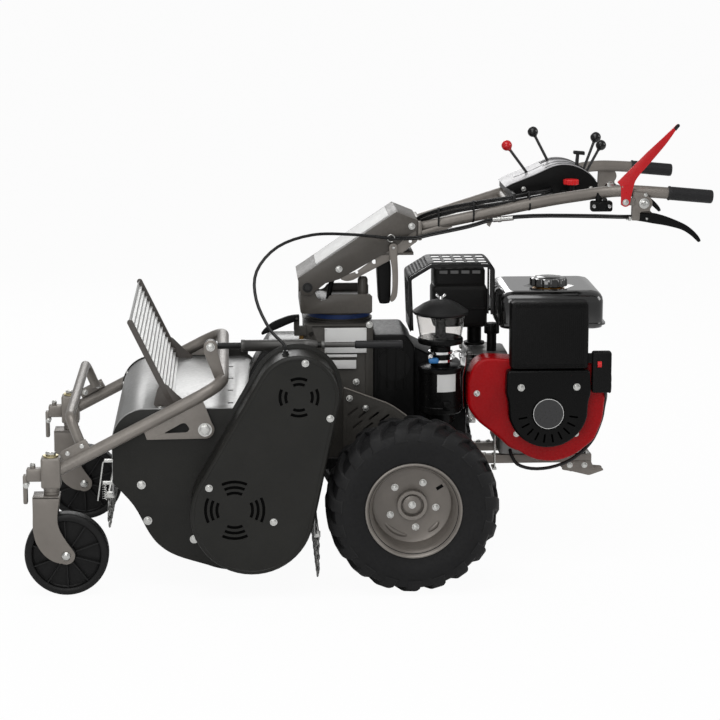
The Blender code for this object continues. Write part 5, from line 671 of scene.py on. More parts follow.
def rounded_loop(corners, radius, steps=8):
    """A closed outline of straight runs with curved corners; its first point is kept as it is."""
    return rounded_path([*corners, corners[0]], radius, steps)[:-1]


def arm_point(x, offset=0.0):
    """A place beside an arm's middle line, seen from the side."""
    z = ARM_FRONT[1] + (x - ARM_FRONT[0]) * math.tan(ARM_TURN)
    return np.array([x - math.sin(ARM_TURN) * offset, z + math.cos(ARM_TURN) * offset])


def carve(target, shapes, overlapping=False):
    """Take closed shapes away from a piece with one exact Boolean, and keep the result as its mesh."""
    tool = bpy.data.objects.new("hole_tool", joined_mesh("hole_tool", shapes, drop_slivers=False))
    bpy.context.scene.collection.objects.link(tool)
    change = target.modifiers.new("holes", "BOOLEAN")
    change.operation = "DIFFERENCE"
    change.solver = "EXACT"
    change.use_self = overlapping
    change.object = tool
    bpy.context.view_layer.update()
    shown = target.evaluated_get(bpy.context.evaluated_depsgraph_get())
    result = bpy.data.meshes.new_from_object(shown)
    target.modifiers.clear()
    target.data = result
    bpy.data.objects.remove(tool)
    result.set_sharp_from_angle(angle=math.radians(CRISP_ANGLE))


frame_route = rounded_path([(ARM_FRONT[0], -CASTOR_Y, ARM_FRONT[1]), (ARM_BEND[0], -CASTOR_Y, ARM_BEND[1]),
                            (ARM_BEND[0], CASTOR_Y, ARM_BEND[1]), (ARM_FRONT[0], CASTOR_Y, ARM_FRONT[1])],
                           0.075, 10)
frame_shapes = [sweep(frame_route, circle(FRAME_TUBE, 20), (-math.sin(ARM_TURN), 0.0, math.cos(ARM_TURN)))]
frame_bolts = []
for side, sign in (("left", -1), ("right", 1)):
    y = sign * CASTOR_Y
    frame_shapes += [
        block((SWIVEL_X - 0.023, y - 0.023, 0.262), (SWIVEL_X + 0.023, y + 0.023, 0.335), 0.0045),
        lathe([(0.0108, 0.2442), (0.0180, 0.2442), (0.0190, 0.2455), (0.0190, 0.2505), (0.0178, 0.2515),
               (0.0178, 0.2530), (0.0190, 0.2540), (0.0190, 0.2640), (0.0108, 0.2640)], (SWIVEL_X, y, 0.0),
              "Z", 32),
        block((SWIVEL_X - 0.058, y - 0.013, 0.2765), (SWIVEL_X - 0.020, y + 0.013, 0.3085), 0.004),
        block((SWIVEL_X - 0.0665, y - 0.011, 0.222), (SWIVEL_X - 0.0562, y + 0.011, 0.292), 0.003),
        lathe([(0.0, 0.3085), (0.0065, 0.3085), (0.0065, 0.3145), (0.0, 0.3150)], (SWIVEL_X - 0.043, y, 0.0),
              "Z", 16),
    ]
    frame_bolts += [*bolts([(SWIVEL_X - 0.0588, y - 0.011, 0.268)], 0.0058, 0.004, out=-1.0),
                    *bolts([(SWIVEL_X - 0.0588, y + 0.011, 0.268)], 0.0058, 0.004, out=1.0),
                    *bolts([(SWIVEL_X - 0.043, y, 0.3145)], 0.0060, 0.005, "Z", 1.0)]
    lug_corners = [arm_point(-0.817, 0.012), arm_point(-0.757, 0.012), arm_point(-0.757, 0.0368),
                   arm_point(-0.762, 0.0370), arm_point(-0.812, 0.0370), arm_point(-0.817, 0.034)]
    frame_shapes.append(prism(lug_corners, y + sign * 0.001 - 0.0025, y + sign * 0.001 + 0.0025, 0.0010))
    tip = arc(*PIVOT, 0.022, -100, 40, 12)
    gusset_outline = np.concatenate([[arm_point(-0.640)], [(-0.629, 0.3735)], tip,
                                     [arm_point(-0.500), arm_point(-0.560)]])
    gusset = piece("gusset_" + side, [prism(gusset_outline, y - 0.0025, y + 0.0025, 0.0008)], TAUPE,
                   "castor_frame")
    window = rounded_loop([(-0.560, 0.3895), (-0.590, 0.3882), (-0.546, 0.4128), (-0.537, 0.4130),
                           (-0.5275, 0.3990), (-0.533, 0.3905)], 0.006, 4)
    carve(gusset, [prism(window, y - 0.02, y + 0.02, 0.0001)])
lever_y = -0.3010
lever_outline = np.concatenate([
    [(ARM_BEND[0] - 0.0165, ARM_BEND[1]), (ARM_BEND[0] + 0.010, ARM_BEND[1] - 0.006)],
    [(-0.4605, 0.572)], arc(*LEVER_EYE, 0.0165, 0, 180, 12), [(-0.4935, 0.572)]])
frame_shapes.append(prism(lever_outline, lever_y - 0.0035, lever_y + 0.0035, 0.0012))
castor_frame = piece("castor_frame_welded", frame_shapes, TAUPE, "castor_frame")
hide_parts("castor_frame")
lever_pin = lathe([(0.0, -0.310), (0.005, -0.310), (0.005, -0.278), (0.0, -0.278)],
                  (LEVER_EYE[0], 0.0, LEVER_EYE[1]), steps=16)
eye_bolt = bolts([(LEVER_EYE[0], -0.3045, LEVER_EYE[1])], 0.0085, 0.0065)
piece("frame_bolts", [*frame_bolts, lever_pin, *eye_bolt], ZINC, "castor_frame")


# Bumper bar. A 24 mm tube across the front, bent at both ends and welded to an end plate on each side. Two
# zinc bolts hold each plate on its arm's lug.
BUMPER_TUBE = 0.012
bumper_shapes = []
bumper_bolts = []
foot_z = arm_point(-0.787)[1] + 0.037
foot_y = 0.354 - 0.005 - 0.0003 + 0.0025 - 0.013
bumper_route = rounded_path([(-0.787, -foot_y, foot_z - 0.004), (-0.812, -0.330, 0.424),
                             (-0.812, 0.330, 0.424), (-0.787, foot_y, foot_z - 0.004)], 0.026, 8)
bumper_shapes.append(sweep(bumper_route, circle(BUMPER_TUBE, 18), (0.93, 0.0, 0.36)))
for side, sign in (("left", -1), ("right", 1)):
    inner = sign * (CASTOR_Y - 0.0063)
    plate_corners = [arm_point(-0.817, 0.0165), arm_point(-0.757, 0.0165), arm_point(-0.757, 0.0300),
                     arm_point(-0.7625, 0.0360), arm_point(-0.8115, 0.0360), arm_point(-0.817, 0.0300)]
    bumper_shapes.append(prism(plate_corners, inner - 0.0025, inner + 0.0025, 0.0010))
    for share in (-0.32, 0.32):
        place = arm_point(-0.787 + share * 0.060 * math.cos(ARM_TURN), 0.0262)
        bumper_bolts += [*bolts([(place[0], sign * 0.3618, place[1])], 0.0062, 0.0050, out=sign),
                         *bolts([(place[0], sign * 0.3511, place[1])], 0.0062, 0.0055, out=-sign)]
bumper = piece("bumper_bar_bent", bumper_shapes, TAUPE, "castor_frame")
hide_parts("bumper_bar")
piece("bumper_bolts", bumper_bolts, ZINC, "castor_frame")


# Height adjuster. A black rolled-thread screw with an eye on the lever's pin, a turned sleeve on the screw,
# and a rod with a rubber hand grip that runs back through the deck's bracket.
ADJUSTER = (-0.288, 0.584)
BLACK_STEEL = skin("black_oxide_steel", (0.010, 0.010, 0.010), (0.08, 0.08, 0.08), blotch=0.2, wear=0.6,
                   sheen=(0.30, 0.45), metallic=0.4)
GRIP_RUBBER = skin("grip_rubber", (0.010, 0.010, 0.011), (0.03, 0.03, 0.03), blotch=0.15, wear=0.3,
                   sheen=(0.40, 0.55), grain=(700.0, 0.0003), specular=0.3)
GREY_SLEEVE = skin("dark_grey_paint", (0.055, 0.053, 0.050), (0.25, 0.25, 0.24), blotch=0.2, wear=0.5,
                   sheen=(0.30, 0.42), metallic=0.3)
THREAD_TURNS = 27
THREAD_PITCH = 0.0058


def capped(radius, place):
    """A lathe's profile from arrays of radius and place, brought to the axis at both ends."""
    return np.stack([np.concatenate([[0.0], radius, [0.0]]), np.concatenate([place[:1], place, place[-1:]])],
                    axis=-1)


turns = np.linspace(0.0, THREAD_TURNS, THREAD_TURNS * 8 + 1)
ridge = np.where((np.arange(len(turns)) % 4) < 2, 0.0084, 0.0070)
thread = lathe(capped(ridge, -0.461 + turns * THREAD_PITCH), (0.0, *ADJUSTER), "X", 20)
eye = lathe([(0.0082, -0.007), (0.0150, -0.007), (0.0160, -0.006), (0.0160, 0.006), (0.0150, 0.007),
             (0.0082, 0.007)], (LEVER_EYE[0], *ADJUSTER), "Y", 28, closed=True)
screw = piece("adjuster_screw_rolled", [thread, eye], BLACK_STEEL, "adjuster_screw")
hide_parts("adjuster_screw")
sleeve = lathe([(0.0090, -0.4050), (0.0130, -0.4050), (0.0145, -0.4035), (0.0145, -0.3960), (0.0138, -0.3950),
                (0.0138, -0.2560), (0.0145, -0.2550), (0.0145, -0.2440), (0.0100, -0.2230), (0.0065, -0.2225),
                (0.0065, -0.1340), (0.0, -0.1340)], (0.0, *ADJUSTER), "X", 32)
collar = lathe([(0.0065, -0.2130), (0.0100, -0.2130), (0.0100, -0.2060), (0.0065, -0.2060)],
               (0.0, *ADJUSTER), "X", 24, closed=True)
crank = piece("adjuster_crank_turned", [sleeve, collar], GREY_SLEEVE, "adjuster_crank")
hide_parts("adjuster_crank")
ring_x = np.linspace(-0.1335, -0.0190, 47)
ring_radius = 0.0098 - 0.0007 * (np.arange(47) % 2)
ring_radius[[0, -1]] = 0.0080
piece("adjuster_hand_grip", [lathe(capped(ring_radius, ring_x), (0.0, *ADJUSTER), "X", 28)], GRIP_RUBBER,
      "adjuster_crank")


# Deck hood. One sheet of galvanised steel bent over the rotor, with a row of square holes along its flat top
# and screws along its right front edge.
DECK_FRONT_X = -0.7125
DECK_TOP = 0.440
HOOD_BEND = 0.0785
GALVANISED = skin("galvanised_sheet", (0.33, 0.33, 0.325), (0.6, 0.6, 0.59), blotch=0.12, wear=0.3,
                  sheen=(0.30, 0.46), grain=(260.0, 0.0002), metallic=0.85)


def ribbon(path, thickness):
    """Outline of a bent sheet seen on its edge: the path moved half its thickness to both sides, mitred at
    corners.
    """
    path = np.array(path, float)
    step = np.diff(path, axis=0)
    step /= np.linalg.norm(step, axis=1, keepdims=True)
    normal = np.stack([-step[:, 1], step[:, 0]], axis=-1)
    before, after = np.concatenate([normal[:1], normal]), np.concatenate([normal, normal[-1:]])
    mitre = (before + after) / (1 + np.sum(before * after, axis=1, keepdims=True))
    return np.concatenate([path + mitre * thickness / 2, (path - mitre * thickness / 2)[::-1]])


hood_route = np.concatenate([
    [(DECK_FRONT_X, 0.228)], arc(DECK_FRONT_X + HOOD_BEND, DECK_TOP - HOOD_BEND, HOOD_BEND, 180, 90, 16),
    rounded_path([(-0.560, DECK_TOP), (-0.3853, DECK_TOP), (-0.305, 0.345), (-0.232, 0.210),
                  (-0.232, 0.124)], 0.022, 5)])
hood = piece("deck_hood", [prism(ribbon(hood_route, 0.003), -0.3275, 0.3275, 0.0007)], GALVANISED, "chassis")
hole = rounded_loop([(0.0, -0.0065), (0.0065, -0.0065), (0.0065, 0.0065), (-0.0065, 0.0065),
                     (-0.0065, -0.0065)], 0.0025, 3)
carve(hood, [prism(hole + [-0.431, (i - 1.8) * 0.150], DECK_TOP - 0.02, DECK_TOP + 0.02, 0.0001, "XY")
             for i in range(4)])
bend_reach = HOOD_BEND + 0.0015
bend_screws = [(DECK_FRONT_X + HOOD_BEND + bend_reach * math.cos(heading), 0.312, DECK_TOP - HOOD_BEND
                + bend_reach * math.sin(heading)) for heading in map(math.radians, (150, 172))]
front_screws = [(DECK_FRONT_X - 0.0015, 0.312, z) for z in (0.345, 0.305, 0.265)]
head_points, head_faces = lathe([(0.0, 0.0035), (0.004, 0.003), (0.0065, 0.0008), (0.0065, -0.001),
                                 (0.0, -0.001)], np.zeros(3), "X", 18)
screw_head = (head_points * [-1, 1, 1], [face[::-1] for face in head_faces])
piece("hood_edge_screws", [repeat(screw_head, bend_screws + front_screws)], ZINC, "chassis")


# Deck side plates. Black painted 4 mm plates with a deep round belly about the rotor. The left one carries
# the back plate of the belt drive, the bolts for the rotor's bearing, the idler's pin and the bracket of the
# height adjuster.
ROTOR = (-0.4233, 0.2177)
DRIVE = (-0.2708, 0.4870)
COVER_FOOT = ((-0.3825, 0.2050), 0.146)
COVER_TOP = ((-0.2740, 0.4870), 0.0985)
IDLER_PIN = (-0.35698, 0.32264)
CHARCOAL = skin("charcoal_paint", (0.014, 0.0138, 0.012), blotch=0.25, wear=0.0, sheen=(0.33, 0.46),
                grain=(520.0, 0.00025), specular=0.24)
BLACK_GLOSS = skin("black_gloss_paint", (0.010, 0.010, 0.010), (0.06, 0.06, 0.06), blotch=0.2, wear=0.4,
                   sheen=(0.16, 0.28), grain=(300.0, 0.00015), specular=0.3)


def belly_outline(grow=0.0):
    """The side plate's outline: straight front, rounded top corner, flat top and a deep curve under the
    rotor.
    """
    top = arc(DECK_FRONT_X + HOOD_BEND, DECK_TOP - HOOD_BEND, HOOD_BEND, 180, 90, 16)
    rear = [(-0.3853, DECK_TOP), (-0.300, 0.360), (-0.245, 0.220), (-0.240, 0.150)]
    belly = arc(*ROTOR, 0.1735, -32, -112, 20)
    front = smooth([belly[-1], (-0.560, 0.0800), (-0.600, 0.1040), (-0.628, 0.1380), (-0.664, 0.206),
                    (DECK_FRONT_X, 0.262)], 4)[1:]
    outline = np.concatenate([top, rear, belly, front])
    return inset(outline, -grow) if grow else outline


def hull(first, second, grow=0.0, steps=30):
    """The outline round two circles: an arc of each, joined by their outer tangents."""
    (a, first_radius), (b, second_radius) = first, second
    across = np.array(b) - np.array(a)
    heading = math.degrees(math.atan2(across[1], across[0]))
    lean = math.degrees(math.acos((first_radius - second_radius) / np.hypot(*across)))
    return np.concatenate([arc(*a, first_radius + grow, heading + lean, heading - lean + 360, steps),
                           arc(*b, second_radius + grow, heading - lean, heading + lean, steps)])


def pin(place, low, high, radius, axis="Y", steps=24, chamfer=0.0008):
    """A round bar between two heights along an axis, with its rims chamfered."""
    centre = np.array(place, float)
    return lathe([(0.0, low), (radius - chamfer, low), (radius, low + chamfer), (radius, high - chamfer),
                  (radius - chamfer, high), (0.0, high)], centre, axis, steps)


side_left = piece("deck_side_left_plate", [
    prism(belly_outline(), -0.332, -0.328, 0.0012),
    prism(hull(COVER_FOOT, COVER_TOP, 0.010), -0.3317, -0.3283, 0.0008),
    prism([(-0.222, 0.564), (-0.214, 0.564), (-0.214, 0.600), (-0.222, 0.600)], -0.331, -0.274, 0.0015),
], CHARCOAL, "chassis")
carve(side_left, [pin((0.0, *ADJUSTER), -0.230, -0.205, 0.0069, "X", 24, 0.0001)])
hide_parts("deck_side_left")
deck_screws = [(-0.645, 0.257), (-0.631, 0.169), (-0.521, 0.122), (-0.253, 0.144)]
pivot_place = (PIVOT[0], 0.0, PIVOT[1])
idler_place = (IDLER_PIN[0], 0.0, IDLER_PIN[1])
piece("deck_side_bolts", [
    *bolts([(x, -0.332, z) for x, z in deck_screws], 0.0085, 0.0055),
    pin(pivot_place, -0.3690, -0.331, 0.0075), pin(pivot_place, -0.3545, -0.3318, 0.013),
    *bolts([(PIVOT[0], -0.3630, PIVOT[1])], 0.0135, 0.0080),
    pin(idler_place, -0.372, -0.331, 0.005), pin(idler_place, -0.3625, -0.3318, 0.009),
], ZINC, "chassis")
right_shell = piece("deck_side_right_plate", [
    prism(belly_outline(0.005), 0.3281, 0.3320, 0.0012),
    prism([(-0.475, 0.435), (-0.3853, 0.435), (-0.3853, 0.461), (-0.389, 0.465), (-0.471, 0.465),
           (-0.475, 0.461)], 0.3283, 0.3318, 0.0008),
    pin(pivot_place, 0.331, 0.3690, 0.0075), pin(pivot_place, 0.3318, 0.3545, 0.013),
    pin(pivot_place, 0.3628, 0.3690, 0.014)], CHARCOAL, "chassis")


# Deck neck. A welded black box between the hood and the gearbox's front face, with the tube of the cross
# shaft running from it to the left side plate.
neck_path = rounded_loop([(-0.3893, 0.431), (-0.3843, 0.473), (-0.362, 0.5136), (-0.335, 0.556),
                          (-0.2483, 0.556), (-0.2483, 0.400), (-0.300, 0.330), (-0.330, 0.360)], 0.009, 4)
neck = piece("deck_neck", [
    prism(neck_path, -0.060, 0.060, 0.004, steps=3),
    lathe([(0.0125, -0.3279), (0.0190, -0.3279), (0.0198, -0.3271), (0.0198, -0.3150), (0.0175, -0.3140),
           (0.0175, -0.0700), (0.0198, -0.0690), (0.0198, -0.0590), (0.0125, -0.0590)],
          (DRIVE[0], 0.0, DRIVE[1]), steps=32, closed=True),
    block((-0.300, -0.066, 0.505), (-0.262, -0.059, 0.545), 0.002)], BLACK_GLOSS, "chassis")
piece("neck_bolts", [*bolts([(-0.288, -0.066, 0.534), (-0.288, -0.066, 0.514), (-0.357, -0.060, 0.478),
                             (-0.331, -0.060, 0.538)], 0.0075, 0.0050)], ZINC, "chassis")
for shape in (hood, right_shell, neck):
    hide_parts("deck_shell")


# Guard plate. A ribbed sheet that leans over the front of the deck, held between two flat rails whose feet
# are welded to the hood.
GUARD_TOP = np.array([-0.6675, 0.6480])
GUARD_FOOT = np.array([-0.5695, 0.4440])
GUARD_RIBS = 15
RAIL_BROWN = skin("dark_taupe_paint", (0.060, 0.052, 0.046), (0.25, 0.23, 0.21), blotch=0.2, wear=0.5,
                  sheen=(0.30, 0.42))
PALE_STEEL = skin("pale_ribbed_steel", (0.50, 0.50, 0.49), (0.75, 0.75, 0.74), blotch=0.15, wear=0.35,
                  sheen=(0.34, 0.50), grain=(350.0, 0.0002), metallic=0.55)


def guard_sheet():
    """Ribbed sheet: a wave with flat crests and narrow valleys carried from the foot to the top, drawn across
    Y.
    """
    rise = GUARD_TOP - GUARD_FOOT
    along = rise / np.hypot(*rise)
    front = np.array([-along[1], along[0]])
    share = np.linspace(0.0, 1.0, GUARD_RIBS * 10 + 1)
    phase = share * GUARD_RIBS % 1.0
    height = 0.0050 * np.clip(np.minimum(phase, 1 - phase) * 6.0, 0.0, 1.0) ** 0.8
    centre = GUARD_FOOT + share[:, None] * rise + height[:, None] * front
    back = centre - front * 0.0018
    outline = np.concatenate([centre, back[::-1]])
    y = np.array([-0.2838, -0.2832, -0.2600, 0.2700, 0.2980, 0.2996])
    points = np.stack([np.broadcast_to(outline[None, :, 0], (len(y), len(outline))),
                       np.broadcast_to(y[:, None], (len(y), len(outline))),
                       np.broadcast_to(outline[None, :, 1], (len(y), len(outline)))], axis=-1)
    shape_points, faces = grid(points, wrap_columns=True)
    count, half, last = len(outline), len(centre), (len(y) - 1) * len(outline)
    first_cap = [[i, i + 1, count - 2 - i, count - 1 - i] for i in range(half - 1)]
    last_cap = [[last + i for i in face[::-1]] for face in first_cap]
    return shape_points, [*faces, *first_cap, *last_cap]


guard = piece("guard_sheet", [guard_sheet()], PALE_STEEL, "chassis")
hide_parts("guard_plate")
guard_rise = (GUARD_TOP - GUARD_FOOT) / np.hypot(*(GUARD_TOP - GUARD_FOOT))
guard_front = np.array([-guard_rise[1], guard_rise[0]])
rail_top = GUARD_TOP - guard_rise * 0.003
rail_heading = math.degrees(math.atan2(guard_rise[1], guard_rise[0]))
rail_outline = np.concatenate([arc(*rail_top, 0.007, rail_heading - 90, rail_heading + 90, 10),
                               [GUARD_FOOT + guard_front * 0.007, GUARD_FOOT - guard_front * 0.007]])
foot_outline = rounded_loop([(GUARD_FOOT[0], 0.4406), (GUARD_FOOT[0] + 0.044, 0.4406),
                             (GUARD_FOOT[0] + 0.008, GUARD_FOOT[1] + 0.030), (GUARD_FOOT[0] - 0.018, 0.500),
                             (GUARD_FOOT[0] - 0.034, 0.488), (GUARD_FOOT[0] - 0.046, 0.4406)], 0.012, 4)
rails = [prism(rail_outline, y - 0.003, y + 0.003, 0.0010) for y in (-0.304, 0.310)]
feet = [prism(foot_outline, y - 0.0025, y + 0.0025, 0.0010) for y in (-0.304, 0.310)]
ties = []
for low_y, high_y in ((-0.304, -0.2825), (0.2985, 0.310)):
    for share in (0.1, 0.5, 0.93):
        x, z = GUARD_FOOT + (GUARD_TOP - GUARD_FOOT) * share
        ties.append(block((x - 0.004, low_y, z - 0.004), (x + 0.004, high_y, z + 0.004), 0.001))
piece("guard_rails", [*rails, *feet, *ties], RAIL_BROWN, "chassis")
piece("guard_foot_screws", [pin((-0.598, y, 0.0), 0.4395, 0.4450, 0.0060, "Z", 18) for y in (-0.318, 0.320)],
      ZINC, "chassis")


# Chain curtains. Rows of short zinc chains hang on a rod at the front and rear mouths of the deck, and swing
# with it. Each link is a bent wire oval, turned a quarter against the next.
CHAIN_PITCH = 0.0118
LINK_PITCH = 0.0128
CHAIN_ZINC = skin("chain_zinc", (0.30, 0.30, 0.29), (0.70, 0.70, 0.68), blotch=0.45, wear=0.8,
                  sheen=(0.24, 0.46), metallic=1.0)


def link(turn):
    """One chain link: a round wire of 1.5 mm radius carried round an oval, turned about its upright axis."""
    t = np.linspace(0.0, 2 * np.pi, 14, endpoint=False)
    across = np.sign(np.cos(t)) * np.abs(np.cos(t)) ** 0.8 * 0.0034
    rise = np.sin(t) * 0.0078
    u = np.linspace(0.0, 2 * np.pi, 6, endpoint=False)
    out = np.stack([np.cos(t) * 0.0078, np.sin(t) * 0.0034], axis=-1)
    out /= np.linalg.norm(out, axis=1, keepdims=True)
    wire = 0.0015
    flat = across[:, None] + out[:, :1] * np.cos(u) * wire
    up = rise[:, None] + out[:, 1:] * np.cos(u) * wire
    deep = np.broadcast_to(np.sin(u) * wire, flat.shape)
    heading = math.radians(turn)
    points = np.stack([flat * math.sin(heading) + deep * math.cos(heading),
                       flat * math.cos(heading) - deep * math.sin(heading), up], axis=-1)
    return grid(points, wrap_rows=True, wrap_columns=True)


def curtain(x, z, links):
    """Chains side by side along the rod, each a column of links that turn a quarter from one to the next."""
    half = 0.290
    y = np.linspace(-half, half, int(2 * half / CHAIN_PITCH) + 1)
    shapes = []
    for row in range(links):
        sway = 0.0016 * np.sin(y * 171.0 + row * 1.3) + 0.0010 * np.sin(y * 89.0)
        level = np.full_like(y, z - 0.0095 - row * LINK_PITCH)
        places = np.stack([x + sway * 0.6, y + 0.0012 * np.sin(y * 313.0 + row), level], axis=-1)
        shapes.append(repeat(link(28 if row % 2 else 118), places))
    return shapes


for end, x, z, links in (("front", -0.7245, 0.224, 6), ("rear", -0.2235, 0.120, 8)):
    chain = piece("chain_curtain_" + end, curtain(x, z, links), CHAIN_ZINC, "chain_" + end)
    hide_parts("chain_" + end)
    rod = lathe([(0.0, -0.305), (0.004, -0.305), (0.004, 0.305), (0.0, 0.305)], (x, 0.0, z), steps=14)
    wall = DECK_FRONT_X + 0.0015 if end == "front" else -0.2335
    ears = [block((min(x - 0.006, wall), y - 0.003, z - 0.006), (max(x + 0.006, wall), y + 0.003, z + 0.010),
                  0.0015) for y in (-0.301, 0.301)]
    piece("curtain_rod_" + end, [rod, *ears], ZINC, "chassis")
flap = prism([(-0.2300, 0.128), (-0.2270, 0.128), (-0.2270, 0.184), (-0.2300, 0.184)], -0.322, 0.322, 0.0008)
piece("rear_rubber_flap", [flap], GRIP_RUBBER, "chassis")
lock_rod = sweep(rounded_path([(-0.7486, -0.3365, 0.2205), (-0.7420, -0.3365, 0.2640),
                               (-0.7350, -0.3365, 0.3140), (-0.7290, -0.3365, 0.3180)], 0.004, 3),
                 circle(0.0018, 8), (0.0, 1.0, 0.0))
spring_turn = np.linspace(0.0, 7 * 2 * np.pi, 7 * 12 + 1)
spring = sweep(np.stack([-0.7325 + 0.0042 * np.cos(spring_turn), -0.3365 + 0.0042 * np.sin(spring_turn),
                         np.linspace(0.223, 0.262, len(spring_turn))], axis=-1), circle(0.0009, 6))
hanger = block((-0.7365, -0.3385, 0.2600), (-0.7125, -0.3318, 0.2680), 0.0012)
rod_hanger = block((-0.7320, -0.3385, 0.3140), (-0.7110, -0.3318, 0.3220), 0.0012)
piece("curtain_lock_rod", [lock_rod, spring, hanger, rod_hanger], ZINC, "chassis")


# Belt cover. A deep pressed steel cover with a rounded rim, two sets of curved vents and four zinc screws. A
# boss on its top takes the end of the deck cable.
COVER_BACK = -0.3325
COVER_FRONT = -0.4352


def pressed_shell(outline_at, back, front, rounding, wall=0.003, recess=0.0):
    """A pressed cover: rings of its outline run from the back edge over a rounded rim to the face, and back
    inside.
    """
    u = np.radians(np.linspace(0.0, 90.0, 7))
    rim = [(-(1 - math.cos(a)) * rounding, front + rounding * (1 - math.sin(a))) for a in u]
    face = [(-rounding - 0.001, front), (-rounding - 0.001 - recess, front + recess)]
    outside = [(0.0, back), (0.0, back - 0.002), *rim, *(face if recess else face[:1])]
    inside = [(-rounding - 0.001, front + recess + wall), (-wall - 0.001, front + rounding * 0.5 + wall),
              (-wall, front + rounding + wall), (-wall, back)]
    rings, inner = [np.stack([np.stack([outline[:, 0], np.full(len(outline), y), outline[:, 1]], axis=-1)
                              for outline, y in ((outline_at(grow), y) for grow, y in steps)])
                    for steps in (outside, inside)]
    outer_points, outer_faces = grid(rings, wrap_columns=True, last_cap=True)
    inner_points, inner_faces = grid(inner, wrap_columns=True, first_cap=True)
    start, count = len(outer_points), len(rings[0])
    end = start + len(inner_points) - count
    lip = [[i, (i + 1) % count, end + (i + 1) % count, end + i] for i in range(count)]
    return (np.concatenate([outer_points, inner_points]),
            [*outer_faces, *[[start + i for i in face] for face in inner_faces], *lip])


def vents(centre, outer, rings):
    """Curved slots in four groups round a point, each group a stack of arcs 7 mm wide."""
    slots = []
    for ring in range(rings):
        radius = outer - ring * 0.0133 - 0.0035
        for quarter in range(4):
            middle, spread = 90 * quarter, 25.5
            far = arc(*centre, radius + 0.0035, middle - spread, middle + spread, 12)
            near = arc(*centre, radius - 0.0035, middle + spread, middle - spread, 12)
            slots.append(prism(np.concatenate([far, near]), COVER_FRONT - 0.01, COVER_FRONT + 0.012, 0.0002))
    return slots


cover = piece("belt_cover_pressed", [pressed_shell(lambda grow: hull(COVER_FOOT, COVER_TOP, grow), COVER_BACK,
                                                   COVER_FRONT, 0.0085, recess=0.0010)],
              CHARCOAL, "chassis")
carve(cover, [*vents(DRIVE, 0.048, 2), *vents(ROTOR, 0.072, 3)])
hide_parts("belt_cover")
# Behind the vents a black sheet stands in for the dark inside the cover: painted shade.
vent_shade_sheet = prism(hull(COVER_FOOT, COVER_TOP, -0.020), COVER_FRONT + 0.0060, COVER_FRONT + 0.0075, 0.0003)
piece("vent_painted_shade", [vent_shade_sheet], GAP_SHADE_BLACK, "chassis")
cover_screws = [(-0.2557, 0.568), (-0.483, 0.272), (-0.332, 0.188), (-0.198, 0.436)]
piece("belt_cover_screws", [*bolts([(x, COVER_FRONT + 0.001, z) for x, z in cover_screws], 0.0072, 0.0044)],
      ZINC, "chassis")
piece("cable_boss", [lathe([(0.0, 0.5810), (0.0085, 0.5810), (0.0085, 0.5860), (0.0065, 0.5865),
                            (0.0065, 0.5920), (0.0, 0.5920)], (-0.3010, -0.4000, 0.0), "Z", 24)],
      BLACK_STEEL, "chassis")


# Blade drive. Cast pulleys and a rubber belt under the cover, an idler on a steel arm, and the cast rotor
# with its two rows of hammer knives.
CAST_GREY = skin("grey_casting", (0.040, 0.037, 0.032), (0.14, 0.13, 0.12), blotch=0.3, wear=0.4,
                 sheen=(0.42, 0.58), grain=(420.0, 0.0006), specular=0.3)
BELT_RUBBER = skin("belt_rubber", (0.014, 0.014, 0.014), (0.06, 0.06, 0.06), blotch=0.2, wear=0.7,
                   sheen=(0.55, 0.7), grain=(900.0, 0.0004), specular=0.3)
WORN_STEEL = skin("worn_bright_steel", (0.36, 0.36, 0.35), (0.72, 0.72, 0.70), blotch=0.5, wear=0.8,
                  sheen=(0.24, 0.48), metallic=1.0)
SCRATCHED_CASTING = skin("rotor_casting", (0.09, 0.085, 0.08), (0.40, 0.39, 0.37), blotch=0.5, wear=0.8,
                         sheen=(0.34, 0.52), grain=(300.0, 0.0005), metallic=0.6)


def refinish(names, material):
    """Give carried-over solids one of the finishes above."""
    for name in names:
        for slot in NODES[name].material_slots:
            slot.material = material


refinish(["drive_pulley", "idler_pulley", "knife_row_front", "knife_row_rear"], WORN_STEEL)
refinish(["idler_arm"], ZINC)
refinish(["rotor"], SCRATCHED_CASTING)
refinish(["drive_belt"], BELT_RUBBER)


# Gearbox. A tall dark iron casting with a round neck for the column, an axle box below and a trumpet to each
# wheel. It carries a brass breather, a blue seal round its neck and blank rivetted plates.
NECK_AXIS = (-0.160, 0.0)
HITCH_PIN = (-0.2680, 0.0, 0.6200)
BRASS = skin("brass", (0.42, 0.22, 0.06), (0.75, 0.50, 0.20), blotch=0.3, wear=0.5, sheen=(0.24, 0.40),
             metallic=1.0)
SEAL_BLUE = skin("blue_seal", (0.012, 0.040, 0.16), blotch=0.3, wear=0.0, sheen=(0.35, 0.5), specular=0.3)
PLATE_WHITE = skin("blank_plate", (0.62, 0.62, 0.61), blotch=0.10, wear=0.0, sheen=(0.38, 0.5))
BLACK_SATIN = skin("black_satin_paint", (0.004, 0.004, 0.004), (0.02, 0.02, 0.02), blotch=0.2, wear=0.3,
                   sheen=(0.34, 0.48), grain=(480.0, 0.0003), specular=0.12)


def flanged(low, high, radius, flange, width):
    """Profile of a tube with a flange at its low end, given as radius and height pairs."""
    return [(0.0, low), (flange, low), (flange, low + width), (radius + 0.002, low + width),
            (radius, low + width + 0.003), (radius, high), (0.0, high)]


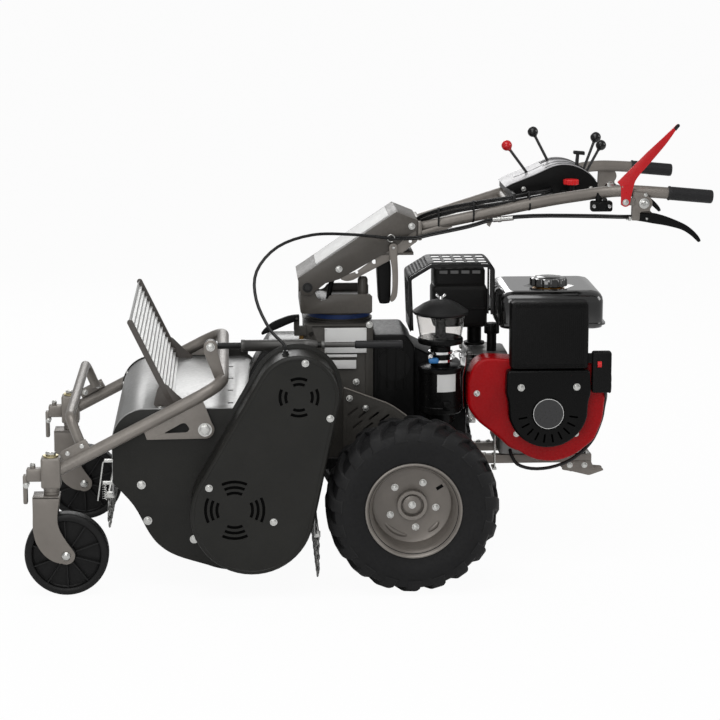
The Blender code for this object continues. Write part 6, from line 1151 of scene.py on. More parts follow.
housing = piece("gearbox_cast", [
    block((-0.2480, -0.105, 0.262), (-0.0800, 0.105, 0.600), 0.0065),
    block((-0.2505, -0.1075, 0.5945), (-0.0790, 0.1075, 0.6005), 0.0025),
    block((-0.120, -0.080, 0.148), (0.080, 0.080, 0.2697), 0.012),
    lathe([(0.0, 0.5990), (0.0830, 0.5990), (0.0830, 0.6035), (0.0770, 0.6050), (0.0770, 0.6245),
           (0.0, 0.6245)], (*NECK_AXIS, 0.0), "Z", 56),
    *[lathe([(0.0180, sign * 0.078), (0.0460, sign * 0.078), (0.0460, sign * 0.092), (0.0330, sign * 0.098),
             (0.0300, sign * 0.110), (0.0300, sign * 0.285), (0.0360, sign * 0.290), (0.0360, sign * 0.3013),
             (0.0180, sign * 0.3013)], (0.0, 0.0, TYRE_RADIUS), steps=36, closed=True) for sign in (-1, 1)],
    block((-0.274, -0.1187, 0.575), (-0.244, -0.0987, 0.598), 0.002),
    block((-0.275, -0.1197, 0.590), (-0.261, -0.1137, 0.627), 0.002),
    pin(HITCH_PIN, -0.132, -0.118, 0.003),
    block((-0.2490, -0.1090, 0.268), (-0.2300, -0.1040, 0.598), 0.002),
    block((-0.0990, -0.1090, 0.268), (-0.0795, -0.1040, 0.598), 0.002),
], CAST_GREY, "chassis")
carve(housing, [pin((-0.2316, 0.0, 0.5767), -0.13, -0.098, 0.0062, "Y", 20, 0.0001)], overlapping=True)
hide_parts("gearbox_housing")
piece("neck_seal", [lathe([(0.0765, 0.6080), (0.0785, 0.6085), (0.0785, 0.6190), (0.0765, 0.6195)],
                          (*NECK_AXIS, 0.0), "Z", 56, closed=True)], SEAL_BLUE, "chassis")
piece("breather", [lathe([(0.0, 0.5600), (0.0045, 0.5600), (0.0045, 0.5660), (0.0062, 0.5670),
                          (0.0062, 0.5800), (0.0045, 0.5810), (0.0045, 0.5860), (0.0025, 0.5885),
                          (0.0, 0.5885)], (-0.2560, -0.112, 0.0), "Z", 6)], BRASS, "chassis")
plates = [((-0.1990, 0.5300), (-0.0960, 0.5925)), ((-0.1950, 0.5195), (-0.1195, 0.5262)),
          ((-0.1810, 0.4905), (-0.1215, 0.5120))]
piece("blank_plates", [block((x0, -0.1105, z0), (x1, -0.1085, z1), 0.0006) for (x0, z0), (x1, z1) in plates],
      PLATE_WHITE, "chassis")
trumpet_turns = np.radians(np.arange(0, 360, 60))
rivets = [(x, -0.1105, z) for x in (-0.1955, -0.0995) for z in (0.5335, 0.5890)]
piece("gearbox_screws", [
    *bolts([(-0.1215, -0.108, 0.4571), (-0.2400, -0.108, 0.500), (-0.2400, -0.108, 0.330),
            (-0.0890, -0.108, 0.600)], 0.0068, 0.0045),
    *[pin((x, 0, z), y - 0.0012, y, 0.0016, "Y", 12, 0.0003) for x, y, z in rivets],
    *[shape for out in (-1.0, 1.0) for shape in bolts(
        [(0.034 * math.cos(a), out * 0.092, TYRE_RADIUS + 0.034 * math.sin(a)) for a in trumpet_turns],
        0.0055, 0.0045, out=out)]], ZINC, "chassis")


# Drive case and side cover. A black case takes the drive from the engine to the gearbox. Beside it, a louvred
# steel plate with a rolled top edge stands off on three spacers.
case = piece("drive_case_cast", [
    prism(rounded_loop([(-0.0797, 0.400), (-0.0797, 0.270), (0.0230, 0.270), (0.0230, 0.545), (0.000, 0.575),
                        (-0.0797, 0.575)], 0.008, 4), -0.112, 0.112, 0.005, steps=3),
    prism(rounded_loop([(0.014, 0.400), (0.014, 0.271), (0.1547, 0.271), (0.1547, 0.470), (0.014, 0.540)],
                       0.010, 4), -0.0595, 0.1115, 0.004, steps=3),
    *[block((-0.070 + i * 0.022, -0.1160, 0.440), (-0.065 + i * 0.022, -0.110, 0.560), 0.0015)
      for i in range(4)],
    lathe(flanged(-0.115, -0.100, 0.030, 0.040, 0.006), (-0.028, 0.0, 0.500), steps=32)], BLACK_SATIN,
             "chassis")
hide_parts("drive_case")
cover_outline = rounded_loop([(-0.1555, 0.350), (-0.1555, 0.4527), (-0.1366, 0.4455), (-0.040, 0.4093),
                              (0.012, 0.3718), (0.040, 0.3200), (0.040, 0.262), (-0.1555, 0.262)], 0.008, 3)
side_cover = piece("side_cover_pressed", [prism(cover_outline, -0.1515, -0.1485, 0.0010)], CAST_GREY,
                   "chassis")
lean = math.radians(38)
turned = np.array([[math.cos(lean), math.sin(lean)], [-math.sin(lean), math.cos(lean)]])
louvre = np.concatenate([arc(0.0125, 0.0, 0.0027, -90, 90, 6),
                         arc(-0.0125, 0.0, 0.0027, 90, 270, 6)]) @ turned
carve(side_cover, [prism(louvre + [x + i * 0.026, z - i * 0.006], -0.16, -0.14, 0.0001)
                   for count, x, z in ((4, -0.132, 0.3920), (3, -0.120, 0.3600)) for i in range(count)])
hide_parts("side_cover")
lip = [(-0.1540, -0.1510, 0.4515), (-0.1366, -0.1510, 0.4450), (-0.0400, -0.1510, 0.4088),
       (0.0115, -0.1510, 0.3713), (0.0390, -0.1510, 0.3200)]
piece("side_cover_lip", [sweep(rounded_path(lip, 0.02, 5), circle(0.0019, 10), (0.0, 1.0, 0.0))], TAUPE,
      "chassis")
cover_spacers = [(-0.140, 0.425), (-0.100, 0.400), (-0.140, 0.285)]
piece("side_cover_bolts", [
    *[pin((x, 0.0, z), -0.149, -0.1055, 0.006) for x, z in cover_spacers],
    *bolts([(x, -0.1515, z) for x, z in cover_spacers], 0.0065, 0.0045)], ZINC, "chassis")


# Engine frame. Two channel rails bolted to the axle box, tied by cross plates, with a pressed stand foot at
# the rear.
frame_parts = [block((0.0803, y - 0.012, 0.240), (0.470, y + 0.012, 0.2617), 0.002) for y in (-0.070, 0.070)]
frame_parts += [block((x, -0.070, 0.242), (x + 0.030, 0.070, 0.2595), 0.002) for x in (0.0803, 0.250, 0.440)]
stand = rounded_loop([(0.430, 0.2440), (0.400, 0.2440), (0.3945, 0.2222), (0.4200, 0.2180), (0.4640, 0.2070),
                      (0.5010, 0.2200), (0.4975, 0.2260), (0.4740, 0.2280), (0.4690, 0.2440)], 0.005, 3)
frame_parts += [prism(stand, -0.0848, -0.0808, 0.0010), prism(stand, -0.0592, -0.0552, 0.0010),
                block((0.4150, -0.0840, 0.2175), (0.4650, -0.0560, 0.2215), 0.001)]
engine_frame = piece("engine_frame_welded", frame_parts, TAUPE, "chassis")
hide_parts("engine_frame")
piece("frame_fixings", [
    *bolts([(x, y, 0.2617) for x in (0.100, 0.200, 0.225, 0.4575) for y in (-0.072, 0.072)], 0.006, 0.004,
           "Z", 1.0),
    *bolts([(0.415, -0.0848, 0.234), (0.452, -0.0848, 0.234)], 0.006, 0.0045),
    pin((0.2220, -0.120, 0.0), 0.236, 0.322, 0.0024, "Z", 12),
    block((0.2170, -0.1240, 0.2330), (0.2270, -0.0800, 0.2380), 0.001)], ZINC, "chassis")


# Hitch lever. A black moulded pedal that frees the deck. It turns on a pin beside the small ear at the top of
# the gearbox's front face.
pedal = smooth([(-0.2620, 0.6300), (-0.2780, 0.6290), (-0.2960, 0.6245), (-0.3260, 0.6120), (-0.3440, 0.5980),
                (-0.3540, 0.5860), (-0.3520, 0.5805), (-0.3420, 0.5840), (-0.3200, 0.5925), (-0.2960, 0.6030),
                (-0.2790, 0.6100), (-0.2700, 0.6135), (-0.2620, 0.6140)], 4)
hitch = piece("hitch_pedal", [prism(pedal, -0.1300, -0.1200, 0.0025, steps=3)], BLACK_SATIN, "hitch_lever")
carve(hitch, [pin(HITCH_PIN, -0.14, -0.11, 0.0033, "Y", 16, 0.0001)])
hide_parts("hitch_lever")


# Engine block. A die-cast alloy crankcase that stands on the rails, with a round bolted cover on its right
# side. A finned cylinder stands out of its front, closed by a head with four bolts.
CRANK = (0.345, 0.385)
ALLOY = skin("die_cast_alloy", (0.20, 0.20, 0.195), (0.5, 0.5, 0.49), blotch=0.3, wear=0.4,
             sheen=(0.36, 0.52), grain=(380.0, 0.0004), metallic=0.7)
ENGINE_BLACK = skin("engine_black", (0.003, 0.003, 0.003), (0.015, 0.015, 0.015), blotch=0.2, wear=0.3,
                    sheen=(0.24, 0.38), grain=(420.0, 0.0002), specular=0.12)
fins = [block((0.158, -0.060, z), (0.240, 0.105, z + 0.0035), 0.0012)
        for z in np.arange(0.362, 0.512, 0.0115)]
engine_block = piece("crankcase_cast", [
    block((0.235, -0.088, 0.2625), (0.455, 0.130, 0.470), 0.010),
    block((0.176, -0.040, 0.3520), (0.262, 0.085, 0.516), 0.008),
    block((0.156, -0.050, 0.3560), (0.172, 0.095, 0.5200), 0.004), *fins,
    lathe(flanged(0.142, 0.128, 0.070, 0.082, 0.006), (CRANK[0], 0.0, CRANK[1]), steps=48),
    lathe([(0.0, 0.128), (0.022, 0.128), (0.022, 0.1415), (0.0, 0.1415)], (0.2620, 0.0, 0.300), steps=24)],
    ALLOY, "chassis")
carve(engine_block, [pin((CRANK[0], 0.0, CRANK[1]), 0.10, 0.17, 0.0135, "Y", 28, 0.0001)], overlapping=True)
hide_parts("crankcase")
head_turns = np.radians(np.arange(0, 360, 45) + 22.5)
piece("crankcase_screws", [
    *bolts([(CRANK[0] + 0.076 * math.cos(a), 0.136, CRANK[1] + 0.076 * math.sin(a)) for a in head_turns],
           0.0055, 0.0045, out=1.0),
    *bolts([(0.156, y, z) for y in (-0.040, 0.085) for z in (0.368, 0.508)], 0.0065, 0.005, "X", -1.0),
    block((0.1560, -0.1080, 0.3500), (0.1750, -0.1020, 0.3900), 0.0015),
    *bolts([(0.1655, -0.108, 0.3830), (0.1655, -0.108, 0.3590)], 0.0045, 0.0035)], ZINC, "chassis")


# Loom hose. A black rubber sleeve, 8.4 mm thick, round the engine's wires. It drops from the switch box,
# round the shroud's rear edge, and ends under the engine block.
HOSE = smooth([(0.4860, -0.1760, 0.4400), (0.4890, -0.1700, 0.4330), (0.4935, -0.1400, 0.4180),
               (0.4930, -0.1160, 0.3900), (0.4880, -0.1120, 0.3560), (0.4690, -0.1120, 0.3080),
               (0.4400, -0.1120, 0.2740), (0.4050, -0.1120, 0.2500), (0.3600, -0.1120, 0.2350),
               (0.3150, -0.1120, 0.2330), (0.2800, -0.1080, 0.2440), (0.2660, -0.0960, 0.2660),
               (0.2640, -0.0860, 0.2760)], 3)
loom = piece("loom_hose", [sweep(HOSE, circle(0.0042, 12), (0.3, 1.0, 0.1))], GRIP_RUBBER, "chassis")


# Fan shroud and recoil cover. The shroud is pressed from sheet steel and painted red. The black recoil cover
# bolts on to it with zinc screws and carries a plain disc in the middle.
SHROUD_RED = skin("signal_red_paint", (0.36, 0.0025, 0.005), blotch=0.25, wear=0.0,
                  sheen=(0.22, 0.34), grain=(260.0, 0.00015), specular=0.16)
DISC_GREY = skin("printed_disc", (0.030, 0.030, 0.031), blotch=0.1, wear=0.0, sheen=(0.25, 0.35),
                 specular=0.4)
SHROUD_FRONT = -0.162
RECOIL_FRONT = -0.196


def shroud_outline(grow=0.0):
    """The shroud from the left: a flat shoulder to the cylinder and a round belly."""
    belly = arc(CRANK[0] + 0.010, 0.385, 0.1225, -52, -128, 16)
    corner = [(0.1500, 0.430), (0.1500, 0.4640), (0.1640, 0.5070), (0.1900, 0.5230), (0.4600, 0.5100),
              (0.4780, 0.5020), (0.4880, 0.4600), (0.4890, 0.4200), (0.4840, 0.3650), (0.4640, 0.3150)]
    lower = [(0.2560, 0.2960), (0.2200, 0.3300), (0.1760, 0.3640), (0.1500, 0.4000)]
    outline = rounded_loop([*corner, *belly, *lower], 0.014, 3)
    return inset(outline, -grow) if grow else outline


def recoil_outline(grow=0.0):
    """The recoil cover from the left: square shoulders, small waists and a round bottom."""
    bottom = arc(CRANK[0], 0.4040, 0.0990, -14, -166, 24)
    outline = rounded_loop([(0.3450, 0.4975), (0.4470, 0.4975), (0.4500, 0.4400), (0.4430, 0.4180), *bottom,
                            (0.2470, 0.4180), (0.2405, 0.4400), (0.2425, 0.4975)], 0.010, 3)
    return inset(outline, -grow) if grow else outline


shroud = piece("fan_shroud_pressed",
               [pressed_shell(shroud_outline, -0.0885, SHROUD_FRONT, 0.0070, wall=0.0018)], SHROUD_RED,
               "chassis")
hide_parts("fan_shroud")
RECOIL_MIDDLE = np.array([CRANK[0], 0.0, 0.3905])
recoil = piece("recoil_cover_moulded", [
    pressed_shell(recoil_outline, -0.1623, RECOIL_FRONT, 0.0060, wall=0.0025),
    lathe([(0.0, RECOIL_FRONT - 0.0035), (0.0385, RECOIL_FRONT - 0.0035), (0.0400, RECOIL_FRONT - 0.0020),
           (0.0410, RECOIL_FRONT + 0.0005), (0.0, RECOIL_FRONT + 0.0005)], RECOIL_MIDDLE, steps=64)],
    ENGINE_BLACK, "chassis")
wedge = block((CRANK[0] - 0.0022, RECOIL_FRONT - 0.01, RECOIL_MIDDLE[2] + 0.052),
              (CRANK[0] + 0.0022, RECOIL_FRONT + 0.01, RECOIL_MIDDLE[2] + 0.074), 0.0015)
wedges = [spin(wedge, RECOIL_MIDDLE, [turn]) for turn in range(100, 265, 18)]
carve(recoil, wedges, overlapping=True)
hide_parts("recoil_cover")
# A black disc behind the recoil cover's slots stands in for the dark inside it: painted shade.
piece("recoil_slot_shade",
      [lathe([(0.0, SHROUD_FRONT - 0.0022), (0.0820, SHROUD_FRONT - 0.0022), (0.0820, SHROUD_FRONT - 0.0012),
              (0.0, SHROUD_FRONT - 0.0012)], RECOIL_MIDDLE, steps=48)], GAP_SHADE_BLACK, "chassis")
piece("recoil_disc", [
    lathe([(0.0, RECOIL_FRONT - 0.0042), (0.0370, RECOIL_FRONT - 0.0042), (0.0370, RECOIL_FRONT - 0.0034),
           (0.0, RECOIL_FRONT - 0.0034)], RECOIL_MIDDLE, steps=64)], DISC_GREY, "chassis")
piece("recoil_disc_ring", [
    lathe([(0.0362, RECOIL_FRONT - 0.0046), (0.0372, RECOIL_FRONT - 0.0046), (0.0375, RECOIL_FRONT - 0.0038),
           (0.0360, RECOIL_FRONT - 0.0038)], RECOIL_MIDDLE, steps=64, closed=True)],
    PLATE_WHITE, "chassis")
piece("recoil_screws", [
    *bolts([(0.2773, RECOIL_FRONT, 0.4560), (0.4139, RECOIL_FRONT, 0.4565)], 0.0072, 0.0050),
    *bolts([(0.2710, SHROUD_FRONT, 0.3330), (0.4180, SHROUD_FRONT, 0.3320), (0.1723, SHROUD_FRONT, 0.4359)],
           0.0062, 0.0045)], ZINC, "chassis")
refinish(["flywheel"], ALLOY)


# Muffler. A box folded from black painted steel, in two halves, with four pressed slots near its top. It
# stands on the exhaust pipe over the cylinder.
HEAT_BLACK = skin("heat_black_paint", (0.005, 0.005, 0.005), (0.03, 0.028, 0.025), blotch=0.35, wear=0.4,
                  sheen=(0.38, 0.55), grain=(300.0, 0.0004), specular=0.14)
MATT_GREY = skin("baked_grey_steel", (0.16, 0.16, 0.158), blotch=0.3, wear=0.0, sheen=(0.45, 0.6))
muffler = piece("muffler_box", [
    block((0.0735, -0.012, 0.5720), (0.2120, 0.080, 0.6800), 0.012),
    block((0.0800, 0.012, 0.5800), (0.2080, 0.125, 0.7200), 0.008),
    lathe([(0.0, 0.5205), (0.026, 0.5205), (0.026, 0.5270), (0.018, 0.5285), (0.018, 0.5760), (0.0, 0.5760)],
          (0.185, 0.050, 0.0), "Z", 28),
    block((0.0790, -0.0150, 0.6200), (0.2060, -0.0100, 0.6240), 0.0015)], HEAT_BLACK, "chassis")
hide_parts("muffler")
piece("muffler_slots",
      [block((0.0930 + i * 0.0275, 0.0112, 0.7060), (0.1130 + i * 0.0275, 0.0125, 0.7140), 0.0005)
       for i in range(4)], MATT_GREY, "chassis")


# Muffler guard. A black cage folded from perforated sheet: large squares on top, a fine mesh on the front
# slope, and upright slots in the front and rear walls, with a frame of strips on the near side.
guard_route = rounded_path([(0.0200, 0.5620), (0.0145, 0.7000), (0.0700, 0.7340), (0.2160, 0.7340),
                            (0.2300, 0.7190), (0.2300, 0.6020)], 0.006, 3)
cage = piece("muffler_guard_folded", [prism(ribbon(guard_route, 0.0024), 0.0005, 0.1500, 0.0006)],
             BLACK_SATIN, "chassis")
tools = []
for i in range(5):
    for j in range(3):
        low = np.array([0.0790 + i * 0.0280, 0.0120 + j * 0.0440])
        hole = rounded_loop([low + [0.010, 0.0], low + [0.021, 0.0], low + [0.021, 0.035],
                             low + [0.0, 0.035], low], 0.005, 2)
        tools.append(prism(hole, 0.70, 0.76, 0.0001, "XY"))
slope = np.array([0.0555, 0.0340]) / math.hypot(0.0555, 0.0340)
for i in range(6):
    centre = np.array([0.0145, 0.7000]) + slope * (0.0105 + i * 0.0090)
    for j in range(14):
        tools.append(block((centre[0] - 0.0022, 0.0100 + j * 0.0100, centre[1] - 0.012),
                           (centre[0] + 0.0022, 0.0165 + j * 0.0100, centre[1] + 0.012), 0.0003))
for j in range(3):
    y = 0.012 + j * 0.045
    tools.append(block((0.005, y, 0.592), (0.030, y + 0.036, 0.686), 0.004))
    tools.append(block((0.222, y, 0.632), (0.240, y + 0.036, 0.704), 0.004))
carve(cage, tools)
near_frame = [
    prism(ribbon(rounded_path([(0.0235, 0.5640), (0.0180, 0.6950), (0.0715, 0.7275), (0.2150, 0.7275),
                               (0.2255, 0.7165), (0.2255, 0.6040)], 0.006, 3), 0.0090), 0.0002, 0.0022,
          0.0006),
    prism([(0.2120, 0.6060), (0.2165, 0.6060), (0.2165, 0.7250), (0.2120, 0.7250)], 0.0003, 0.0020, 0.0005),
    block((0.2115, 0.0450, 0.6060), (0.2290, 0.0850, 0.6120), 0.001)]
piece("muffler_guard_frame", near_frame, BLACK_GLOSS, "chassis")
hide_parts("muffler_guard")


# Air cleaner. A round black canister with a blank label, a clear pre-cleaner bowl clamped on its lid round a
# dark stem, and a rubbery mushroom cap held by a wing nut.
CLEANER = (0.0855, -0.120)
CLEAR_BOWL = bpy.data.materials.new("clear_bowl_plastic")
CLEAR_BOWL.use_nodes = True
bowl_tree = CLEAR_BOWL.node_tree
bowl_shader = bowl_tree.nodes["Principled BSDF"]
bowl_shader.inputs["Transmission Weight"].default_value = 1.0
bowl_shader.inputs["IOR"].default_value = 1.25
bowl_noise = node(bowl_tree, "TexNoise", Vector=bowl_tree.nodes.new("ShaderNodeTexCoord").outputs["Object"],
                  Scale=60.0)
bowl_haze = node(bowl_tree, "MapRange", Value=bowl_noise.outputs["Fac"], _1=0.3, _2=0.7, _3=0.01, _4=0.07)
bowl_tree.links.new(bowl_haze.outputs[0], bowl_shader.inputs["Roughness"])
bowl_tree.links.new(mix_colours(bowl_tree, bowl_noise.outputs["Fac"], (0.96, 0.95, 0.94, 1.0),
                                (0.88, 0.86, 0.84, 1.0)), bowl_shader.inputs["Base Color"])
CHROME = skin("bright_chrome", (0.70, 0.70, 0.70), blotch=0.08, wear=0.0, sheen=(0.06, 0.14),
              grain=(200.0, 0.00005), metallic=1.0)
CAP_BLACK = skin("soft_black_plastic", (0.010, 0.010, 0.010), blotch=0.25, wear=0.0, sheen=(0.42, 0.55),
                 grain=(900.0, 0.0003), specular=0.25)
BLUE_CLIP = skin("blue_hose_clip", (0.02, 0.16, 0.42), blotch=0.2, wear=0.0, sheen=(0.3, 0.42))
centre = (*CLEANER, 0.0)
canister = piece("air_cleaner_canister", [
    lathe([(0.0, 0.3600), (0.036, 0.3600), (0.036, 0.3800), (0.0500, 0.3830), (0.0530, 0.3870),
           (0.0530, 0.4000), (0.0515, 0.4015), (0.0515, 0.4860), (0.0545, 0.4880), (0.0545, 0.4960),
           (0.0500, 0.4990), (0.0240, 0.5010), (0.0240, 0.5060), (0.0, 0.5060)], centre, "Z", 64),
    block((0.0705, -0.0800, 0.430), (0.1005, -0.0603, 0.460), 0.002),
    block((0.0880, -0.1765, 0.3950), (0.1080, -0.1690, 0.4180), 0.003)], ENGINE_BLACK, "chassis")
stem_parts = piece("air_cleaner_stem", [
    lathe([(0.0, 0.5050), (0.0240, 0.5050), (0.0250, 0.5480), (0.0540, 0.5560), (0.0555, 0.5600),
           (0.0555, 0.5670), (0.0530, 0.5705), (0.0160, 0.5720), (0.0130, 0.5800), (0.0125, 0.6250),
           (0.0, 0.6250)], centre, "Z", 64)], ENGINE_BLACK, "chassis")
for shape in (canister, stem_parts):
    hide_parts("air_cleaner")
piece("precleaner_bowl",
      [lathe([(0.0510, 0.5712), (0.0600, 0.6215), (0.0600, 0.6250), (0.0585, 0.6250), (0.0583, 0.6215),
              (0.0494, 0.5712)], centre, "Z", 72, closed=True)], CLEAR_BOWL, "chassis")
piece("precleaner_cap", [
    lathe([(0.0, 0.6262), (0.0600, 0.6262), (0.0660, 0.6285), (0.0685, 0.6320), (0.0680, 0.6360),
           (0.0610, 0.6410), (0.0440, 0.6525), (0.0280, 0.6600), (0.0120, 0.6640), (0.0, 0.6645)], centre,
          "Z", 72)], CAP_BLACK, "chassis")
wing_line = np.concatenate([arc(0.0095, 0.6740, 0.0035, -60, 130, 8), [(0.002, 0.6690), (0.002, 0.6640)]])
wing_points, wing_faces = prism(wing_line, -0.0013, 0.0013, 0.0006)
wing = (wing_points + centre, wing_faces)
piece("wing_nut", [lathe([(0.0, 0.6640), (0.0060, 0.6640), (0.0050, 0.6715), (0.0, 0.6720)], centre, "Z", 20),
                   wing, spin(wing, np.array(centre), [180], "Z")],
      CHROME, "chassis")
label_turn = np.radians(np.linspace(-13, 41, 14))[:, None]
label_z = np.linspace(0.4414, 0.4850, 5)[None, :]
label_sheet = [np.stack([np.broadcast_to(CLEANER[0] + r * np.sin(label_turn), (14, 5)),
                         np.broadcast_to(CLEANER[1] - r * np.cos(label_turn), (14, 5)),
                         np.broadcast_to(label_z, (14, 5))], axis=-1) for r in (0.0516, 0.0522)]
label_rings = np.concatenate([label_sheet[0], label_sheet[1][:, ::-1]], axis=1)
piece("blank_label", [grid(label_rings, wrap_columns=True, first_cap=True, last_cap=True)], PLATE_WHITE,
      "chassis")
clips = [lathe([(0.0250, 0.5100), (0.0290, 0.5100), (0.0290, 0.5160), (0.0250, 0.5160)], centre, "Z", 40,
               closed=True),
         lathe([(0.0260, 0.5300), (0.0300, 0.5300), (0.0300, 0.5360), (0.0260, 0.5360)], centre, "Z", 40,
               closed=True),
         sweep(rounded_path([(0.1120, -0.128, 0.5290), (0.1290, -0.128, 0.5370), (0.1440, -0.126, 0.5300),
                             (0.1450, -0.126, 0.4960), (0.1400, -0.126, 0.4700), (0.1405, -0.126, 0.4360),
                             (0.1430, -0.120, 0.3900)], 0.006, 4), circle(0.0026, 8), (0.0, 1.0, 0.0)),
         block((0.1330, -0.136, 0.4980), (0.1480, -0.118, 0.5240), 0.003),
         block((0.1300, -0.140, 0.5200), (0.1420, -0.128, 0.5330), 0.003)]
piece("air_cleaner_clips",
      [*clips, *bolts([(0.1150, -0.1400, 0.5250), (0.0580, -0.1560, 0.5280)], 0.0045, 0.006)], CHROME,
      "chassis")
piece("blue_clip", [block((0.0536, -0.1640, 0.5110), (0.0782, -0.1480, 0.5240), 0.004)], BLUE_CLIP, "chassis")


# Fuel tank. Two halves pressed from steel, welded along a seam and enamelled glossy black, on two posts. A
# six-sided hollow in its top goes round the brass neck.
TANK_BLACK = skin("black_enamel", (0.004, 0.004, 0.004), blotch=0.15, wear=0.0, sheen=(0.10, 0.18),
                  grain=(90.0, 0.0001), specular=0.6, coat=1.0)


def tank_body():
    """The tank: rounded boxes of six heights, whose plan shrinks towards the top with a round shoulder."""
    levels = [(0.0080, 0.5900), (0.0020, 0.5925), (0.0, 0.5990), (-0.0060, 0.6000), (-0.0060, 0.6045),
              (0.0, 0.6055), (0.0, 0.6560), (0.0015, 0.6660), (0.0060, 0.6740), (0.0130, 0.6795),
              (0.0240, 0.6825), (0.0300, 0.6830), (0.0330, 0.6830)]
    rings = []
    for draw, z in levels:
        low = np.array([0.2315 + draw, -0.1440 + draw])
        high = np.array([0.4860 - draw, 0.1350 - draw])
        r = max(0.026 - draw * 0.5, 0.010)
        plan = np.concatenate([arc(high[0] - r, high[1] - r, r, 0, 90, 6),
                               arc(low[0] + r, high[1] - r, r, 90, 180, 6),
                               arc(low[0] + r, low[1] + r, r, 180, 270, 6),
                               arc(high[0] - r, low[1] + r, r, 270, 360, 6)])
        rings.append(np.stack([plan[:, 0], plan[:, 1], np.full(len(plan), z)], axis=-1))
    return grid(np.stack(rings), wrap_columns=True, first_cap=True, last_cap=True)


CAP_PLACE = (0.3600, -0.045)
tank = piece("fuel_tank_pressed", [tank_body()], TANK_BLACK, "chassis")
hexagon_low = lay(hexagon(0.050, 0) + CAP_PLACE, 0.6745, "XY")
hexagon_high = lay(hexagon(0.066, 0) + CAP_PLACE, 0.6845, "XY")
carve(tank, [grid(np.stack([hexagon_low, hexagon_high]), wrap_columns=True, first_cap=True, last_cap=True)])
posts = piece("tank_posts", [block((x, 0.000, 0.4703), (x + 0.020, 0.060, 0.5960), 0.003)
                             for x in (0.280, 0.420)], BLACK_SATIN, "chassis")
for shape in (tank, posts):
    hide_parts("fuel_tank")
piece("tank_neck", [lathe([(0.0290, 0.6700), (0.0400, 0.6740), (0.0400, 0.6775), (0.0330, 0.6790),
                           (0.0330, 0.6905), (0.0290, 0.6905)], (*CAP_PLACE, 0.0), "Z", 48, closed=True)],
      BRASS, "chassis")


# Fuel cap. A black moulding with deep finger grooves round its rim, which turns on the tank's neck. The small
# oil cap on the cylinder has the same grooves.
def grooved(radius, count, depth):
    """A round outline with finger grooves: the radius dips by a depth, count times round."""
    t = np.linspace(0.0, 2 * np.pi, count * 10, endpoint=False)
    dip = np.clip(np.cos(t * count) - 0.1, 0.0, 1.0) ** 0.6
    return np.stack([np.cos(t), np.sin(t)], axis=-1) * (radius - depth * dip)[:, None]


cap_ring = grooved(0.0468, 12, 0.0055) + CAP_PLACE
cap_levels = ((0.0030, 0.6834), (0.0, 0.6860), (0.0, 0.7000), (0.0015, 0.7030), (0.0050, 0.7045))
cap_rings = [lay(inset(cap_ring, draw), z, "XY") for draw, z in cap_levels]
cap = piece("fuel_cap_moulded", [
    grid(np.stack(cap_rings), wrap_columns=True, first_cap=True, last_cap=True),
    lathe([(0.0, 0.7040), (0.0300, 0.7040), (0.0300, 0.7050), (0.0260, 0.7072), (0.0, 0.7072)],
          (*CAP_PLACE, 0.0), "Z", 48)], TANK_BLACK, "fuel_cap")
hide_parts("fuel_cap")
piece("oil_cap", [prism(grooved(0.0190, 12, 0.0025) + [0.2220, -0.020], 0.5600, 0.5860, 0.002, "XY"),
                  pin((0.2220, -0.020, 0.0), 0.5150, 0.5620, 0.0120, "Z", 24)], ENGINE_BLACK, "chassis")


# Panel and switch boxes. Moulded black covers with a pebbled face; the large one has rows of short ribs along
# its top and bottom edges, and the small one carries the rocker switch.
PEBBLED = skin("pebbled_black", (0.004, 0.004, 0.004), blotch=0.15, wear=0.0, sheen=(0.36, 0.50),
               grain=(330.0, 0.0011), specular=0.14)
panel = piece("panel_box_moulded", [
    block((0.2510, -0.1950, 0.5000), (0.4420, -0.1445, 0.6660), 0.0085),
    repeat(block((-0.0008, -0.1965, -0.0045), (0.0008, -0.1900, 0.0045), 0.0004),
           [(x, 0.0, z) for z in (0.5085, 0.6575) for x in np.arange(0.2620, 0.4330, 0.0034)]),
    repeat(block((-0.0011, -0.1957, -0.0660), (0.0011, -0.1940, 0.0660), 0.0006),
           [(x, 0.0, 0.5830) for x in np.arange(0.2620, 0.4330, 0.0048)]),
    block((0.4320, -0.1820, 0.5120), (0.4650, -0.1700, 0.5360), 0.002)], PEBBLED, "chassis")
switch_box = piece("switch_box_moulded",
                   [block((0.4530, -0.1900, 0.4390), (0.5000, -0.1625, 0.5410), 0.0045)], PEBBLED, "chassis")
carve(switch_box, [block((0.4644, -0.1960, 0.5024), (0.4756, -0.1780, 0.5196), 0.0005)])
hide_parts("panel_box")
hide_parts("panel_box")
piece("rocker_hinge", [pin((0.0, -0.1860, 0.5110), 0.4635, 0.4765, 0.0012, "X", 10, 0.0002)], ZINC, "chassis")
ROCKER_RED = skin("red_moulding", (0.62, 0.012, 0.014), blotch=0.1, wear=0.0, sheen=(0.25, 0.35),
                  specular=0.4)
refinish(["rocker_switch"], ROCKER_RED)


# Starter grip. A T handle moulded from soft black plastic, on the end of the starter's rope. The rope comes
# out of the shroud.
handle = smooth([(0.4990, 0.4400), (0.5040, 0.4262), (0.5090, 0.4275), (0.5103, 0.4400), (0.5100, 0.4510),
                 (0.5103, 0.4620), (0.5090, 0.4740), (0.5040, 0.4748), (0.4990, 0.4610), (0.4975, 0.4510),
                 (0.4990, 0.4400)], 4)[:-1]
grip = piece("starter_grip_moulded", [prism(handle, -0.1270, -0.1130, 0.0030, steps=3),
                                      lathe([(0.0, 0.4905), (0.0060, 0.4905), (0.0070, 0.4930),
                                             (0.0070, 0.4990), (0.0, 0.4990)], (0.0, -0.120, 0.4505), "X",
                                            20),
                                      pin((0.0, -0.120, 0.4505), 0.3950, 0.4920, 0.0022, "X", 12, 0.0003)],
             CAP_BLACK, "starter_grip")
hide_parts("starter_grip")


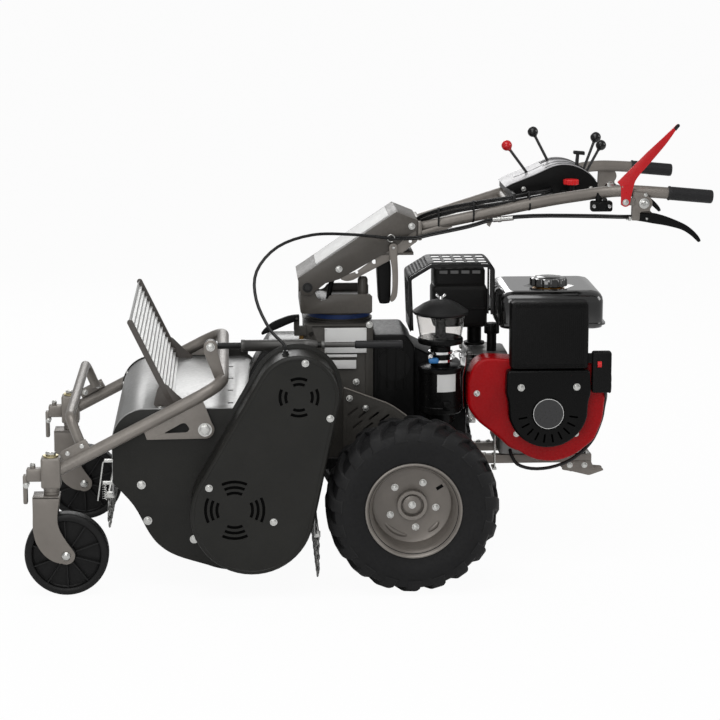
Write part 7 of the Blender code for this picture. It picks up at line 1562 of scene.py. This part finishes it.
# Turret. A cast body that swivels on the gearbox's neck, with an ear on each side for the mast's pin, scooped
# out behind it, and a post for the latch.
MAST_PIN = (-0.2403, 0.6920)
COLUMN_TAUPE = skin("dark_column_paint", (0.066, 0.059, 0.051), (0.26, 0.24, 0.22), blotch=0.25, wear=0.4,
                    sheen=(0.30, 0.44), specular=0.35)


def turret_side():
    """A turret ear from the side: round over the pin, a scooped hollow behind it, then a flat top to the
    rear.
    """
    over = arc(*MAST_PIN, 0.0180, 172, 20, 12)
    hollow = smooth([(-0.2215, 0.6800), (-0.2165, 0.6660), (-0.2050, 0.6575), (-0.1930, 0.6610),
                     (-0.1850, 0.6700), (-0.1760, 0.6730)], 4)
    rear = [(-0.0870, 0.6730), (-0.0810, 0.6670), (-0.0810, 0.6290), (-0.0850, 0.6253)]
    front = arc(-0.2463, 0.6373, 0.0120, 270, 180, 6)
    return np.concatenate([over, hollow, rear, front])


turret_parts = [
    prism(rounded_loop([(-0.160, 0.6250), (-0.0815, 0.6250), (-0.0815, 0.6550), (-0.2580, 0.6550),
                        (-0.2580, 0.6250)], 0.008, 4), -0.0905, 0.0905, 0.003, steps=3),
    *[prism(turret_side(), y - 0.0040, y + 0.0040, 0.0016) for y in (-0.0890, 0.0890)],
    lathe([(0.0, 0.6500), (0.0145, 0.6500), (0.0145, 0.6640), (0.0125, 0.6660), (0.0125, 0.7060),
           (0.0090, 0.7120), (0.0, 0.7130)], (-0.1030, -0.060, 0.0), "Z", 32)]
turret = piece("turret_cast", turret_parts, COLUMN_TAUPE, "turret")
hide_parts("turret")
ring = [(0.0, -0.1040), (0.0075, -0.1040), (0.0085, -0.1025), (0.0085, -0.1012), (0.0125, -0.1010),
        (0.0125, -0.0998), (0.0, -0.0998)]
piece("mast_pin", [lathe(ring, (MAST_PIN[0], 0.0, MAST_PIN[1]), steps=36),
                   lathe([(r, -h) for r, h in ring], (MAST_PIN[0], 0.0, MAST_PIN[1]), steps=36),
                   pin((MAST_PIN[0], 0.0, MAST_PIN[1]), -0.100, 0.100, 0.0078)], BLACK_STEEL, "turret")
piece("latch_strut", [sweep([(-0.1880, -0.045, 0.6520), (-0.1830, -0.045, 0.6800), (-0.1780, -0.045, 0.7050)],
                            circle(0.0065, 14), (0.0, 1.0, 0.0)),
                      pin((-0.1780, 0.0, 0.7030), -0.056, -0.034, 0.0045)], BLACK_SATIN, "turret")


# Mast. Two pressed cheeks under a bent top sheet, with pierced brackets inside them and a black block behind
# the turret. Screws hold the brackets, and a ring on the left cheek carries the deck cable.
MAST_RING = (-0.0366, 0.8144)
LATCH_PIN = (-0.0300, 0.0, 0.7900)


def mast_cheek():
    """The near cheek: a straight bar from the pin to the square end where the handlebars start."""
    eye = arc(*MAST_PIN, 0.0200, 205, 322, 12)
    under = [(-0.1960, 0.7020), (-0.1620, 0.7120), (-0.0277, 0.7880), (0.0090, 0.8210)]
    return np.concatenate([eye, under, [(0.0296, 0.8330), (0.0296, 0.8560), (-0.0226, 0.8775),
                                        (-0.2440, 0.7262), (-0.2640, 0.7130)]])


mast_sheet = ribbon(rounded_path([(-0.2640, 0.7130), (-0.2440, 0.7262), (-0.0226, 0.8760), (0.0292, 0.8550)],
                                 0.006, 3), 0.0030)
mast_block = smooth([(-0.0700, 0.7560), (-0.0680, 0.7200), (-0.0650, 0.6700), (-0.0640, 0.6540),
                     (-0.0600, 0.6486), (-0.0440, 0.6486), (-0.0365, 0.6560), (-0.0350, 0.7000),
                     (-0.0350, 0.7400), (-0.0400, 0.7700)], 4)
mast_parts = [
    *[prism(mast_cheek(), y - 0.0022, y + 0.0022, 0.0010) for y in (-0.0975, 0.0975)],
    prism(mast_sheet, -0.0985, 0.0985, 0.0008),
    prism([(-0.0600, 0.7700), (0.0200, 0.7700), (0.0200, 0.7760), (-0.0600, 0.7760)], -0.0960, 0.0960, 0.001),
    prism([(0.0292, 0.8060), (0.0300, 0.8060), (0.0300, 0.8560), (0.0260, 0.8560), (0.0260, 0.8100)],
          -0.0960, 0.0960, 0.0008),
    pin((MAST_RING[0], 0.0, MAST_RING[1]), -0.1105, -0.0960, 0.0060)]
mast = piece("mast_pressed", mast_parts, COLUMN_TAUPE, "mast")
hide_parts("mast")
bracket_line = rounded_loop([(-0.1200, 0.7300), (-0.1560, 0.7190), (-0.1600, 0.7110), (-0.1460, 0.7060),
                             (-0.1300, 0.7080), (-0.0400, 0.7560), (-0.0020, 0.7790), (0.0180, 0.7960),
                             (0.0296, 0.8030), (0.0296, 0.8400), (-0.0300, 0.7950)], 0.006, 3)
brackets = [piece("mast_bracket_" + side, [prism(bracket_line, y - 0.0012, y + 0.0012, 0.0006)], TAUPE,
                  "mast") for side, y in (("left", -0.0940), ("right", 0.0940))]
holes = [prism(arc(x, z, radius, 0, 345, 23), -0.12, 0.12, 0.0001)
         for x, z, radius in ((-0.0765, 0.7540, 0.0055), (-0.1192, 0.7280, 0.0035), (0.0120, 0.8040, 0.0040))]
for bracket in brackets:
    carve(bracket, holes)
piece("mast_block", [prism(mast_block, -0.090, -0.020, 0.005, steps=3)], BLACK_SATIN, "mast")
piece("mast_plate", [prism([(-0.2180, 0.7455), (-0.0400, 0.8656), (-0.0412, 0.8674), (-0.2192, 0.7473)],
                           -0.080, 0.080, 0.0004)], PLATE_WHITE, "mast")
loop_turn = np.radians(np.linspace(0.0, 300.0, 21))
piece("mast_fixings", [
    *[shape for out in (-1.0, 1.0) for shape in bolts(
        [(-0.1631, out * 0.0998, 0.7373), (0.0150, out * 0.0998, 0.8420)], 0.0070, 0.0045, out=out)],
    sweep(np.stack([MAST_RING[0] + 0.0088 * np.cos(loop_turn), np.full(21, -0.1130),
                    MAST_RING[1] + 0.0088 * np.sin(loop_turn)], axis=-1), circle(0.0014, 8), (0.0, 1.0, 0.0)),
    pin(LATCH_PIN, -0.1085, -0.0960, 0.0039)], ZINC, "mast")


# Latch lever. A flat steel strip, pressed to a curve and painted taupe, on a pin beside the mast's left
# cheek. It frees the column.
latch_line = np.concatenate([
    arc(LATCH_PIN[0], LATCH_PIN[2], 0.0110, 20, 180, 12),
    smooth([(-0.0400, 0.7720), (-0.0345, 0.7450), (-0.0325, 0.7200), (-0.0330, 0.6850), (-0.0380, 0.6640),
            (-0.0365, 0.6575), (-0.0330, 0.6560), (-0.0255, 0.6620), (-0.0205, 0.6740), (-0.0185, 0.7000),
            (-0.0185, 0.7300), (-0.0205, 0.7700)], 4)])
latch = piece("latch_lever_pressed", [prism(latch_line, -0.1073, -0.1013, 0.0015, steps=3)], TAUPE,
              "latch_lever")
carve(latch, [pin(LATCH_PIN, -0.12, -0.09, 0.0043, "Y", 16, 0.0001)])
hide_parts("latch_lever")


# Handlebars. Two 28 mm tubes bent out from the mast to the grips, joined by a cross tube, with a pressed
# bracket for the hand lever under each and the switch block under the left one.
BAR = 0.014
GRIP_Y = 0.280
LEVER_PIVOT = (0.5608, 0.0, 0.8820)
SAFETY_PIN = (0.5066, 0.0, 0.9240)
bar_shapes = []
bracket_line = np.concatenate([
    [(0.5260, 0.8780), (0.5400, 0.8774)],
    rounded_path([(0.5400, 0.8774), (0.5440, 0.8894), (0.5750, 0.8730), (0.5810, 0.8900), (0.5690, 0.9010)],
                 0.005, 3)[1:],
    arc(0.5560, 0.9187, 0.0180, -44, 62, 10), [(0.5600, 0.9430), (0.5280, 0.9465), (0.5262, 0.9050)]])
notched_line = np.concatenate([
    [(0.5260, 0.8780), (0.5400, 0.8774), (0.5436, 0.8784), (0.5446, 0.8960), (0.5470, 0.8985),
     (0.5690, 0.9010)],
    bracket_line[-14:]])
for sign in (-1, 1):
    route = rounded_path([(0.0300, sign * 0.0636, 0.8326), (0.3400, sign * 0.175, 0.9130),
                          (0.4950, sign * 0.262, 0.9480), (0.6095, sign * GRIP_Y, 0.9420),
                          (0.7160, sign * GRIP_Y, 0.9325)], 0.060, 8)
    bar_shapes.append(sweep(route, circle(BAR, 24)))
    for y, line in ((sign * GRIP_Y - 0.0085, notched_line), (sign * GRIP_Y + 0.0085, bracket_line)):
        bar_shapes.append(prism(line, y - 0.0015, y + 0.0015, 0.0007))
LEFT_BAR = route * np.array([1.0, -1.0, 1.0])
bar_shapes += [block((0.0303, -0.0995, 0.806), (0.0403, 0.0995, 0.852), 0.003),
               pin((0.2600, 0.0, 0.8900), -0.145, 0.145, 0.010),
               prism([(0.1960, 0.8740), (0.2060, 0.8700), (0.2090, 0.8560), (0.2030, 0.8430),
                      (0.1960, 0.8480)], -0.1330, -0.1290, 0.001),
               prism([(0.0403, 0.8130), (0.0403, 0.8300), (0.1100, 0.8500), (0.1150, 0.8380),
                      (0.1000, 0.8330)], -0.0960, -0.0930, 0.001),
               block((0.4980, -0.300, 0.9150), (0.5300, -0.288, 0.9330), 0.002)]
bars = piece("handlebars_bent", bar_shapes, TAUPE, "mast")
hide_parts("handlebars")
hub = [(0.0, -0.2990), (0.0050, -0.2990), (0.0070, -0.2975), (0.0075, -0.2935), (0.0125, -0.2925),
       (0.0130, -0.2905), (0.0130, -0.2895), (0.0, -0.2895)]


def on_line(x, line):
    """The point where a line that runs backwards along the machine is at x."""
    return np.array([x, np.interp(x, line[:, 0], line[:, 1]), np.interp(x, line[:, 0], line[:, 2])])


lug_place = on_line(0.4780, LEFT_BAR) + [0.0, 0.0, BAR + 0.0020]
lug_half = np.array([0.0080, 0.0080, 0.0045])
piece("bar_fixings", [
    lathe(hub, (0.5540, 0.0, 0.9188), steps=32),
    *bolts([(0.5572, -0.2900, 0.9390)], 0.0038, 0.0025),
    *[pin(LEVER_PIVOT, sign * GRIP_Y - 0.012, sign * GRIP_Y + 0.012, 0.0029) for sign in (-1, 1)],
    pin(SAFETY_PIN, -0.3120, -0.290, 0.0029),
    *bolts([(SAFETY_PIN[0], -0.3095, SAFETY_PIN[2])], 0.0062, 0.0040),
    block(lug_place - lug_half, lug_place + lug_half, 0.002),
    *bolts([lug_place + [0.0, 0.0, lug_half[2]]], 0.0045, 0.0035, "Z", 1.0),
    lathe([(0.0, 0.5130), (0.0042, 0.5130), (0.0042, 0.5180), (0.0060, 0.5190), (0.0060, 0.5250),
           (0.0, 0.5250)], (0.0, -GRIP_Y, LEVER_PIVOT[2]), "X", 16)], ZINC, "mast")


# Switch block. A black moulding under the left bar, hung from it by a short neck. Its near face has a round
# button between two bright screws.
piece("switch_block_moulded", [
    block((0.4320, -0.2600, 0.8950), (0.4840, -0.2320, 0.9200), 0.005),
    lathe([(0.0, 0.9180), (0.008, 0.9180), (0.008, 0.9400), (0.0, 0.9400)], (0.4520, -0.245, 0.0), "Z", 20),
    lathe([(0.0, -0.2640), (0.0085, -0.2640), (0.0100, -0.2625), (0.0100, -0.2590), (0.0, -0.2590)],
          (0.4570, 0.0, 0.9080), steps=28)], BLACK_SATIN, "mast")
piece("switch_screws",
      [lathe([(0.0, -0.2625), (0.0036, -0.2622), (0.0050, -0.2605), (0.0050, -0.2590), (0.0, -0.2590)],
             (x, 0.0, 0.9080), steps=24) for x in (0.4395, 0.4755)], CHROME, "mast")


# Grips. Black rubber sleeves pushed on to the ends of the bars, ribbed all round, with a collar at the front
# and a rounded end.
GRIP_RIBS = 35
for side, sign in (("left", -1), ("right", 1)):
    start, end = np.array([0.6095, sign * GRIP_Y, 0.9420]), np.array([0.7200, sign * GRIP_Y, 0.9320])
    along = (end - start) / np.linalg.norm(end - start)
    reach = np.concatenate([[0.0022, 0.0025, 0.0035, 0.0065, 0.0080],
                            np.linspace(0.0100, 0.1020, GRIP_RIBS * 2),
                            [0.1060, 0.1085, 0.1100, 0.1105, 0.1108]])
    radius = np.concatenate([[0.0146, 0.0165, 0.0172, 0.0172, 0.0160], 0.0160 + 0.0003
                             * (np.arange(GRIP_RIBS * 2) % 2), [0.0160, 0.0150, 0.0125, 0.0080, 0.0010]])
    sleeve = sweep(start + along * reach[:, None], circle(1.0, 28), scale=radius)
    grip = piece("grip_rubber_" + side, [sleeve], GRIP_RUBBER, "mast")
    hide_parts("grip_" + side)


# Console. A black pressed housing between the bars. A pale steel sheet is bent over its hump and slotted for
# the four gate levers and the throttle.
CONSOLE_TOP = [(0.2710, 0.9150), (0.2455, 0.9340), (0.2600, 0.9420), (0.3157, 0.9640), (0.3600, 0.9840),
               (0.3900, 0.9890), (0.4200, 0.9840), (0.4500, 0.9680), (0.4740, 0.9440), (0.4740, 0.9150)]
GATES = [(0.000, 0.274, 0.350), (0.045, 0.347, 0.405), (0.018, 0.419, 0.469), (0.068, 0.433, 0.4725)]
THROTTLE = (0.4250, -0.035, 0.9650)
hump = np.concatenate([CONSOLE_TOP[:2], smooth(CONSOLE_TOP[2:9], 5), CONSOLE_TOP[9:]])
shell = piece("console_housing", [prism(inset(hump, 0.0014), -0.0850, 0.0850, 0.0012)], BLACK_SATIN, "mast")
inner_line = inset(hump, 0.0040)
inner_line[[0, -1], 1] -= 0.02
carve(shell, [prism(inner_line, -0.0820, 0.0820, 0.0001)])
slots = [block((low, y - 0.0050, 0.925), (high, y + 0.0050, 1.03), 0.002) for y, low, high in GATES]
slots.append(block((THROTTLE[0] - 0.018, -0.0390, 0.955), (THROTTLE[0] + 0.022, -0.0310, 1.03), 0.002))
carve(shell, slots)
GATE_GREY = skin("printed_gate_sheet", (0.34, 0.335, 0.345), blotch=0.15, wear=0.0, sheen=(0.28, 0.40),
                 specular=0.4)
top_sheet = piece("console_gate_plate", [prism(ribbon(hump[1:-2], 0.0014), -0.0835, 0.0835, 0.0005)],
                  GATE_GREY, "mast")
carve(top_sheet, slots)
# Four thin black strips on the gate sheet stand in for its narrow slots: painted shade, not cut.
slot_shade_line = ribbon(hump[10:32] + [0.0, 0.0010], 0.0012)
piece("console_slot_shade_lines", [prism(slot_shade_line, y - 0.0016, y + 0.0016, 0.0002)
                             for y in (-0.062, -0.020, 0.0315, 0.0565)], GAP_SHADE_BLACK, "mast")
feet = [block((0.2560, -0.1550, 0.9074), (0.2640, 0.1550, 0.9270), 0.002),
        block((0.4640, -0.2500, 0.9180), (0.4720, 0.2500, 0.9260), 0.002),
        *[lathe([(0.0, -0.0845), (0.0025, -0.0845), (0.0025, 0.0845), (0.0, 0.0845)], (x, 0.0, z), steps=12)
          for x, z in ((0.3300, 0.9300), (0.3880, 0.9400), (0.4400, 0.9350), (0.4490, 0.9230))],
        lathe([(0.0, -0.0845), (0.0025, -0.0845), (0.0025, -0.0290), (0.0, -0.0290)],
              (THROTTLE[0], 0.0, THROTTLE[2]), steps=12),
        block((0.3805, -0.1350, 0.9220), (0.4145, -0.0830, 0.9265), 0.0012),
        pin((0.4025, -0.1150, 0.0), 0.9250, 0.9410, 0.0039, "Z", 16)]
piece("console_mounts", feet, BLACK_STEEL, "mast")
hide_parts("console")
piece("console_screws", [*bolts([(0.2900, -0.0850, 0.9300), (0.4560, -0.0850, 0.9300)], 0.0050, 0.0035)],
      ZINC, "mast")


# Gate levers. Four black steel rods that turn on bosses inside the console and stand out of its gates, each
# with a moulded ball knob. The knob of the gear lever is red.
KNOB_BLACK = skin("black_ball_knob", (0.004, 0.004, 0.004), blotch=0.1, wear=0.0, sheen=(0.08, 0.14),
                  specular=0.45)
KNOB_RED = skin("red_ball_knob", (0.50, 0.006, 0.010), blotch=0.1, wear=0.0, sheen=(0.10, 0.18),
                specular=0.45)
LEVERS = [("gear_lever", (0.3300, 0.000, 0.9300), (0.2545, 0.000, 1.0310), KNOB_RED, "red_plastic"),
          ("speed_lever", (0.3880, 0.045, 0.9400), (0.3248, 0.045, 1.0605), KNOB_BLACK, "black_plastic"),
          ("pto_lever", (0.4400, 0.018, 0.9350), (0.4816, 0.018, 1.0490), KNOB_BLACK, "black_plastic"),
          ("lock_lever", (0.4490, 0.068, 0.9230), (0.5032, 0.068, 1.0238), KNOB_BLACK, "black_plastic")]


def along_axis(profile, start, direction, steps=32):
    """A lathe whose axis is a slanting line: radius and distance pairs swept from a start point."""
    profile = np.array(profile, float)
    path = np.array(start) + np.array(direction) * profile[:, 1:2]
    spread = np.array(direction) * np.linspace(0.0, 1e-7, len(profile))[:, None]
    turn = np.linspace(0.0, 2 * np.pi, steps, endpoint=False)
    side = np.cross(direction, (0.0, 1.0, 0.0))
    side /= np.linalg.norm(side)
    rise = np.cross(direction, side)
    ring = np.cos(turn)[:, None] * side + np.sin(turn)[:, None] * rise
    return grid((path + spread)[:, None] + profile[:, :1, None] * ring[None], wrap_columns=True)


for name, pivot, knob, knob_material, knob_slot in LEVERS:
    pivot, knob = np.array(pivot), np.array(knob)
    length = np.linalg.norm(knob - pivot)
    along = (knob - pivot) / length
    rod = along_axis([(0.0, 0.0), (0.0035, 0.0), (0.0035, length - 0.011), (0.0, length - 0.011)], pivot,
                     along, 16)
    boss = lathe([(0.0028, -0.0045), (0.0062, -0.0045), (0.0070, -0.0038), (0.0070, 0.0038), (0.0062, 0.0045),
                  (0.0028, 0.0045)], pivot, steps=24, closed=True)
    lever = piece(name + "_rod", [rod, boss], BLACK_STEEL, name)
    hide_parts(name)
    t = np.radians(np.linspace(0.0, 160.0, 18))
    ball = [(0.0132 * math.sin(a), 0.0132 * math.cos(a) + length - 0.0040) for a in t]
    ball = [(max(r, 0.0), h) for r, h in ball] + [(0.0048, length - 0.0180), (0.0, length - 0.0180)]
    piece(name + "_knob", [along_axis(ball, pivot, along)], knob_material, name)


# Throttle lever. A thin black steel blade that turns on a rod inside the console and stands out of its own
# slot, with a slanted paddle of black plastic on its end.
throttle_line = np.concatenate([arc(THROTTLE[0], THROTTLE[2], 0.0070, 130, 400, 14),
                                [(0.4330, 1.0110), (0.4250, 1.0110)]])
throttle = piece("throttle_lever_blade", [prism(throttle_line, -0.0372, -0.0328, 0.0006)], BLACK_STEEL,
                 "throttle_lever")
carve(throttle, [pin((THROTTLE[0], 0.0, THROTTLE[2]), -0.05, -0.02, 0.0028, "Y", 14, 0.0001)])
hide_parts("throttle_lever")
paddle = rounded_loop([(0.4300, 1.0085), (0.4460, 1.0068), (0.4460, 1.0160), (0.4180, 1.0180),
                       (0.4180, 1.0095)], 0.0025, 3)
piece("throttle_paddle", [prism(paddle, -0.0420, -0.0280, 0.0020, steps=3)], CAP_BLACK, "throttle_lever")


# Dial. A red moulded hand wheel with finger grooves round its rim, on a black stem. The post that it turns on
# stands beside the console.
DIAL_PLACE = (0.4025, -0.1150)
dial_line = grooved(0.0190, 10, 0.0016) + DIAL_PLACE
dial_levels = ((0.0020, 0.9435), (0.0, 0.9450), (0.0, 0.9545), (0.0010, 0.9558), (0.0040, 0.9566))
dial_rings = [lay(inset(dial_line, draw), z, "XY") for draw, z in dial_levels]
dial = piece("dial_moulded", [grid(np.stack(dial_rings), wrap_columns=True, first_cap=True, last_cap=True)],
             ROCKER_RED, "dial")
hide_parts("dial")
piece("dial_stem", [lathe([(0.0046, 0.9273), (0.0090, 0.9273), (0.0085, 0.9440), (0.0046, 0.9440)],
                          (*DIAL_PLACE, 0.0), "Z", 28, closed=True)], BLACK_SATIN, "dial")


# Safety lever. Cut from steel sheet, folded along its upper edge and painted red, on a pin at the left bar,
# with a tip of black plastic.
SAFETY_RED = skin("red_lever_paint", (0.50, 0.006, 0.010), blotch=0.2, wear=0.0,
                  sheen=(0.26, 0.38), specular=0.4)
safety_line = np.concatenate([
    arc(SAFETY_PIN[0], SAFETY_PIN[2], 0.0110, 165, 350, 12),
    smooth([(0.5190, 0.9340), (0.5230, 0.9520), (0.5290, 0.9740), (0.5420, 0.9930), (0.5700, 1.0250),
            (0.6020, 1.0640), (0.6240, 1.0960), (0.6300, 1.1020)], 4),
    [(0.6312, 1.1050), (0.6296, 1.1078), (0.6262, 1.1082)],
    [(0.5560, 1.0430), (0.4860, 0.9718), (0.4950, 0.9610), (0.4950, 0.9400)]])
safety = piece("safety_lever_folded", [
    prism(safety_line, -0.3088, -0.3062, 0.0006),
    prism([(0.6256, 1.1086), (0.6266, 1.1076), (0.4872, 0.9707), (0.4862, 0.9717)], -0.3086, -0.3034,
          0.0003)], SAFETY_RED, "safety_lever")
carve(safety, [pin(SAFETY_PIN, -0.32, -0.29, 0.0033, "Y", 16, 0.0001),
               pin((0.4985, 0.0, 0.9610), -0.32, -0.29, 0.0016, "Y", 12, 0.0001)], overlapping=True)
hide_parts("safety_lever")
tip = arc(0.6275, 1.1045, 0.0042, -20, 140, 8)
piece("safety_lever_tip",
      [prism(np.concatenate([tip, [(0.6170, 1.0990), (0.6230, 1.0925)]]), -0.3094, -0.3056, 0.0008)],
      CAP_BLACK, "safety_lever")


# Hand levers. Cast levers, painted black, that curve down under the grips. Each turns on a zinc pin in the
# bracket under its bar.
hand_line = np.concatenate([
    rounded_path([(0.5350, 0.8850), (0.5350, 0.8770), (0.5570, 0.8735)], 0.003, 2),
    smooth([(0.5760, 0.8698), (0.6100, 0.8640), (0.6450, 0.8545), (0.6665, 0.8420), (0.6830, 0.8275),
            (0.6865, 0.8243), (0.6905, 0.8250), (0.6925, 0.8285), (0.6860, 0.8400), (0.6700, 0.8560),
            (0.6500, 0.8690), (0.6120, 0.8850), (0.5830, 0.8935), (0.5700, 0.8945), (0.5520, 0.8940),
            (0.5370, 0.8930)], 4)])
for side, sign in (("left", -1), ("right", 1)):
    y = sign * GRIP_Y
    lever = piece("hand_lever_" + side, [prism(hand_line, y - 0.0055, y + 0.0055, 0.0026, steps=3)],
                  BLACK_SATIN, "brake_lever_" + side)
    carve(lever, [pin(LEVER_PIVOT, y - 0.02, y + 0.02, 0.0033, "Y", 16, 0.0001)])
    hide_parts("brake_lever_" + side)


# Cables. Black sheathed control cables. One hangs in a free arc from the mast's ring to the belt cover's
# boss, in two lengths because it crosses two joints. Three run under the left bar to the hand lever, four
# over it to the console.
CABLE_BLACK = skin("cable_sheath", (0.005, 0.005, 0.005), blotch=0.1, wear=0.0, sheen=(0.24, 0.36),
                   specular=0.35)


def cable(name, route, places, radius, body, replaced=None):
    """Strands at Y and Z places beside a route, as one piece; the part that it replaces, if one is given, is
    hidden.
    """
    strands = [sweep(route + np.array([0.0, y, z]), circle(radius, 12), (0.0, 1.0, 0.0)) for y, z in places]
    bunch = piece(name, strands, CABLE_BLACK, body)
    if replaced:
        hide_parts(replaced)


DECK_POINTS = [(-0.0366, -0.1150, 0.8144), (-0.1300, -0.1270, 0.8260), (-0.2300, -0.1560, 0.8300),
               (-0.3150, -0.2030, 0.8080), (-0.3660, -0.2600, 0.7580), (-0.3680, -0.3200, 0.7000),
               (-0.3380, -0.3740, 0.6400), (-0.3060, -0.3970, 0.6080), (-0.3010, -0.4000, 0.5928)]
MAST_ROUTE = smooth(DECK_POINTS, 8)[:17]
COVER_ROUTE = smooth(DECK_POINTS, 4)[8:]
LEVER_ROUTE = smooth([(0.5252, -0.2800, 0.8850), (0.4950, -0.2780, 0.8850), (0.4200, -0.2450, 0.8830),
                      (0.3000, -0.1850, 0.8760), (0.2100, -0.1500, 0.8630), (0.1500, -0.1330, 0.8440),
                      (0.0600, -0.1100, 0.8220), (0.0200, -0.1068, 0.8130),
                      (-0.0366, -0.1120, 0.8144)], 3)
CONSOLE_ROUTE = smooth([(0.0240, -0.0560, 0.8440), (0.0480, -0.0720, 0.8600), (0.1000, -0.0950, 0.8790),
                        (0.1600, -0.1160, 0.8930), (0.2250, -0.1390, 0.9060), (0.2800, -0.1440, 0.9160),
                        (0.3300, -0.1240, 0.9220), (0.3600, -0.0840, 0.9240)], 3)
cable("deck_cable_upper", MAST_ROUTE, [(0.0, 0.0)], 0.0038,
      ("turret", "mast", tuple(MAST_ROUTE[-1] + AXLE), tuple(MAST_ROUTE[0] + AXLE)))
cable("deck_cable_sheath", COVER_ROUTE, [(0.0, 0.0)], 0.0038,
      ("chassis", "turret", tuple(COVER_ROUTE[-1] + AXLE), tuple(COVER_ROUTE[0] + AXLE)),
      "deck_cable")
cable("lever_cables", LEVER_ROUTE, [(0.0, 0.0030), (-0.0026, -0.0016), (0.0026, -0.0016)], 0.0026, "mast",
      "control_cables")
cable("console_cables", CONSOLE_ROUTE, [(0.0015, 0.0026), (-0.0020, -0.0028), (-0.0012, 0.0080),
                                        (0.0010, -0.0082)], 0.0026, "mast")


def strap(x, grow):
    """A closed loop at x round the left bar and the console cables, that far outside them.

    Each direction n takes the circle that reaches farther, max(a . n + r, b . n + s), so its sides run
    straight.
    """
    turn = np.linspace(0.0, 2 * np.pi, 48, endpoint=False)
    out = np.stack([np.zeros(48), np.cos(turn), np.sin(turn)], axis=-1)
    bar_loop, cable_loop = [
        on_line(x, line) + out * (radius + grow) for line,
        radius in ((LEFT_BAR, BAR), (CONSOLE_ROUTE, 0.0115))]
    farther = np.sum((bar_loop - cable_loop) * out, axis=1) >= 0.0
    return np.where(farther[:, None], bar_loop, cable_loop)


ties = [grid(np.stack([strap(x + shift, grow) for shift,
                       grow in ((-0.0022, 0.0), (-0.0022, 0.0012), (0.0022, 0.0012), (0.0022, 0.0))]),
             wrap_rows=True, wrap_columns=True) for x in (0.0810, 0.1640, 0.2960)]
piece("cable_ties", ties, CAP_BLACK, "mast")
adjuster_start = LEVER_ROUTE[12]
adjuster_along = LEVER_ROUTE[9] - adjuster_start
adjuster_along = adjuster_along / np.linalg.norm(adjuster_along)
piece("cable_adjuster",
      [along_axis([(0.0, 0.0), (0.0062, 0.0), (0.0062, 0.012), (0.0075, 0.0125), (0.0075, 0.019),
                   (0.0060, 0.0195), (0.0060, 0.050), (0.0, 0.050)], adjuster_start, adjuster_along, 20)],
      ZINC, "mast")
